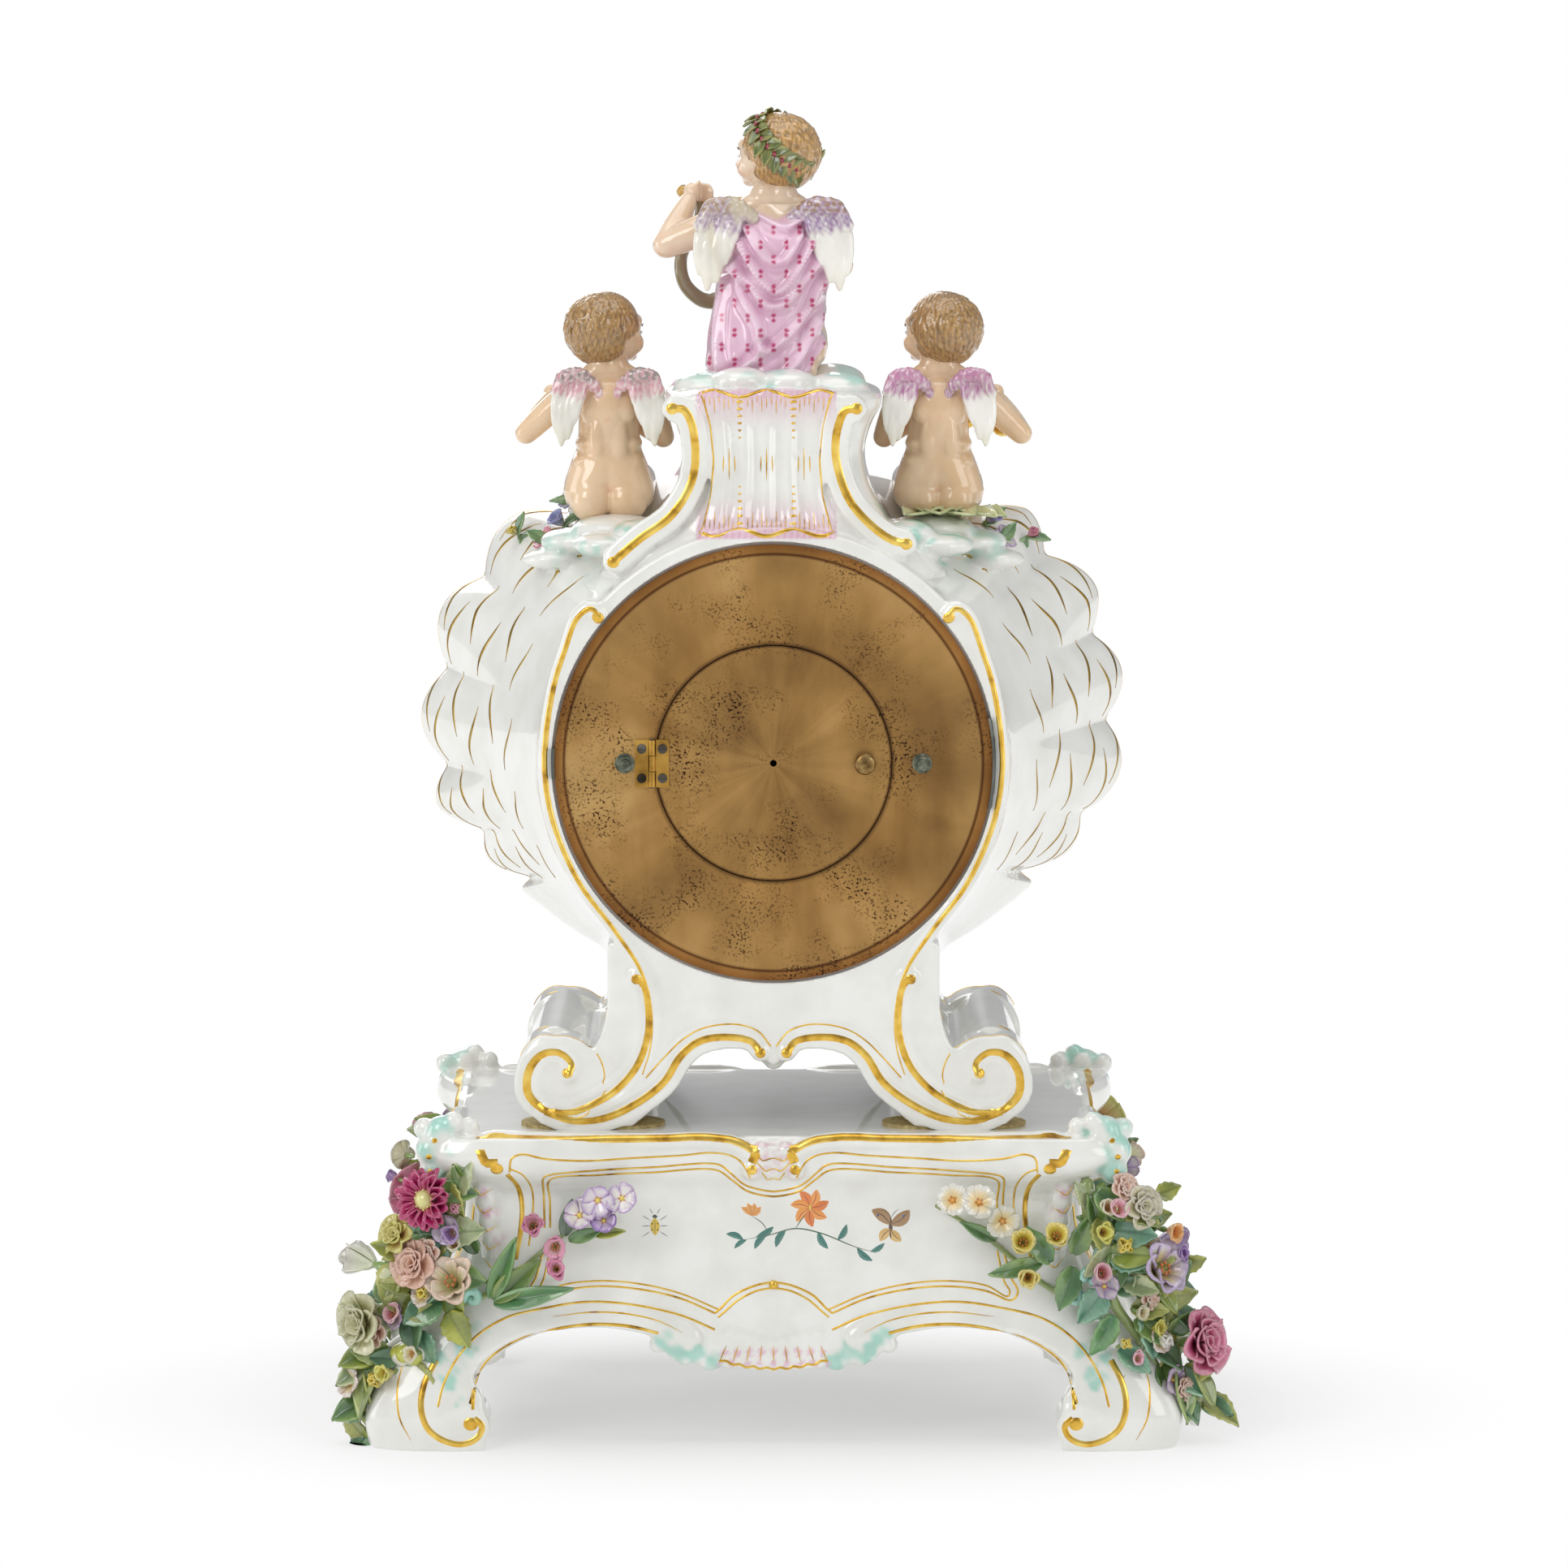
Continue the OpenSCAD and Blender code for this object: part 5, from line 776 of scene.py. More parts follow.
def corner_relief(sx, sy):
    """Scroll bars, apron mouldings, foot, rocaille and husks of one corner."""
    bar = on_plane(side_curve(TOP_BAR, sx, 80), sy * EDGE_Y)
    solids = [tube(bar, EDGE_R, 16)]
    solids += [ball(end, (5.2, 5.4, 5.2)) for end in (bar[0], bar[-1])]
    apron = side_curve(APRON, sx, 70)
    height = apron[:, 1]
    apron = on_plane(apron, np.interp(height, [0, 20, 60], [106, 104, 94.5]) * sy)
    solids.append(tube(apron, np.interp(height, [0, 30, 60], [6, 7.5, 6.5]), 16, 0.5, ALONG_Y))
    foot = side_curve(FOOT_SCROLL + [(132, 15.5)], sx, 50)
    foot = on_plane(foot, np.interp(foot[:, 1], [0, 40], [110, 103]) * sy)
    solids.append(tube(foot, np.linspace(3.0, 4.2, 50), 12, 0.7, ALONG_Y))
    solids.append(cylinder_y(10.5, sy * 80, sy * 111, sx * 136, 11.2, 40))
    solids.append(tube(side_bar(sx, sy, 60), EDGE_R, 14))
    solids.append(tube(curve(np.array(SIDE_APRON) * (sx, sy, 1), 60), 6.5, 14, 0.5, ALONG_X))
    solids += [ball((sx * x, sy * y, z), (r, r * 0.9, r)) for x, y, z, r in CORNER_BALLS]
    for k in range(5):
        husk = (sx * (128.5 - 1.1 * k), sy * (97.5 - 0.6 * k), 118 - 8.2 * k)
        solids.append(ball(husk, (5.6 - 0.35 * k, 4.2, 6.6 - 0.3 * k)))
    solids += [ball((sx * x, sy * 95.5, z), (r * 1.15, 3.4, r)) for x, z, r in LEAF_BALLS]
    return solids


def middle_shells(sy):
    """Three-tiered shell at the top edge's middle and a fluted one at the lower edge's."""
    solids = []
    for k, (w, z) in enumerate(((9.5, 133), (7.5, 128), (5.5, 123))):
        for dx in (-0.55, 0, 0.55):
            centre = (dx * w, sy * (99.5 - 1.3 * k), z - 1.2 * (dx == 0))
            solids.append(ball(centre, (w * 0.42, 4.4 - 0.5 * k, w * 0.42)))
    for k in range(-4, 5):
        flute = [(k * 5.0, 46 + 1.2 * abs(k)), (k * 6.0, 36.5 + 0.35 * abs(k) ** 1.5)]
        solids.append(tube(on_plane(flute, sy * 94.6), 3.3, 10, 0.8, ALONG_Y))
    return solids


def make_stand():
    body = stand_shell()
    extra = []
    for sy in (1, -1):
        extra += corner_relief(1, sy) + corner_relief(-1, sy) + middle_shells(sy)
    merge(body, [as_object("extra", extra)])
    fuse(body, PORCELAIN_VOXEL, 5)
    # Nothing reaches below the table
    p = points_of(body)
    p[:, 2] = np.clip(p[:, 2], 0.0, None)
    set_points(body, p)
    return body


def paint_stand(body):
    paint = Paint(body, GLAZE)
    for sy in (1, -1):
        for sx in (1, -1):
            for path, r, colour, strength in STAND_WASHES:
                paint.stroke(np.array(path) * (sx, sy, 1.0), r, colour, strength, 0.7, 0.35, 3)
            for k in range(5):
                husk = (sx * (128 - 1.1 * k), sy * 101, 113.5 - 8.2 * k)
                paint.stroke([husk], 3.0, PINK, 0.8, 0.8, 0.2, 5 + k)
        for z in (136, 130, 124):
            paint.stroke([(x, sy * 102, z) for x in (-7, -3, 0, 3, 7)], 3.2, PINK, 0.55, 0.9, 0.3, 9)
        for k in range(-4, 5):
            flute = [(k * 6.0, sy * 97, 37), (k * 5.4, sy * 97, 42)]
            paint.stroke(flute, 2.6, PINK, 0.8, 0.9, 0.3, 20 + k)
    paint.put()


def gild_corner(g, sx, sy):
    """Gold on the bars, scroll ends, rocaille, husks and side of one corner."""
    y = sy * FAR_Y
    ray = (0, -sy, 0)
    bar = on_plane(side_curve(TOP_BAR, sx, 110), sy * EDGE_Y)
    g.line(bar + (0, sy * 5, 3.4), 4.6, lift=0.3)
    g.spot((sx * 121.5, y, 126.0), 6.2, 6.0, 0, ray)
    g.spot((sx * 9.4, y, 124.6), 5.6, 5.4, 0, ray)
    g.spot((sx * 133.5, y, 12.5), 6.8, 6.2, 0, ray, 0.5)
    for x, z, w in ((149, 138, 2.6), (151.5, 131, 2.8), (151, 124.5, 2.4)):
        g.spot((sx * x, y, z), w * 1.1, w, 20, ray)
    for k in range(5):
        x, z = 128 - 1.1 * k, 113.2 - 8.2 * k
        husk = [(sx * (x + 4.4), z + 4), (sx * (x + 1), z - 0.6), (sx * (x - 3.6), z + 2.4)]
        g.line(on_plane(husk, y), 0.7, ray, taper=True)
    for points, width in SIDE_LINES:
        g.line(across(curve(points, 80) * (sy, 1), sx * FAR_X), width, (-sx, 0, 0))
    g.line(side_bar(sx, sy, 90) + (sx * 5, 0, 3.4), 4.4, lift=0.3)


def gild_stand(body):
    g = Gilder(body)
    for sy in (1, -1):
        ray = (0, -sy, 0)
        y = sy * FAR_Y
        for points, width, taper in STAND_LINES:
            for sx in (1, -1):
                g.line(on_plane(side_curve(points, sx, 90), y), width * LINE_GAIN, ray, taper=taper)
        gild_corner(g, 1, sy)
        gild_corner(g, -1, sy)
        for w, z in ((9.0, 129.5), (7.0, 124.5), (5.0, 120)):
            tier = [(-w, z + 3), (-w * 0.5, z - 1.2), (0, z + 0.6), (w * 0.5, z - 1.2), (w, z + 3)]
            g.line(on_plane(tier, y), 0.7, ray)
        for k in range(-4, 5):
            g.line(on_plane([(k * 5.2, 45), (k * 6.0, 37.5)], y), 0.6, ray, taper=True)
        rim = [(k * 3.0, 34.2 + 0.06 * k * k + k % 2) for k in range(-8, 9)]
        g.line(on_plane(curve(rim, 90), y), 1.3, ray)
        g.spot((0, y, 71.9), 4.2, 4.2, 0, ray, 1.6)
    g.finish("stand_gilding")


# Case

BACK_RIM_R = 104.0
SHELL_RIM_R = 163.0
LOBE_D = 10.0
CASE_HALF_D = 82.0
SHELL_RIM_Y = 35.0
BOSS_Y = 72.0
BOSS_R = 82.0
CASE_WALL = 8.0
CASE_BORE_R = PLATE_R - 2.5
PLATE_SEAT_R = PLATE_R + 1.4
FOOT_HALF_W = 114.0
LEG_H = 62.0
NECK_TOP = 164.0
NECK_HALF_W = 48.0
# The neck's fluted panel: its middle height, and how far the back one stands to the left
PANEL_Z = 434.7
PANEL_SHIFT = 3.0
FLARE_SHARES = np.array([[0, 0, 0], [0.06, 0.01, 0], [0.24, 0.13, 0.02], [0.45, 0.33, 0.12],
                         [0.65, 0.56, 0.32], [0.82, 0.79, 0.65], [0.93, 0.93, 0.92], [1, 1, 1]])
DISH_SHARES = np.array([[0.06, 0.0, 1], [0.14, 0.03, 1], [0.18, 0.14, 0.7], [0.22, 0.38, 0.3],
                        [0.42, 0.68, 0], [0.78, 0.90, 0], [1, 1, 0]])
RIM_SHARES = np.array([[-90, 0.70], [-62, 0.74], [-48, 0.775], [-38, 0.805], [-28, 0.845], [-20, 0.90],
                       [-12, 0.965], [0, 0.99], [24, 1.0], [42, 0.955], [52, 0.865], [62, 0.80], [75, 0.77],
                       [90, 0.76]])
LEFT_NOTCHES = [48, 29, 12, -5, -18, -31]
RIGHT_NOTCHES = [50, 34, 18, 3, -14, -29]
# High and low notch of every lobe, with 1 for the left side and -1 for the right
LOBES = [(side, high, low) for side, notches in ((1, LEFT_NOTCHES), (-1, RIGHT_NOTCHES))
         for high, low in zip(notches[:-1], notches[1:])]
LEG_SHARES = np.array([
    [0.645, 0.86], [0.66, 0.72], [0.685, 0.60], [0.72, 0.53], [0.76, 0.52], [0.80, 0.58], [0.84, 0.64],
    [0.90, 0.655], [0.955, 0.59], [0.99, 0.48], [1.0, 0.36], [0.985, 0.22], [0.93, 0.09], [0.86, 0]])
SOLE_SHARES = np.array([
    [0.55, 0], [0.485, 0.10], [0.42, 0.26], [0.36, 0.41], [0.30, 0.52], [0.23, 0.59], [0.16, 0.61],
    [0.09, 0.60], [0.05, 0.54], [0.02, 0.46], [0, 0.44]])
NECK_SHARES = np.array([
    [0.50, 1.62, 0.975, -0.55], [0.56, 1.40, 0.97, -0.55], [0.61, 1.16, 0.93, -0.52],
    [0.68, 1.0, 0.89, -0.48], [0.76, 0.88, 0.87, -0.44], [0.84, 0.85, 0.87, -0.42], [0.91, 0.92, 0.89, -0.42],
    [0.96, 1.0, 0.95, -0.44], [0.985, 0.98, 0.96, -0.44], [1.0, 0.84, 0.90, -0.40]])
VOLUTE = (94.5, 162.0)
# Scrolls on the case, (x, z) on the left: round the plate, the two leg bands, a thin line, the neck's two Cs
PLATE_SCROLL = [(76.5, 367), (80, 371), (86, 367), (91.5, 353), (97, 335), (100.8, 303), (97.5, 278),
                (86, 250), (70, 228), (58.5, 210), (54, 192), (54.5, 176), (58, 164)]
INNER_BAND = [(61, 207.5), (57.5, 204), (55.4, 195), (55.6, 182), (60, 168.5), (69, 157.5), (79, 151),
              (90, 147), (101, 148), (108.5, 155), (108.5, 165), (103, 172.5), (95.5, 173.8), (89.6, 169),
              (90.5, 163.5)]
OUTER_BAND = [(101, 147.5), (89.7, 143.4), (75.3, 144.2), (60.5, 151), (48.5, 160.5), (41.5, 171.5),
              (35, 177.5), (28.5, 180), (18, 180.5), (9.5, 178.5), (5.5, 173)]
THIN_LINE = [(56.5, 162.5), (48.5, 171.5), (41, 179), (33, 184), (24, 186.2), (14, 186), (6.5, 183),
             (1.2, 176.5)]
NECK_SCROLLS = [
    [(44.5, 458.5), (39.5, 458), (36, 452), (34.3, 440), (35, 430), (38, 421.5), (45.5, 410.8), (59, 401),
     (70.5, 391)],
    [(-36.5, 458.5), (-31.5, 457.5), (-28.5, 451), (-27.2, 441), (-28.6, 431), (-33.5, 418), (-42, 408),
     (-51.5, 401), (-58.5, 399)]]
# Upper edge of the front legs and its gold line: share of FOOT_HALF_W, z
FRONT_CROWN = [(0.66, 226), (0.55, 224), (0.25, 219), (0, 217)]
CROWN_LINE = [(0.64, 224.5), (0.55, 222.5), (0.25, 217.5), (0, 215.5)]
# Flattened balls: the cloud under the top figure and the puffs under a side figure, x, y, z, radius
CLOUD = [(-28, 52, 467, 13), (-6, 57, 469, 12.5), (14, 58, 470, 12), (30, 48, 467, 13.5), (-26, 4, 468, 14),
         (0, 30, 466, 17), (22, 2, 468, 14), (2, -22, 466, 13), (40, 30, 463, 8), (-38, 30, 461, 8)]
PUFFS = [(70, 20, 401, 21), (88, 14, 396, 17), (56, 42, 402, 16), (74, 40, 396, 16), (100, 18, 388, 13)]
# Mint washes of the cloud and the puffs beside the drum: path, radius, strength
CLOUD_WASHES = [([(-30, 55, 470), (0, 60, 474), (32, 52, 470)], 13, 0.75),
                ([(-30, 5, 472), (0, 20, 474), (30, 5, 472)], 17, 0.65),
                ([(52, 50, 412), (66, 50, 402), (82, 46, 393)], 9, 0.85),
                ([(84, 20, 400), (98, 20, 396)], 12, 0.5),
                ([(-50, 50, 412), (-64, 50, 402), (-80, 44, 395)], 9, 0.85),
                ([(-84, 20, 400), (-98, 20, 396)], 12, 0.5)]


def lobes(a, notches):
    """1 on a notch between two lobes and 0 on a lobe's crest, by angle in degrees."""
    out = np.zeros_like(a)
    for high, low in zip(notches[:-1], notches[1:]):
        inside = (a <= high) & (a >= low)
        out = np.where(inside, 1 - np.sin(np.pi * (a - low) / (high - low)), out)
    return out


def elevation(a):
    """Angle above the level through the axis, from -90 to 90, of an angle round the drum."""
    return np.degrees(np.arcsin(np.clip(np.sin(np.radians(a)), -1, 1)))


def rim_r(a):
    return SHELL_RIM_R * np.interp(elevation(a), RIM_SHARES[:, 0], RIM_SHARES[:, 1])


def notch_d(a):
    left = np.cos(np.radians(a)) > 0
    return LOBE_D * np.where(left, lobes(elevation(a), LEFT_NOTCHES), lobes(elevation(a), RIGHT_NOTCHES))


def mirror_angle(a, side):
    return a if side > 0 else 180 - a


def flare_y(share):
    return CASE_HALF_D - (CASE_HALF_D + SHELL_RIM_Y) * share


def flare_point(a, share):
    """Places on the shell: angle in degrees, share of the way from the back rim to the shell's rim."""
    reach, lobe = hermite(FLARE_SHARES[:, 0], FLARE_SHARES[:, 1:], np.atleast_1d(share)).T
    r = BACK_RIM_R + (rim_r(a) - BACK_RIM_R) * reach - notch_d(a) * lobe
    return around(r, a, flare_y(np.atleast_1d(share)))


def drum_rings(count, rows):
    """Shell from the back rim to its lobed rim, then the dial side's dish down to the boss."""
    angles = np.linspace(0, 360, count, endpoint=False)
    rings = [flare_point(angles, s) for s in np.linspace(0, 1, rows)]
    shares = np.linspace(DISH_SHARES[0, 0], 1, rows // 2)
    for s, reach, lobe in np.c_[shares, hermite(DISH_SHARES[:, 0], DISH_SHARES[:, 1:], shares)]:
        r = rim_r(angles) + (BOSS_R - rim_r(angles)) * reach - notch_d(angles) * lobe
        rings.append(around(r, angles, -SHELL_RIM_Y - (BOSS_Y - SHELL_RIM_Y) * s))
    return rings


def leg_outline():
    top = np.array([[0.645, 1.32]]) * (FOOT_HALF_W, LEG_H)
    side = curve(LEG_SHARES * (FOOT_HALF_W, LEG_H), 70)
    sole = curve(SOLE_SHARES * (FOOT_HALF_W, LEG_H), 60)
    half = np.vstack([top, side, sole])
    return np.vstack([half, half[-2::-1] * (-1, 1)]) + (0, CASE_Z)


def hollow_rings():
    """Hollow of the drum behind the movement."""
    angles = np.linspace(0, 360, 120, endpoint=False)
    reach = np.maximum(0, rim_r(angles) - LOBE_D - CASE_WALL - CASE_BORE_R)
    rings = [around(CASE_BORE_R + reach * s[1], angles, flare_y(s[0])) for s in FLARE_SHARES[[1, 3, 5, 7]]]
    return rings + [around(CASE_BORE_R, angles, -SHELL_RIM_Y - CASE_WALL / 2)]


def neck_rings():
    a = circle(200)
    box = (np.abs(np.cos(a)) ** 5 + np.abs(np.sin(a)) ** 5) ** (-1 / 5)
    t = np.linspace(NECK_SHARES[0, 0], 1, 60)
    rings = []
    for share, wide, back, front in np.c_[t, hermite(NECK_SHARES[:, 0], NECK_SHARES[:, 1:], t)]:
        mid, half = (back + front) / 2 * CASE_HALF_D, (back - front) / 2 * CASE_HALF_D
        rings.append(np.stack([NECK_HALF_W * wide * box * np.cos(a), mid + half * box * np.sin(a),
                               np.full(200, DRUM_Z + NECK_TOP * share)], axis=1))
    return rings


def panel_half_width(z):
    """Half width of the neck's shell panel by height."""
    return np.interp(z, [402, 410, 420, 435, 450, 460, 467], [30, 27.5, 25, 23.6, 25, 27.5, 30])


def neck_panel(sy):
    """Fluted shell panel on the neck."""
    u, height = np.meshgrid(np.linspace(-1, 1, 121), np.linspace(403.5, 466.0, 110))
    from_middle = height - PANEL_Z
    edge = np.clip((np.abs(from_middle) - 24) / 8, 0, 1)
    scallop = 1.6 * np.cos(u * 2.5 * math.pi) * edge * np.sign(from_middle)
    flute = 0.9 * np.cos(u * 5 * math.pi) + 1.2 * edge + 1.4 * np.abs(u) ** 6
    face = 73.6 + 1.2 * flute + 4.2 * np.clip((np.abs(from_middle) - 18) / 14, 0, 1) ** 1.6
    x = PANEL_SHIFT * (sy > 0) + u * panel_half_width(height)
    front = np.stack([x, sy * face, height + scallop], axis=-1)
    back = front.copy()
    back[..., 1] = sy * 64.0
    return between(front, back)


def leg_ridges(sx, y, sy):
    """Volute drum of a leg and the ridges beside its gilt bands."""
    solids = [cylinder_y(18.8, y, y - sy * 26, sx * VOLUTE[0], VOLUTE[1], 80)]
    for band, half in ((INNER_BAND, 4.2), (OUTER_BAND, 4.6)):
        path = side_curve(band, sx, 120)
        w = half * np.interp(np.linspace(0, 1, 120), [0, 0.75, 1], [1, 1, 0.55])
        for k in (-1, 1):
            ridge = on_plane(path + beside(path) * (k * w)[:, None], y - sy * 0.4)
            solids.append(tube(ridge, 1.7, 10, 1.0, ALONG_Y))
        solids += [ball((end[0], y, end[1]), (3.6, 2.6, 3.6)) for end in (path[0], path[-1])]
    return solids


def neck_ridges(sy):
    """The neck's C scrolls, each a swell between two ridges."""
    solids = []
    for band in NECK_SCROLLS:
        path = curve(band, 90)
        y = np.interp(path[:, 1], [385, 400, 430, 460], [76, 75.5, 73.5, 76.5])
        for k in (-1, 1):
            ridge = on_plane(path + beside(path) * k * 4.4, sy * (y + 0.4))
            solids.append(tube(ridge, 2.0, 10, 1.0, ALONG_Y))
        solids.append(tube(on_plane(path, sy * (y - 1.5)), 4.4, 12, 0.8, ALONG_Y))
        for k in (0, -1):
            solids.append(ball((path[k, 0], sy * y[k], path[k, 1]), (5.0, 3.4, 5.0)))
    return solids


def shell_fillet(sx):
    """Hollow curve in which the shell's underside runs into the waist."""
    foot = np.array((71.5, 184.0))
    t = np.linspace(0, 1, 24)[:, None]
    rings = []
    for share in np.linspace(0.02, 0.97, 16):
        start = flare_point(-45, share)[0][[0, 2]] - (1.0, -1.0)
        bend = foot + (start - foot) * (0.10, 0.70)
        hollow = (1 - t) ** 2 * start + 2 * t * (1 - t) * bend + t * t * foot
        inside = [(58, 184), (56, 244), start * 0.8 + np.array((0, DRUM_Z)) * 0.2]
        rings.append(on_plane(np.vstack([hollow, inside]) * (sx, 1), flare_y(share) - 3))
    return loft(rings)


def crown_curve(points, sx, count):
    return side_curve(np.array(points) * (FOOT_HALF_W, 1), sx, count)


def front_legs(outline, face_d):
    """Front pair of legs, whose upper part leans back under the bezel."""
    legs = as_object("front_legs", [extrude_y(outline, -CASE_HALF_D, -CASE_HALF_D + face_d)])
    slope = np.array([(-CASE_HALF_D, LEG_H * 0.75), (-0.9 * BOSS_Y, LEG_H * 1.4),
                      (-2 * CASE_HALF_D, LEG_H * 1.4), (-2 * CASE_HALF_D, LEG_H * 0.75)])
    carve(legs, [extrude_x(slope + (0, CASE_Z), -2 * FOOT_HALF_W, 2 * FOOT_HALF_W)])
    return legs


def make_case():
    body = as_object("case_porcelain", [loft(drum_rings(720, 64))])
    face_d = CASE_HALF_D * 0.42
    outline = leg_outline()
    legs = front_legs(outline, face_d)
    extra = [loft(neck_rings()), extrude_y(outline, CASE_HALF_D - face_d, CASE_HALF_D)]
    extra += [tube(on_plane(crown_curve(FRONT_CROWN, sx, 40), -66.5), 3.4, 12) for sx in (1, -1)]
    # Between the two pairs of legs the waist is a little narrower
    low = outline[outline[:, 1] < CASE_Z + LEG_H * 1.2]
    shrunk = np.stack([low[:, 0] - 3 * np.sign(low[:, 0]), low[:, 1] + 1.2], axis=1)
    extra.append(extrude_y(shrunk, -CASE_HALF_D + face_d / 2, CASE_HALF_D - face_d / 2))
    for sy in (1, -1):
        for sx in (1, -1):
            extra += leg_ridges(sx, sy * CASE_HALF_D, sy)
            if sy > 0:
                thick = np.interp(np.linspace(0, 1, 140), [0, 0.1, 0.8, 1], [4.4, 3.4, 3.2, 2.2])
                extra.append(tube(on_plane(side_curve(PLATE_SCROLL, sx, 140), 80.5), thick, 12, 0.9, ALONG_Y))
        extra += neck_ridges(sy) + [neck_panel(sy)]
    extra += [ball((x, y, z), (r * 1.08, r * 1.08, r * 0.50)) for x, y, z, r in CLOUD]
    for sx in (1, -1):
        extra.append(shell_fillet(sx))
        extra += [ball((sx * x, y, z), (r, r, r * 0.36)) for x, y, z, r in PUFFS]
    # Pendant under the arch
    for sy in (1, -1):
        for x, z, r in ((0, 169, 4.5), (-6, 172, 3.6), (6, 172, 3.6)):
            extra.append(ball((x, sy * 74, z), (r, 6, r * 0.9)))
    merge(body, [as_object("extra", extra), legs])
    fuse(body, PORCELAIN_VOXEL, 6)
    carve(body, [loft(hollow_rings()), cylinder_y(CASE_BORE_R, 30, PLATE_IN_Y + 1),
                 cylinder_y(PLATE_SEAT_R, PLATE_IN_Y, CASE_HALF_D + 12),
                 cylinder_y(BEZEL_R, -BOSS_Y - 4, -SHELL_RIM_Y + 1),
                 cylinder_y(BOSS_R + 10, -BOSS_Y - 12, -BOSS_Y)])
    return smooth(body)


def paint_case(body):
    paint = Paint(body, GLAZE)
    x, y, z = paint.p.T
    for path, r, strength in CLOUD_WASHES:
        paint.stroke(path, r, MINT, strength, 0.8, 0.45, 4)
    for sy in (1, -1):
        off = PANEL_SHIFT * (sy > 0)
        face = (y * sy > 71) & (np.abs(x - off) < 31) & (z > 401) & (z < 469)
        reach = np.clip((np.abs(z - PANEL_Z) - 12) / 19, 0, 1)
        streak = 0.5 + 0.5 * np.sin((x - off) * 2.2 + 0.6 * np.sin(z))
        paint.wash(face * (reach ** 1.5) * (0.55 + 0.4 * streak), PINK)
    # Dial side: pink fading in from the shell's rim, mint round the boss
    angle = np.degrees(np.arctan2(z - DRUM_Z, x))
    r = np.hypot(x, z - DRUM_Z)
    front = y < -SHELL_RIM_Y - 1
    streak = 0.55 + 0.45 * np.sin(angle * 2.3 + 0.5 * np.sin(angle * 0.7))
    paint.wash(front * np.clip((r - rim_r(angle) * 0.86) / 26, 0, 1) * streak * (z > 215), PINK)
    paint.wash(front * np.clip(1 - np.abs(r - 99) / 7, 0, 1) * 0.45 * (z > 232), MINT)
    paint.put()


def gild_legs(g, sy):
    """Gold of the leg bands and, on the back, of the scroll round the plate."""
    ray = (0, -sy, 0)
    y = sy * FAR_Y
    for sx in (1, -1):
        if sy > 0:
            widths = [2.6, 2.6, 2.8, 2.9, 2.8, 2.6, 2.2, 1.8, 0.9, 0.6]
            g.line(on_plane(side_curve(PLATE_SCROLL, sx, 200), y), widths, ray, 0.3)
            g.spot((sx * 77, y, 366.8), 6.4, 6.0, 0, ray)
        g.line(on_plane(side_curve(INNER_BAND, sx, 200), y), [3.4] * 7 + [4.2, 4.2, 3.6, 3.0], ray, 0.3)
        g.line(on_plane(side_curve(OUTER_BAND, sx, 160), y), 3.6, ray, 0.3)
        for x, z, long, wide in ((60.6, 206.6, 5.6, 5.4), (5.9, 173.8, 5.8, 5.6), (91.4, 164.6, 5.6, 5.2)):
            g.spot((sx * x, y, z), long, wide, 0, ray)
        g.line(on_plane(side_curve(THIN_LINE, sx, 80), y), 0.8, ray)
        # Line round the outer side of the volute
        a0, a1 = (30, 250) if sx > 0 else (150, -70)
        ring = spiral((sx * VOLUTE[0], VOLUTE[1]), 19.8, 19.8, a0, a1, 50)
        g.line(on_plane(ring, sy * 79), 0.7)


def gild_neck(g, sy):
    """Gold of the neck: its scrolls, and the panel's scalloped edges, sides, rays, ovals and darts."""
    ray = (0, -sy, 0)
    y = sy * FAR_Y
    off = PANEL_SHIFT * (sy > 0)
    for band in NECK_SCROLLS:
        g.line(on_plane(curve(band, 120), y), 3.9, ray, 0.3)
        for end in (band[0], band[-1]):
            g.spot((end[0], y, end[1]), 6.4, 6.0, 0, ray)
    for z, s in ((465.2, 1), (404.3, -1)):
        edge = [(off + u * 29.5, z + s * 1.6 * math.cos(u * 2.5 * math.pi)) for u in np.linspace(-1, 1, 41)]
        g.line(on_plane(edge, y), 2.0, ray)
        for k in range(-13, 14):
            if abs(k) != 5:
                x = off + k * 2.1
                tip = z - s * (6.5 + 2.5 * math.sin(k * 2.4))
                g.line(on_plane([(x, z - s * 1.2), (x * 0.985, tip)], y), 0.5, ray, taper=True)
    for sx in (1, -1):
        side = [(off + sx * panel_half_width(z) * 0.985, z) for z in np.linspace(405, 464.5, 30)]
        g.line(on_plane(side, y), 0.9, ray)
        for k in range(6):
            for z in (461.5 - 3.2 * k, 408 + 3.2 * k):
                g.spot((off + sx * 11.8, y, z), 3.6 - 0.45 * k, 1.5 - 0.12 * k, 4, ray)
    for x in (-16.5, 0, 16.5):
        for k, half in ((-1, 3.5), (0, 7), (1, 3.5)):
            dart = [(off + x + 2.6 * k, 434 - half), (off + x + 2.4 * k, 434 + half)]
            g.line(on_plane(dart, y), 0.7, ray, taper=True)


def gild_lobes(strokes):
    """Short tapering strokes along the lobes."""
    for side, high, low in LOBES:
        span = high - low
        for k, share in enumerate((0.40, 0.54, 0.67, 0.79, 0.90, 0.975)):
            shift = (0.18 if k % 2 else -0.12) * span
            a = np.linspace(low + span * 0.18 + shift, high - span * 0.14 + shift, 24)
            s = share + 0.035 * np.sin(np.linspace(-1.4, 1.6, 24)) * (1 if k % 2 else -1)
            path = flare_point(mirror_angle(a, side), s)
            strokes.line(path, 2.1 if share > 0.5 else 1.6, lift=0.20, taper=True)


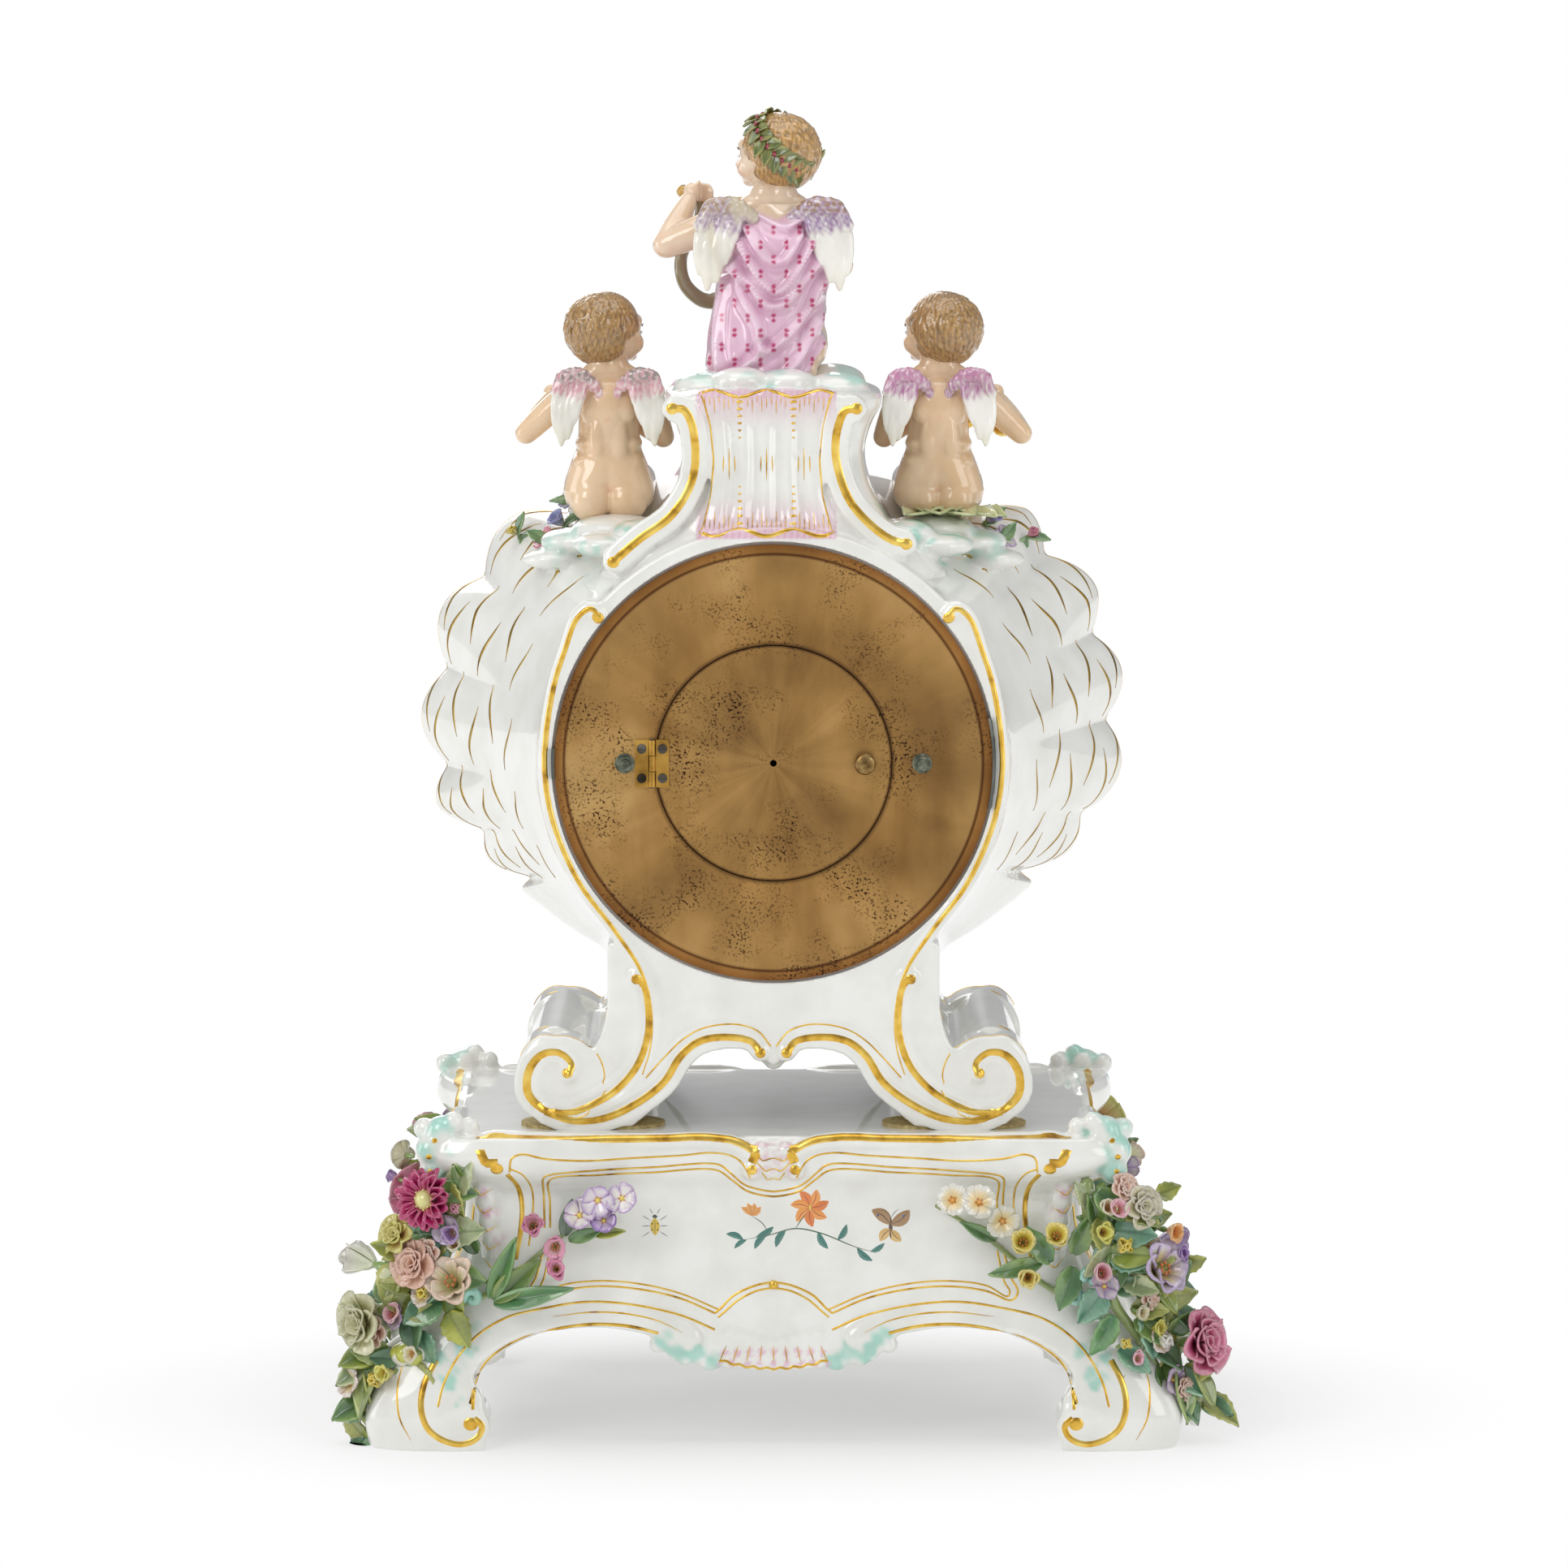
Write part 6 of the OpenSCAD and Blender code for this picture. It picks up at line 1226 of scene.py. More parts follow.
def gild_rims(g):
    """Line along the shell's rim on both sides."""
    for side in (1, -1):
        rim = flare_point(mirror_angle(np.linspace(-46, 58, 160), side), 1.0)
        g.line(rim + (0, -2.0, 0), 1.3, lift=0.2)


def gild_dial_side(g):
    """A gold line down each flute with a spray of short darts between them, and the lines of the boss."""
    for side, notches in ((1, LEFT_NOTCHES), (-1, RIGHT_NOTCHES)):
        for notch in notches:
            radii = np.array((106, 120, rim_r(notch) - LOBE_D))
            g.line(around(radii, mirror_angle(notch, side), -FAR_Y), [0.3, 1.0, 1.5], ALONG_Y)
    for side, high, low in LOBES:
        for shift, long in ((0.3, 9), (0.5, 16), (0.7, 9)):
            a = high + (low - high) * shift
            edge = rim_r(a) - 6
            radii = np.array((edge - long, edge - long / 2, edge))
            g.line(around(radii, mirror_angle(a, side), -FAR_Y), 1.0, ALONG_Y, taper=True)
    for sx in (1, -1):
        g.line(on_plane(crown_curve(CROWN_LINE, sx, 60), -FAR_Y), 1.6, ALONG_Y)
    for r, width in ((85.5, 1.8), (96, 0.8)):
        g.line(around(r, np.linspace(0, 360, 220), -BOSS_Y + (r - BOSS_R) * 0.2), width)


def gild_case(body):
    g = Gilder(body)
    for sy in (1, -1):
        gild_legs(g, sy)
        gild_neck(g, sy)
    gild_rims(g)
    gild_dial_side(g)
    # Dark ovals on the legs' outer faces
    for sx, sy in CORNERS:
        for z, y in ((188, 58), (181, 56)):
            g.spot((sx * 90, sy * y, z), 7.0, 3.2, 70, (-sx, 0, 0))
    strokes = Gilder(body)
    gild_lobes(strokes)
    strokes.finish("shell_strokes", STROKE_GOLD)
    g.finish("case_gilding")


# Flowers and leaves

class Bunch:
    """Small painted solids gathered into one mesh."""

    def __init__(self):
        self.solids, self.colours = [], []

    def add(self, solid, colour):
        colour = np.broadcast_to(np.asarray(colour, float), (len(solid[0]), 3))
        self.solids.append(solid)
        self.colours.append(linear(colour))

    def made(self, name):
        obj = as_object(name, self.solids)
        put_paint(obj, np.vstack(self.colours))
        return smooth(obj)


def sheet(grid, thick):
    """Closed thin solid over a grid of points."""
    half = unit(np.cross(np.gradient(grid, axis=0), np.gradient(grid, axis=1))) * thick / 2
    return between(grid + half, grid - half)


def mixed(a, b, t):
    return np.asarray(a) * (1 - t[..., None]) + np.asarray(b) * t[..., None]


def axes_of(normal):
    """Two directions square to a normal, and the normal at length 1."""
    n = unit(normal)
    a = unit(np.cross((0.0, 0.0, 1.0) if abs(n[2]) < 0.9 else (1.0, 0.0, 0.0), n))
    return a, np.cross(n, a), n


def petal(bunch, place, along, up, length, width, cup, notch, colours, seed):
    """One petal from place in a direction, cupped towards up. colours holds inner, outer and edge."""
    rng = np.random.default_rng(seed)
    inner, outer, edge = colours
    u = np.linspace(0.02, 1, 12)[:, None]
    v = np.linspace(-1, 1, 11)[None, :]
    wide = 0.16 + 0.84 * np.sin(1.75 * u) ** 0.9
    x = length * (u - 0.26 * u ** 4 * v * v - notch * u ** 3 * np.exp(-(v / 0.3) ** 2))
    y = width / 2 * v * wide
    ruffle = 0.05 * length * np.sin(3.1 * v + rng.uniform(0, 6)) * u ** 2
    z = length * (cup * v * v * wide * 0.5 + 0.16 * u * u - 0.20 * u ** 4) + ruffle
    along, up = unit(along), unit(up)
    side = np.cross(up, along)
    grid = place + along * x[..., None] + side * y[..., None] + up * z[..., None]
    colour = mixed(inner, outer, np.broadcast_to(np.clip(u * 1.5 - 0.2, 0, 1) ** 1.3, x.shape))
    if edge is not None:
        rim = np.clip(np.maximum(np.abs(v) ** 4, u ** 6) * 1.2, 0, 1)
        colour = mixed(colour, edge, rim * 0.7)
    streaks = 1 - 0.10 * np.abs(np.sin(7 * v + rng.uniform(0, 3))) * u
    flat = (colour * streaks[..., None]).reshape(-1, 3)
    bunch.add(sheet(grid, 0.55 + 0.02 * length), np.vstack([flat, flat * 0.96]))


# Petal rings of each kind: petals, tilt, length share, width share, cup, notch
RINGS = {
    "daisy": [(13, 28, 1.0, 0.40, 0.5, 0.0), (12, 14, 0.95, 0.38, 0.4, 0.0)],
    "open": [(6, 42, 1.0, 0.86, 0.7, 0.0)],
    "cup": [(5, 58, 1.0, 0.95, 0.6, 0.05)],
    "bell": [(5, 66, 1.1, 0.80, 0.7, 0.02)],
    "viola": [(5, 26, 0.95, 0.90, 0.15, 0.04)],
    "primrose": [(5, 24, 0.95, 0.90, 0.2, 0.14)],
    "rose": [(6, 16, 1.0, 0.95, 0.6, 0.03), (5, 44, 0.80, 0.85, 0.8, 0.02), (5, 66, 0.62, 0.80, 0.9, 0.0),
             (3, 80, 0.45, 0.60, 0.9, 0.0)],
    "bud": [(4, 82, 1.1, 0.80, 0.9, 0.0)],
}


def daisy_heart(bunch, place, a, b, n, r, heart):
    if abs(n[2]) > 0.9:
        disc = ball(place + n * r * 0.12, (r * 0.42, r * 0.42, r * 0.20))
    else:
        disc = tube([place - n * r * 0.05, place + n * r * 0.16], [r * 0.42, r * 0.36], 26)
    bunch.add(disc, heart)
    for k in range(34):
        share = 0.40 * math.sqrt((k + 0.5) / 34)
        across_disc = (a * math.cos(2.4 * k) + b * math.sin(2.4 * k)) * r * share
        seed_place = place + n * r * 0.36 * (1 - 0.2 * share) + across_disc
        bunch.add(ball(seed_place, r * 0.045, 0, 8), (0.93, 0.88, 0.55))


def stamens(bunch, place, a, b, n, r):
    for k in range(6):
        w = k * math.pi / 3 + 0.3
        lean = (a * math.cos(w) + b * math.sin(w)) * r * 0.16
        end = place + n * r * 0.52 + lean
        bunch.add(tube([place, place + n * r * 0.3 + lean * 0.5, end], r * 0.022, 6), (0.90, 0.85, 0.55))
        bunch.add(ball(end, (r * 0.05, r * 0.05, r * 0.075), 0, 8), (0.80, 0.42, 0.16))


def small_heart(bunch, place, a, b, n, r, heart):
    bunch.add(ball(place + n * r * 0.10, r * 0.14, 0, 12), heart)
    for k in range(5):
        w = 2 * math.pi * (k + 0.5) / 5
        d = a * math.cos(w) + b * math.sin(w)
        bunch.add(ball(place + n * r * 0.13 + d * r * 0.2, r * 0.05, 0, 8), (0.85, 0.48, 0.20))


def flower(bunch, place, normal, r, kind, inner, outer, edge, heart, seed):
    a, b, n = axes_of(normal)
    rng = np.random.default_rng(seed)
    for ring, (count, tilt, long, wide, cup, notch) in enumerate(RINGS[kind]):
        for k in range(count):
            turn = 2 * math.pi * (k + 0.5 * (ring % 2)) / count + rng.uniform(-0.09, 0.09)
            t = math.radians(tilt + rng.uniform(-7, 7))
            d = a * math.cos(turn) + b * math.sin(turn)
            along, up = d * math.cos(t) + n * math.sin(t), n * math.cos(t) - d * math.sin(t)
            length = r * long * rng.uniform(0.92, 1.06)
            petal(bunch, place + d * r * 0.06, along, up, length, r * wide, cup, notch,
                  (inner, outer, edge), seed * 31 + ring * 7 + k)
    stalk = [place - n * r * 0.7, place - n * r * 0.25, place + n * r * 0.02]
    bunch.add(tube(stalk, [r * 0.12, r * 0.20, r * 0.10], 10), (0.50, 0.60, 0.32))
    if kind == "daisy":
        daisy_heart(bunch, place, a, b, n, r, heart)
    elif kind in ("open", "cup", "bell"):
        stamens(bunch, place, a, b, n, r)
    elif kind in ("viola", "primrose"):
        small_heart(bunch, place, a, b, n, r, heart)


def leaf(bunch, place, along, up, length, width, dark, light, teeth, droop, seed):
    """Leaf with a midrib fold, veins and, if asked for, a toothed edge."""
    rng = np.random.default_rng(seed)
    u = np.linspace(0.0, 1, 26 if teeth else 16)[:, None]
    v = np.linspace(-1, 1, 11)[None, :]
    shape = np.sin(math.pi * np.clip(u * 0.97 + 0.03, 0, 1) ** 0.8) ** 0.8
    bite = 1 + (0.16 * (np.abs((u * teeth) % 1 - 0.5) * 2 - 0.5) if teeth else 0) * np.abs(v) ** 2
    x = length * u
    y = width / 2 * v * shape * bite
    z = length * (0.10 * np.abs(v) * shape - droop * u * u + 0.03 * np.sin(6 * u + rng.uniform(0, 6)) * v)
    along, up = unit(along), unit(up)
    side = unit(np.cross(up, along))
    up = np.cross(along, side)
    grid = place + along * x[..., None] + side * y[..., None] + up * z[..., None]
    ribs = np.clip(np.sin((u * 9 - np.abs(v) * 2.2) * 2 * math.pi), 0, 1) ** 8
    vein = hump(v, 0, 0.08) + 0.5 * ribs
    patch = 0.5 + 0.5 * np.sin(4 * u + rng.uniform(0, 6)) * np.cos(2.2 * v + rng.uniform(0, 6))
    colour = mixed(dark, light, np.clip(patch * 0.8 + 0.3 * np.abs(v) ** 3, 0, 1))
    colour = mixed(colour, np.asarray(dark) * 0.75, np.clip(np.broadcast_to(vein, patch.shape) * 0.45, 0, 1))
    flat = colour.reshape(-1, 3)
    bunch.add(sheet(grid, 0.8 + 0.012 * length), np.vstack([flat, flat * 0.92 + 0.03]))


# Garlands

DAISY_HEART = (0.87, 0.86, 0.56)
PRIMROSE_HEART = (0.88, 0.62, 0.25)
BUTTER = (0.80, 0.70, 0.25)
BUTTER_EDGE = (0.95, 0.90, 0.60)
# Flowers of the back garlands: x, z, radius, kind, inner, outer and edge colours, heart
LEFT_FLOWERS = [
    (150.5, 112, 12.4, "daisy", (0.60, 0.06, 0.30), (0.74, 0.12, 0.40), (0.80, 0.30, 0.50), DAISY_HEART),
    (164, 95, 8.0, "rose", (0.80, 0.55, 0.35), (0.90, 0.86, 0.55), (0.82, 0.80, 0.40), YELLOW),
    (138.2, 99, 7.5, "bell", (0.62, 0.56, 0.72), (0.58, 0.44, 0.66), (0.75, 0.66, 0.80), YELLOW),
    (156, 83, 10.5, "rose", (0.90, 0.70, 0.60), PEACH, (0.90, 0.72, 0.66), YELLOW),
    (138.9, 73.6, 12.4, "open", (0.82, 0.85, 0.55), (0.96, 0.93, 0.85), (0.92, 0.76, 0.66), YELLOW),
    (178.5, 56, 13.2, "rose", (0.80, 0.80, 0.52), (0.90, 0.89, 0.74), (0.78, 0.78, 0.62), YELLOW),
    (138, 108, 4.6, "bud", (0.75, 0.30, 0.45), (0.86, 0.60, 0.66), None, YELLOW),
    (105.3, 99, 7.0, "bell", (0.95, 0.90, 0.85), (0.90, 0.66, 0.74), (0.84, 0.46, 0.62), YELLOW),
    (95.5, 92.5, 6.4, "cup", (0.96, 0.93, 0.86), (0.93, 0.74, 0.80), (0.88, 0.52, 0.66), YELLOW),
    (95, 81, 6.4, "bell", (0.95, 0.90, 0.85), (0.90, 0.68, 0.76), (0.86, 0.46, 0.62), YELLOW),
    (85.1, 104.7, 6.0, "viola", (0.95, 0.93, 0.90), WHITE, (0.62, 0.44, 0.74), YELLOW),
    (77, 112.8, 6.2, "viola", (0.90, 0.86, 0.92), WHITE, (0.60, 0.42, 0.74), YELLOW),
    (66.4, 112.8, 5.6, "viola", (0.95, 0.93, 0.90), WHITE, (0.62, 0.46, 0.74), YELLOW),
    (74.5, 102.4, 5.0, "viola", (0.86, 0.80, 0.90), (0.78, 0.68, 0.86), (0.50, 0.32, 0.66), YELLOW)]
RIGHT_FLOWERS = [
    (-78.5, 112, 6.2, "primrose", (0.93, 0.80, 0.50), WHITE, (0.90, 0.89, 0.84), PRIMROSE_HEART),
    (-90.2, 110.4, 6.4, "primrose", (0.93, 0.80, 0.50), WHITE, (0.90, 0.89, 0.84), PRIMROSE_HEART),
    (-100.5, 103.5, 6.2, "primrose", (0.93, 0.82, 0.52), WHITE, (0.88, 0.88, 0.80), PRIMROSE_HEART),
    (-109.3, 93, 6.8, "cup", BUTTER, YELLOW, BUTTER_EDGE, YELLOW),
    (-123.8, 94.5, 6.6, "cup", BUTTER, YELLOW, BUTTER_EDGE, YELLOW),
    (-111.4, 79, 6.4, "bell", BUTTER, (0.92, 0.82, 0.40), BUTTER_EDGE, YELLOW),
    (-159.8, 108.5, 9.0, "rose", (0.86, 0.83, 0.72), CREAM, (0.80, 0.78, 0.74), YELLOW),
    (-148.5, 106.5, 6.8, "cup", (0.92, 0.70, 0.72), (0.90, 0.62, 0.68), (0.94, 0.80, 0.82), YELLOW),
    (-172.2, 97.5, 6.6, "cup", (0.88, 0.55, 0.22), (0.92, 0.62, 0.32), (0.95, 0.78, 0.55), YELLOW),
    (-175.4, 86, 5.6, "bell", (0.52, 0.34, 0.62), PURPLE, (0.70, 0.58, 0.80), YELLOW),
    (-166.4, 78.3, 13.4, "open", (0.92, 0.86, 0.45), WHITE, (0.68, 0.56, 0.80), YELLOW),
    (-168.7, 49, 6.0, "bud", (0.90, 0.92, 0.80), WHITE, None, YELLOW),
    (-186, 46, 14.5, "rose", (0.66, 0.16, 0.36), (0.80, 0.36, 0.52), (0.90, 0.66, 0.72), YELLOW)]
# Leaves: x, z, direction in x and z, length, width, dark, light, teeth
LEFT_LEAVES = [
    (147, 67, 0.9, -0.5, 19, 15, (0.24, 0.42, 0.30), (0.50, 0.66, 0.46), 6),
    (143, 62, -0.5, -0.9, 18, 14, OLIVE, YELLOW_GREEN, 5),
    (124, 68, -0.35, 0.95, 30, 9, (0.28, 0.47, 0.27), (0.55, 0.70, 0.42), 0),
    (123, 67, -0.8, 0.75, 28, 11, (0.32, 0.45, 0.20), (0.60, 0.68, 0.36), 0),
    (123, 66, -1.0, 0.22, 36, 9, (0.30, 0.50, 0.32), (0.62, 0.76, 0.56), 0),
    (92, 96, -0.2, 1.0, 17, 7, (0.28, 0.38, 0.30), (0.50, 0.60, 0.50), 0),
    (90, 94, -1.0, 0.35, 16, 6, GREEN, (0.55, 0.70, 0.42), 0),
    (80, 97, -1.0, 0.1, 15, 5, OLIVE, YELLOW_GREEN, 0),
    (146, 94, 0.3, 0.9, 20, 10, (0.20, 0.34, 0.18), (0.48, 0.60, 0.30), 4),
    (160, 88, 0.9, 0.2, 18, 11, OLIVE, YELLOW_GREEN, 4),
    (170, 42, 0.9, 0.1, 18, 12, (0.40, 0.48, 0.24), (0.72, 0.76, 0.50), 4),
    (176, 40, 0.35, -1.0, 30, 13, (0.42, 0.50, 0.28), (0.76, 0.80, 0.50), 0),
    (182, 34, -0.1, -1.0, 30, 11, (0.46, 0.52, 0.30), (0.80, 0.82, 0.46), 0),
    (168, 34, -0.9, -0.2, 22, 10, (0.30, 0.44, 0.28), (0.60, 0.72, 0.50), 0),
    (150, 100, 0.6, 0.6, 16, 9, (0.24, 0.38, 0.18), (0.50, 0.62, 0.28), 4),
    (131, 88, 0.4, 0.9, 14, 8, (0.24, 0.36, 0.20), (0.40, 0.52, 0.30), 0),
    (158, 64, 1.0, 0.2, 15, 11, OLIVE, (0.70, 0.72, 0.40), 4),
    (136, 118, 0.5, 1.0, 12, 6, (0.24, 0.38, 0.18), (0.50, 0.60, 0.24), 4)]
RIGHT_LEAVES = [
    (-122, 84, 0.5, 0.8, 20, 10, (0.26, 0.44, 0.26), (0.56, 0.70, 0.40), 4),
    (-132, 88, -0.4, 0.9, 20, 10, (0.28, 0.44, 0.24), (0.60, 0.70, 0.38), 4),
    (-132, 82, 0.3, -1.0, 20, 12, (0.26, 0.42, 0.26), (0.54, 0.68, 0.42), 5),
    (-150, 60, 0.5, -0.9, 20, 12, (0.28, 0.50, 0.32), (0.56, 0.72, 0.46), 4),
    (-118, 84, 1.0, -0.2, 24, 8, GREEN, (0.60, 0.72, 0.44), 0),
    (-98, 94, 0.9, 0.5, 18, 6, (0.28, 0.44, 0.26), (0.52, 0.66, 0.40), 0),
    (-170, 66, -1.0, 0.2, 18, 12, OLIVE, (0.72, 0.74, 0.42), 4),
    (-178, 36, -0.3, -1.0, 27, 12, (0.36, 0.48, 0.26), (0.70, 0.78, 0.46), 0),
    (-168, 34, 0.4, -1.0, 24, 10, (0.34, 0.50, 0.30), (0.68, 0.78, 0.50), 0),
    (-186, 34, -0.6, -0.9, 20, 10, (0.42, 0.50, 0.28), (0.74, 0.78, 0.44), 0),
    (-156, 96, -0.8, 0.4, 18, 10, (0.24, 0.38, 0.18), (0.50, 0.60, 0.30), 4),
    (-144, 98, 0.3, 1.0, 18, 9, (0.24, 0.38, 0.18), (0.48, 0.60, 0.28), 4),
    (-180, 80, -1.0, 0.3, 12, 9, OLIVE, YELLOW_GREEN, 4),
    (-160, 58, -0.7, -0.6, 16, 11, (0.30, 0.44, 0.24), (0.60, 0.70, 0.40), 4)]
# What fills the garlands between those: dark and light of a leaf; kind, inner, outer and edge of a flower
FILL_LEAVES = [((0.26, 0.42, 0.22), (0.56, 0.68, 0.36)), ((0.46, 0.52, 0.24), (0.80, 0.80, 0.44)),
               ((0.24, 0.40, 0.28), (0.46, 0.62, 0.44)), ((0.50, 0.58, 0.40), (0.84, 0.86, 0.68)),
               ((0.40, 0.50, 0.20), (0.70, 0.74, 0.34)), ((0.30, 0.50, 0.40), (0.62, 0.78, 0.66))]
FILL_FLOWERS = [("cup", (0.92, 0.86, 0.60), CREAM, (0.90, 0.88, 0.80)),
                ("primrose", (0.92, 0.78, 0.45), WHITE, (0.90, 0.78, 0.76)),
                ("rose", (0.86, 0.60, 0.56), PEACH, (0.93, 0.84, 0.80)), ("bud", CREAM, YELLOW, None),
                ("viola", LILAC, WHITE, (0.62, 0.46, 0.74)),
                ("bell", (0.80, 0.70, 0.30), (0.88, 0.86, 0.42), None),
                ("cup", (0.80, 0.40, 0.48), (0.88, 0.60, 0.66), (0.94, 0.82, 0.84))]
# The stems that all of it grows from, (x, z), and the mint scrolls beside them, x, z, radius
MAIN_STEM = [(138, 118), (140, 100), (146, 84), (150, 66), (162, 48), (172, 30), (177, 10)]
SIDE_STEM = [(150, 64), (134, 66), (118, 74), (104, 86), (90, 97), (72, 108)]
STEM_SCROLLS = [(148, 87, 5.0), (141, 77, 4.6), (133, 68, 4.0)]
# Beyond this x a flower belongs to the corner; within it to the sprays on the panel
CORNER_X = 125


def corner_y(x):
    """Depth of the stand's corner, where its applied flowers sit."""
    return 105 - 0.42 * max(0.0, abs(x) - 148)


def turned_out(x):
    """How far a corner's flowers look sideways at x."""
    return max(0.05, (abs(x) - 118) / 55)


def listed_growth(bunch, sx, sy, flowers, leaves, seed):
    """The flowers and leaves that a corner's tables list."""
    flip = (1, sy, 1)
    for k, (x, z, r, *look) in enumerate(flowers):
        out = unit((sx * turned_out(x), 1.0, 0.25 + 0.3 * math.sin(k * 2.1)))
        place = np.array((x, corner_y(x) + 4.5, z)) + out * 2
        grown = 1.15 if abs(x) > CORNER_X else 1.35
        flower(bunch, place * flip, out * flip, r * grown, *look, seed + k)
    for k, (x, z, dx, dz, *look) in enumerate(leaves):
        up = (sx * turned_out(x), sy, 0.1)
        place = np.array((x, sy * (corner_y(x) + 1.5), z))
        leaf(bunch, place, (dx, 0.28 * sy, dz), up, *look, 0.12, seed + 50 + k)


def filling_growth(bunch, sx, sy, seed):
    """Leaves and small flowers strewn down a corner."""
    rng = np.random.default_rng(seed + 7)
    middle = curve([(146, 116), (149, 96), (155, 76), (165, 52), (174, 30), (180, 8)], 60)
    for k in range(46):
        x, z = middle[int(59 * (k + 0.5) / 46)] + rng.uniform(-1, 1, 2) * (15 if k > 12 else 9, 6)
        turn = rng.uniform(-2.4, 0.5) if k % 3 else rng.uniform(0, 6.28)
        long = rng.uniform(13, 21)
        place = np.array((sx * x, sy * (corner_y(x) + rng.uniform(-1.5, 2.5)), z))
        leaf(bunch, place, (sx * math.cos(turn), 0.35 * sy, math.sin(turn)), (sx * turned_out(x), sy, 0.2),
             long, long * rng.uniform(0.55, 0.8), *FILL_LEAVES[k % len(FILL_LEAVES)], 5 if k % 2 else 0, 0.2,
             seed + 600 + k)
    for k in range(15):
        x, z = middle[int(52 * (k + 0.5) / 15)] + rng.uniform(-1, 1, 2) * (14 if k > 3 else 7, 4)
        look = FILL_FLOWERS[(k * 5 + seed // 100) % len(FILL_FLOWERS)]
        out = unit((sx * turned_out(x), sy, rng.uniform(-0.1, 0.6)))
        place = np.array((sx * x, sy * (corner_y(x) + 3.5), z)) + out * 2
        flower(bunch, place, out, rng.uniform(5.5, 8.5), *look, YELLOW, seed + 700 + k)


def stem(bunch, points, sx, sy, thick, thin):
    path = curve([(sx * x, sy * (corner_y(x) - (1 if x > CORNER_X else 5)), z) for x, z in points], 50)
    bunch.add(tube(path, np.linspace(thick, thin, 50), 10), (0.55, 0.62, 0.36))


def old_breaks(bunch):
    """Broken places, left as bare porcelain with dabs of green."""
    for k in range(9):
        w = 2.4 * k
        place = (160 + 4.5 * math.cos(w), 100 + 2 * math.sin(w), 42 + 5.5 * math.sin(w * 1.3))
        bunch.add(ball(place, (5.2, 4.0, 4.6), 20 * k), WHITE if k % 3 else (0.80, 0.82, 0.36))


def make_garland(name, node, sx, sy, flowers, leaves, seed):
    """Applied flowers down one corner of the stand."""
    bunch = Bunch()
    listed_growth(bunch, sx, sy, flowers, leaves, seed)
    filling_growth(bunch, sx, sy, seed)
    stem(bunch, MAIN_STEM, sx, sy, 3.4, 1.6)
    if sy > 0:
        stem(bunch, SIDE_STEM, sx, sy, 1.6, 0.9)
    for x, z, r in STEM_SCROLLS:
        ring = on_plane(spiral((sx * x, z), r, r * 0.35, 0, 300, 24), sy * (corner_y(x) + 1))
        bunch.add(tube(ring, np.linspace(2.6, 1.8, 24), 10), MINT)
    if sy > 0 and sx > 0:
        old_breaks(bunch)
    obj = bunch.made(name)
    # Nothing reaches below the table
    p = points_of(obj)
    p[:, 2] = np.maximum(p[:, 2], 0.3)
    set_points(obj, p)
    finish_piece(obj, "applied_flowers", FLOWERS, node)


def front_set(flowers, sx):
    """Front corners carry the same kinds in another order."""
    big = [row for row in flowers if abs(row[0]) > CORNER_X]
    return [(sx * abs(x), z, r, *big[(k * 3 + 1) % len(big)][3:]) for k, (x, z, r, *_) in enumerate(big)]


def make_garlands():
    left = [row for row in LEFT_LEAVES if row[0] > CORNER_X]
    right = [row for row in RIGHT_LEAVES if row[0] < -CORNER_X]
    for place, sx, sy, flowers, leaves, seed in (
            ("back_left", 1, 1, LEFT_FLOWERS, LEFT_LEAVES, 100),
            ("back_right", -1, 1, RIGHT_FLOWERS, RIGHT_LEAVES, 200),
            ("front_left", 1, -1, front_set(RIGHT_FLOWERS, 1), left, 400),
            ("front_right", -1, -1, front_set(LEFT_FLOWERS, -1), right, 500)):
        make_garland("bouquet_" + place, "garland_" + place, sx, sy, flowers, leaves, seed)


# Shoulder flowers: angle, share of the shell, radius, then what the left one and the right one look like
SHOULDER_FLOWERS = [
    (46, 0.80, 7.5, ("cup", (0.85, 0.88, 0.95), (0.45, 0.50, 0.74), (0.66, 0.66, 0.84)),
     ("cup", (0.80, 0.78, 0.92), (0.46, 0.42, 0.72), (0.60, 0.54, 0.80))),
    (42, 0.70, 6.8, ("primrose", (0.95, 0.80, 0.70), (0.88, 0.52, 0.62), None),
     ("viola", WHITE, WHITE, (0.62, 0.46, 0.74))),
    (50, 0.90, 6.6, ("viola", (0.92, 0.90, 0.94), WHITE, (0.50, 0.46, 0.74)),
     ("primrose", YELLOW, WHITE, None)),
    (39, 0.84, 5.2, ("bud", CREAM, YELLOW, None), ("bud", (0.90, 0.60, 0.66), (0.86, 0.50, 0.60), None))]


def shoulder_flowers():
    bunch = Bunch()
    for side in (1, -1):
        for k, (a, share, r, left, right) in enumerate(SHOULDER_FLOWERS):
            angle = mirror_angle(a, side)
            t = math.radians(angle)
            out = np.array((math.cos(t), 0.5, math.sin(t)))
            place = flare_point(angle, share)[0] + out * 2.5
            flower(bunch, place, out, r, *(left if side > 0 else right), YELLOW, 300 + k)
            for w in (0.4 + angle, 2.5 + angle):
                along = (math.cos(w), 0.1, math.sin(w))
                leaf(bunch, place - out, along, out, 11, 6, GREEN, PALE_GREEN, 4, 0.1, 310 + k)
    finish_piece(bunch.made("shoulder_bouquets"), "applied_flowers", FLOWERS, "shoulder_flowers")


# Figures, in shares of the sitting height; +X is outwards

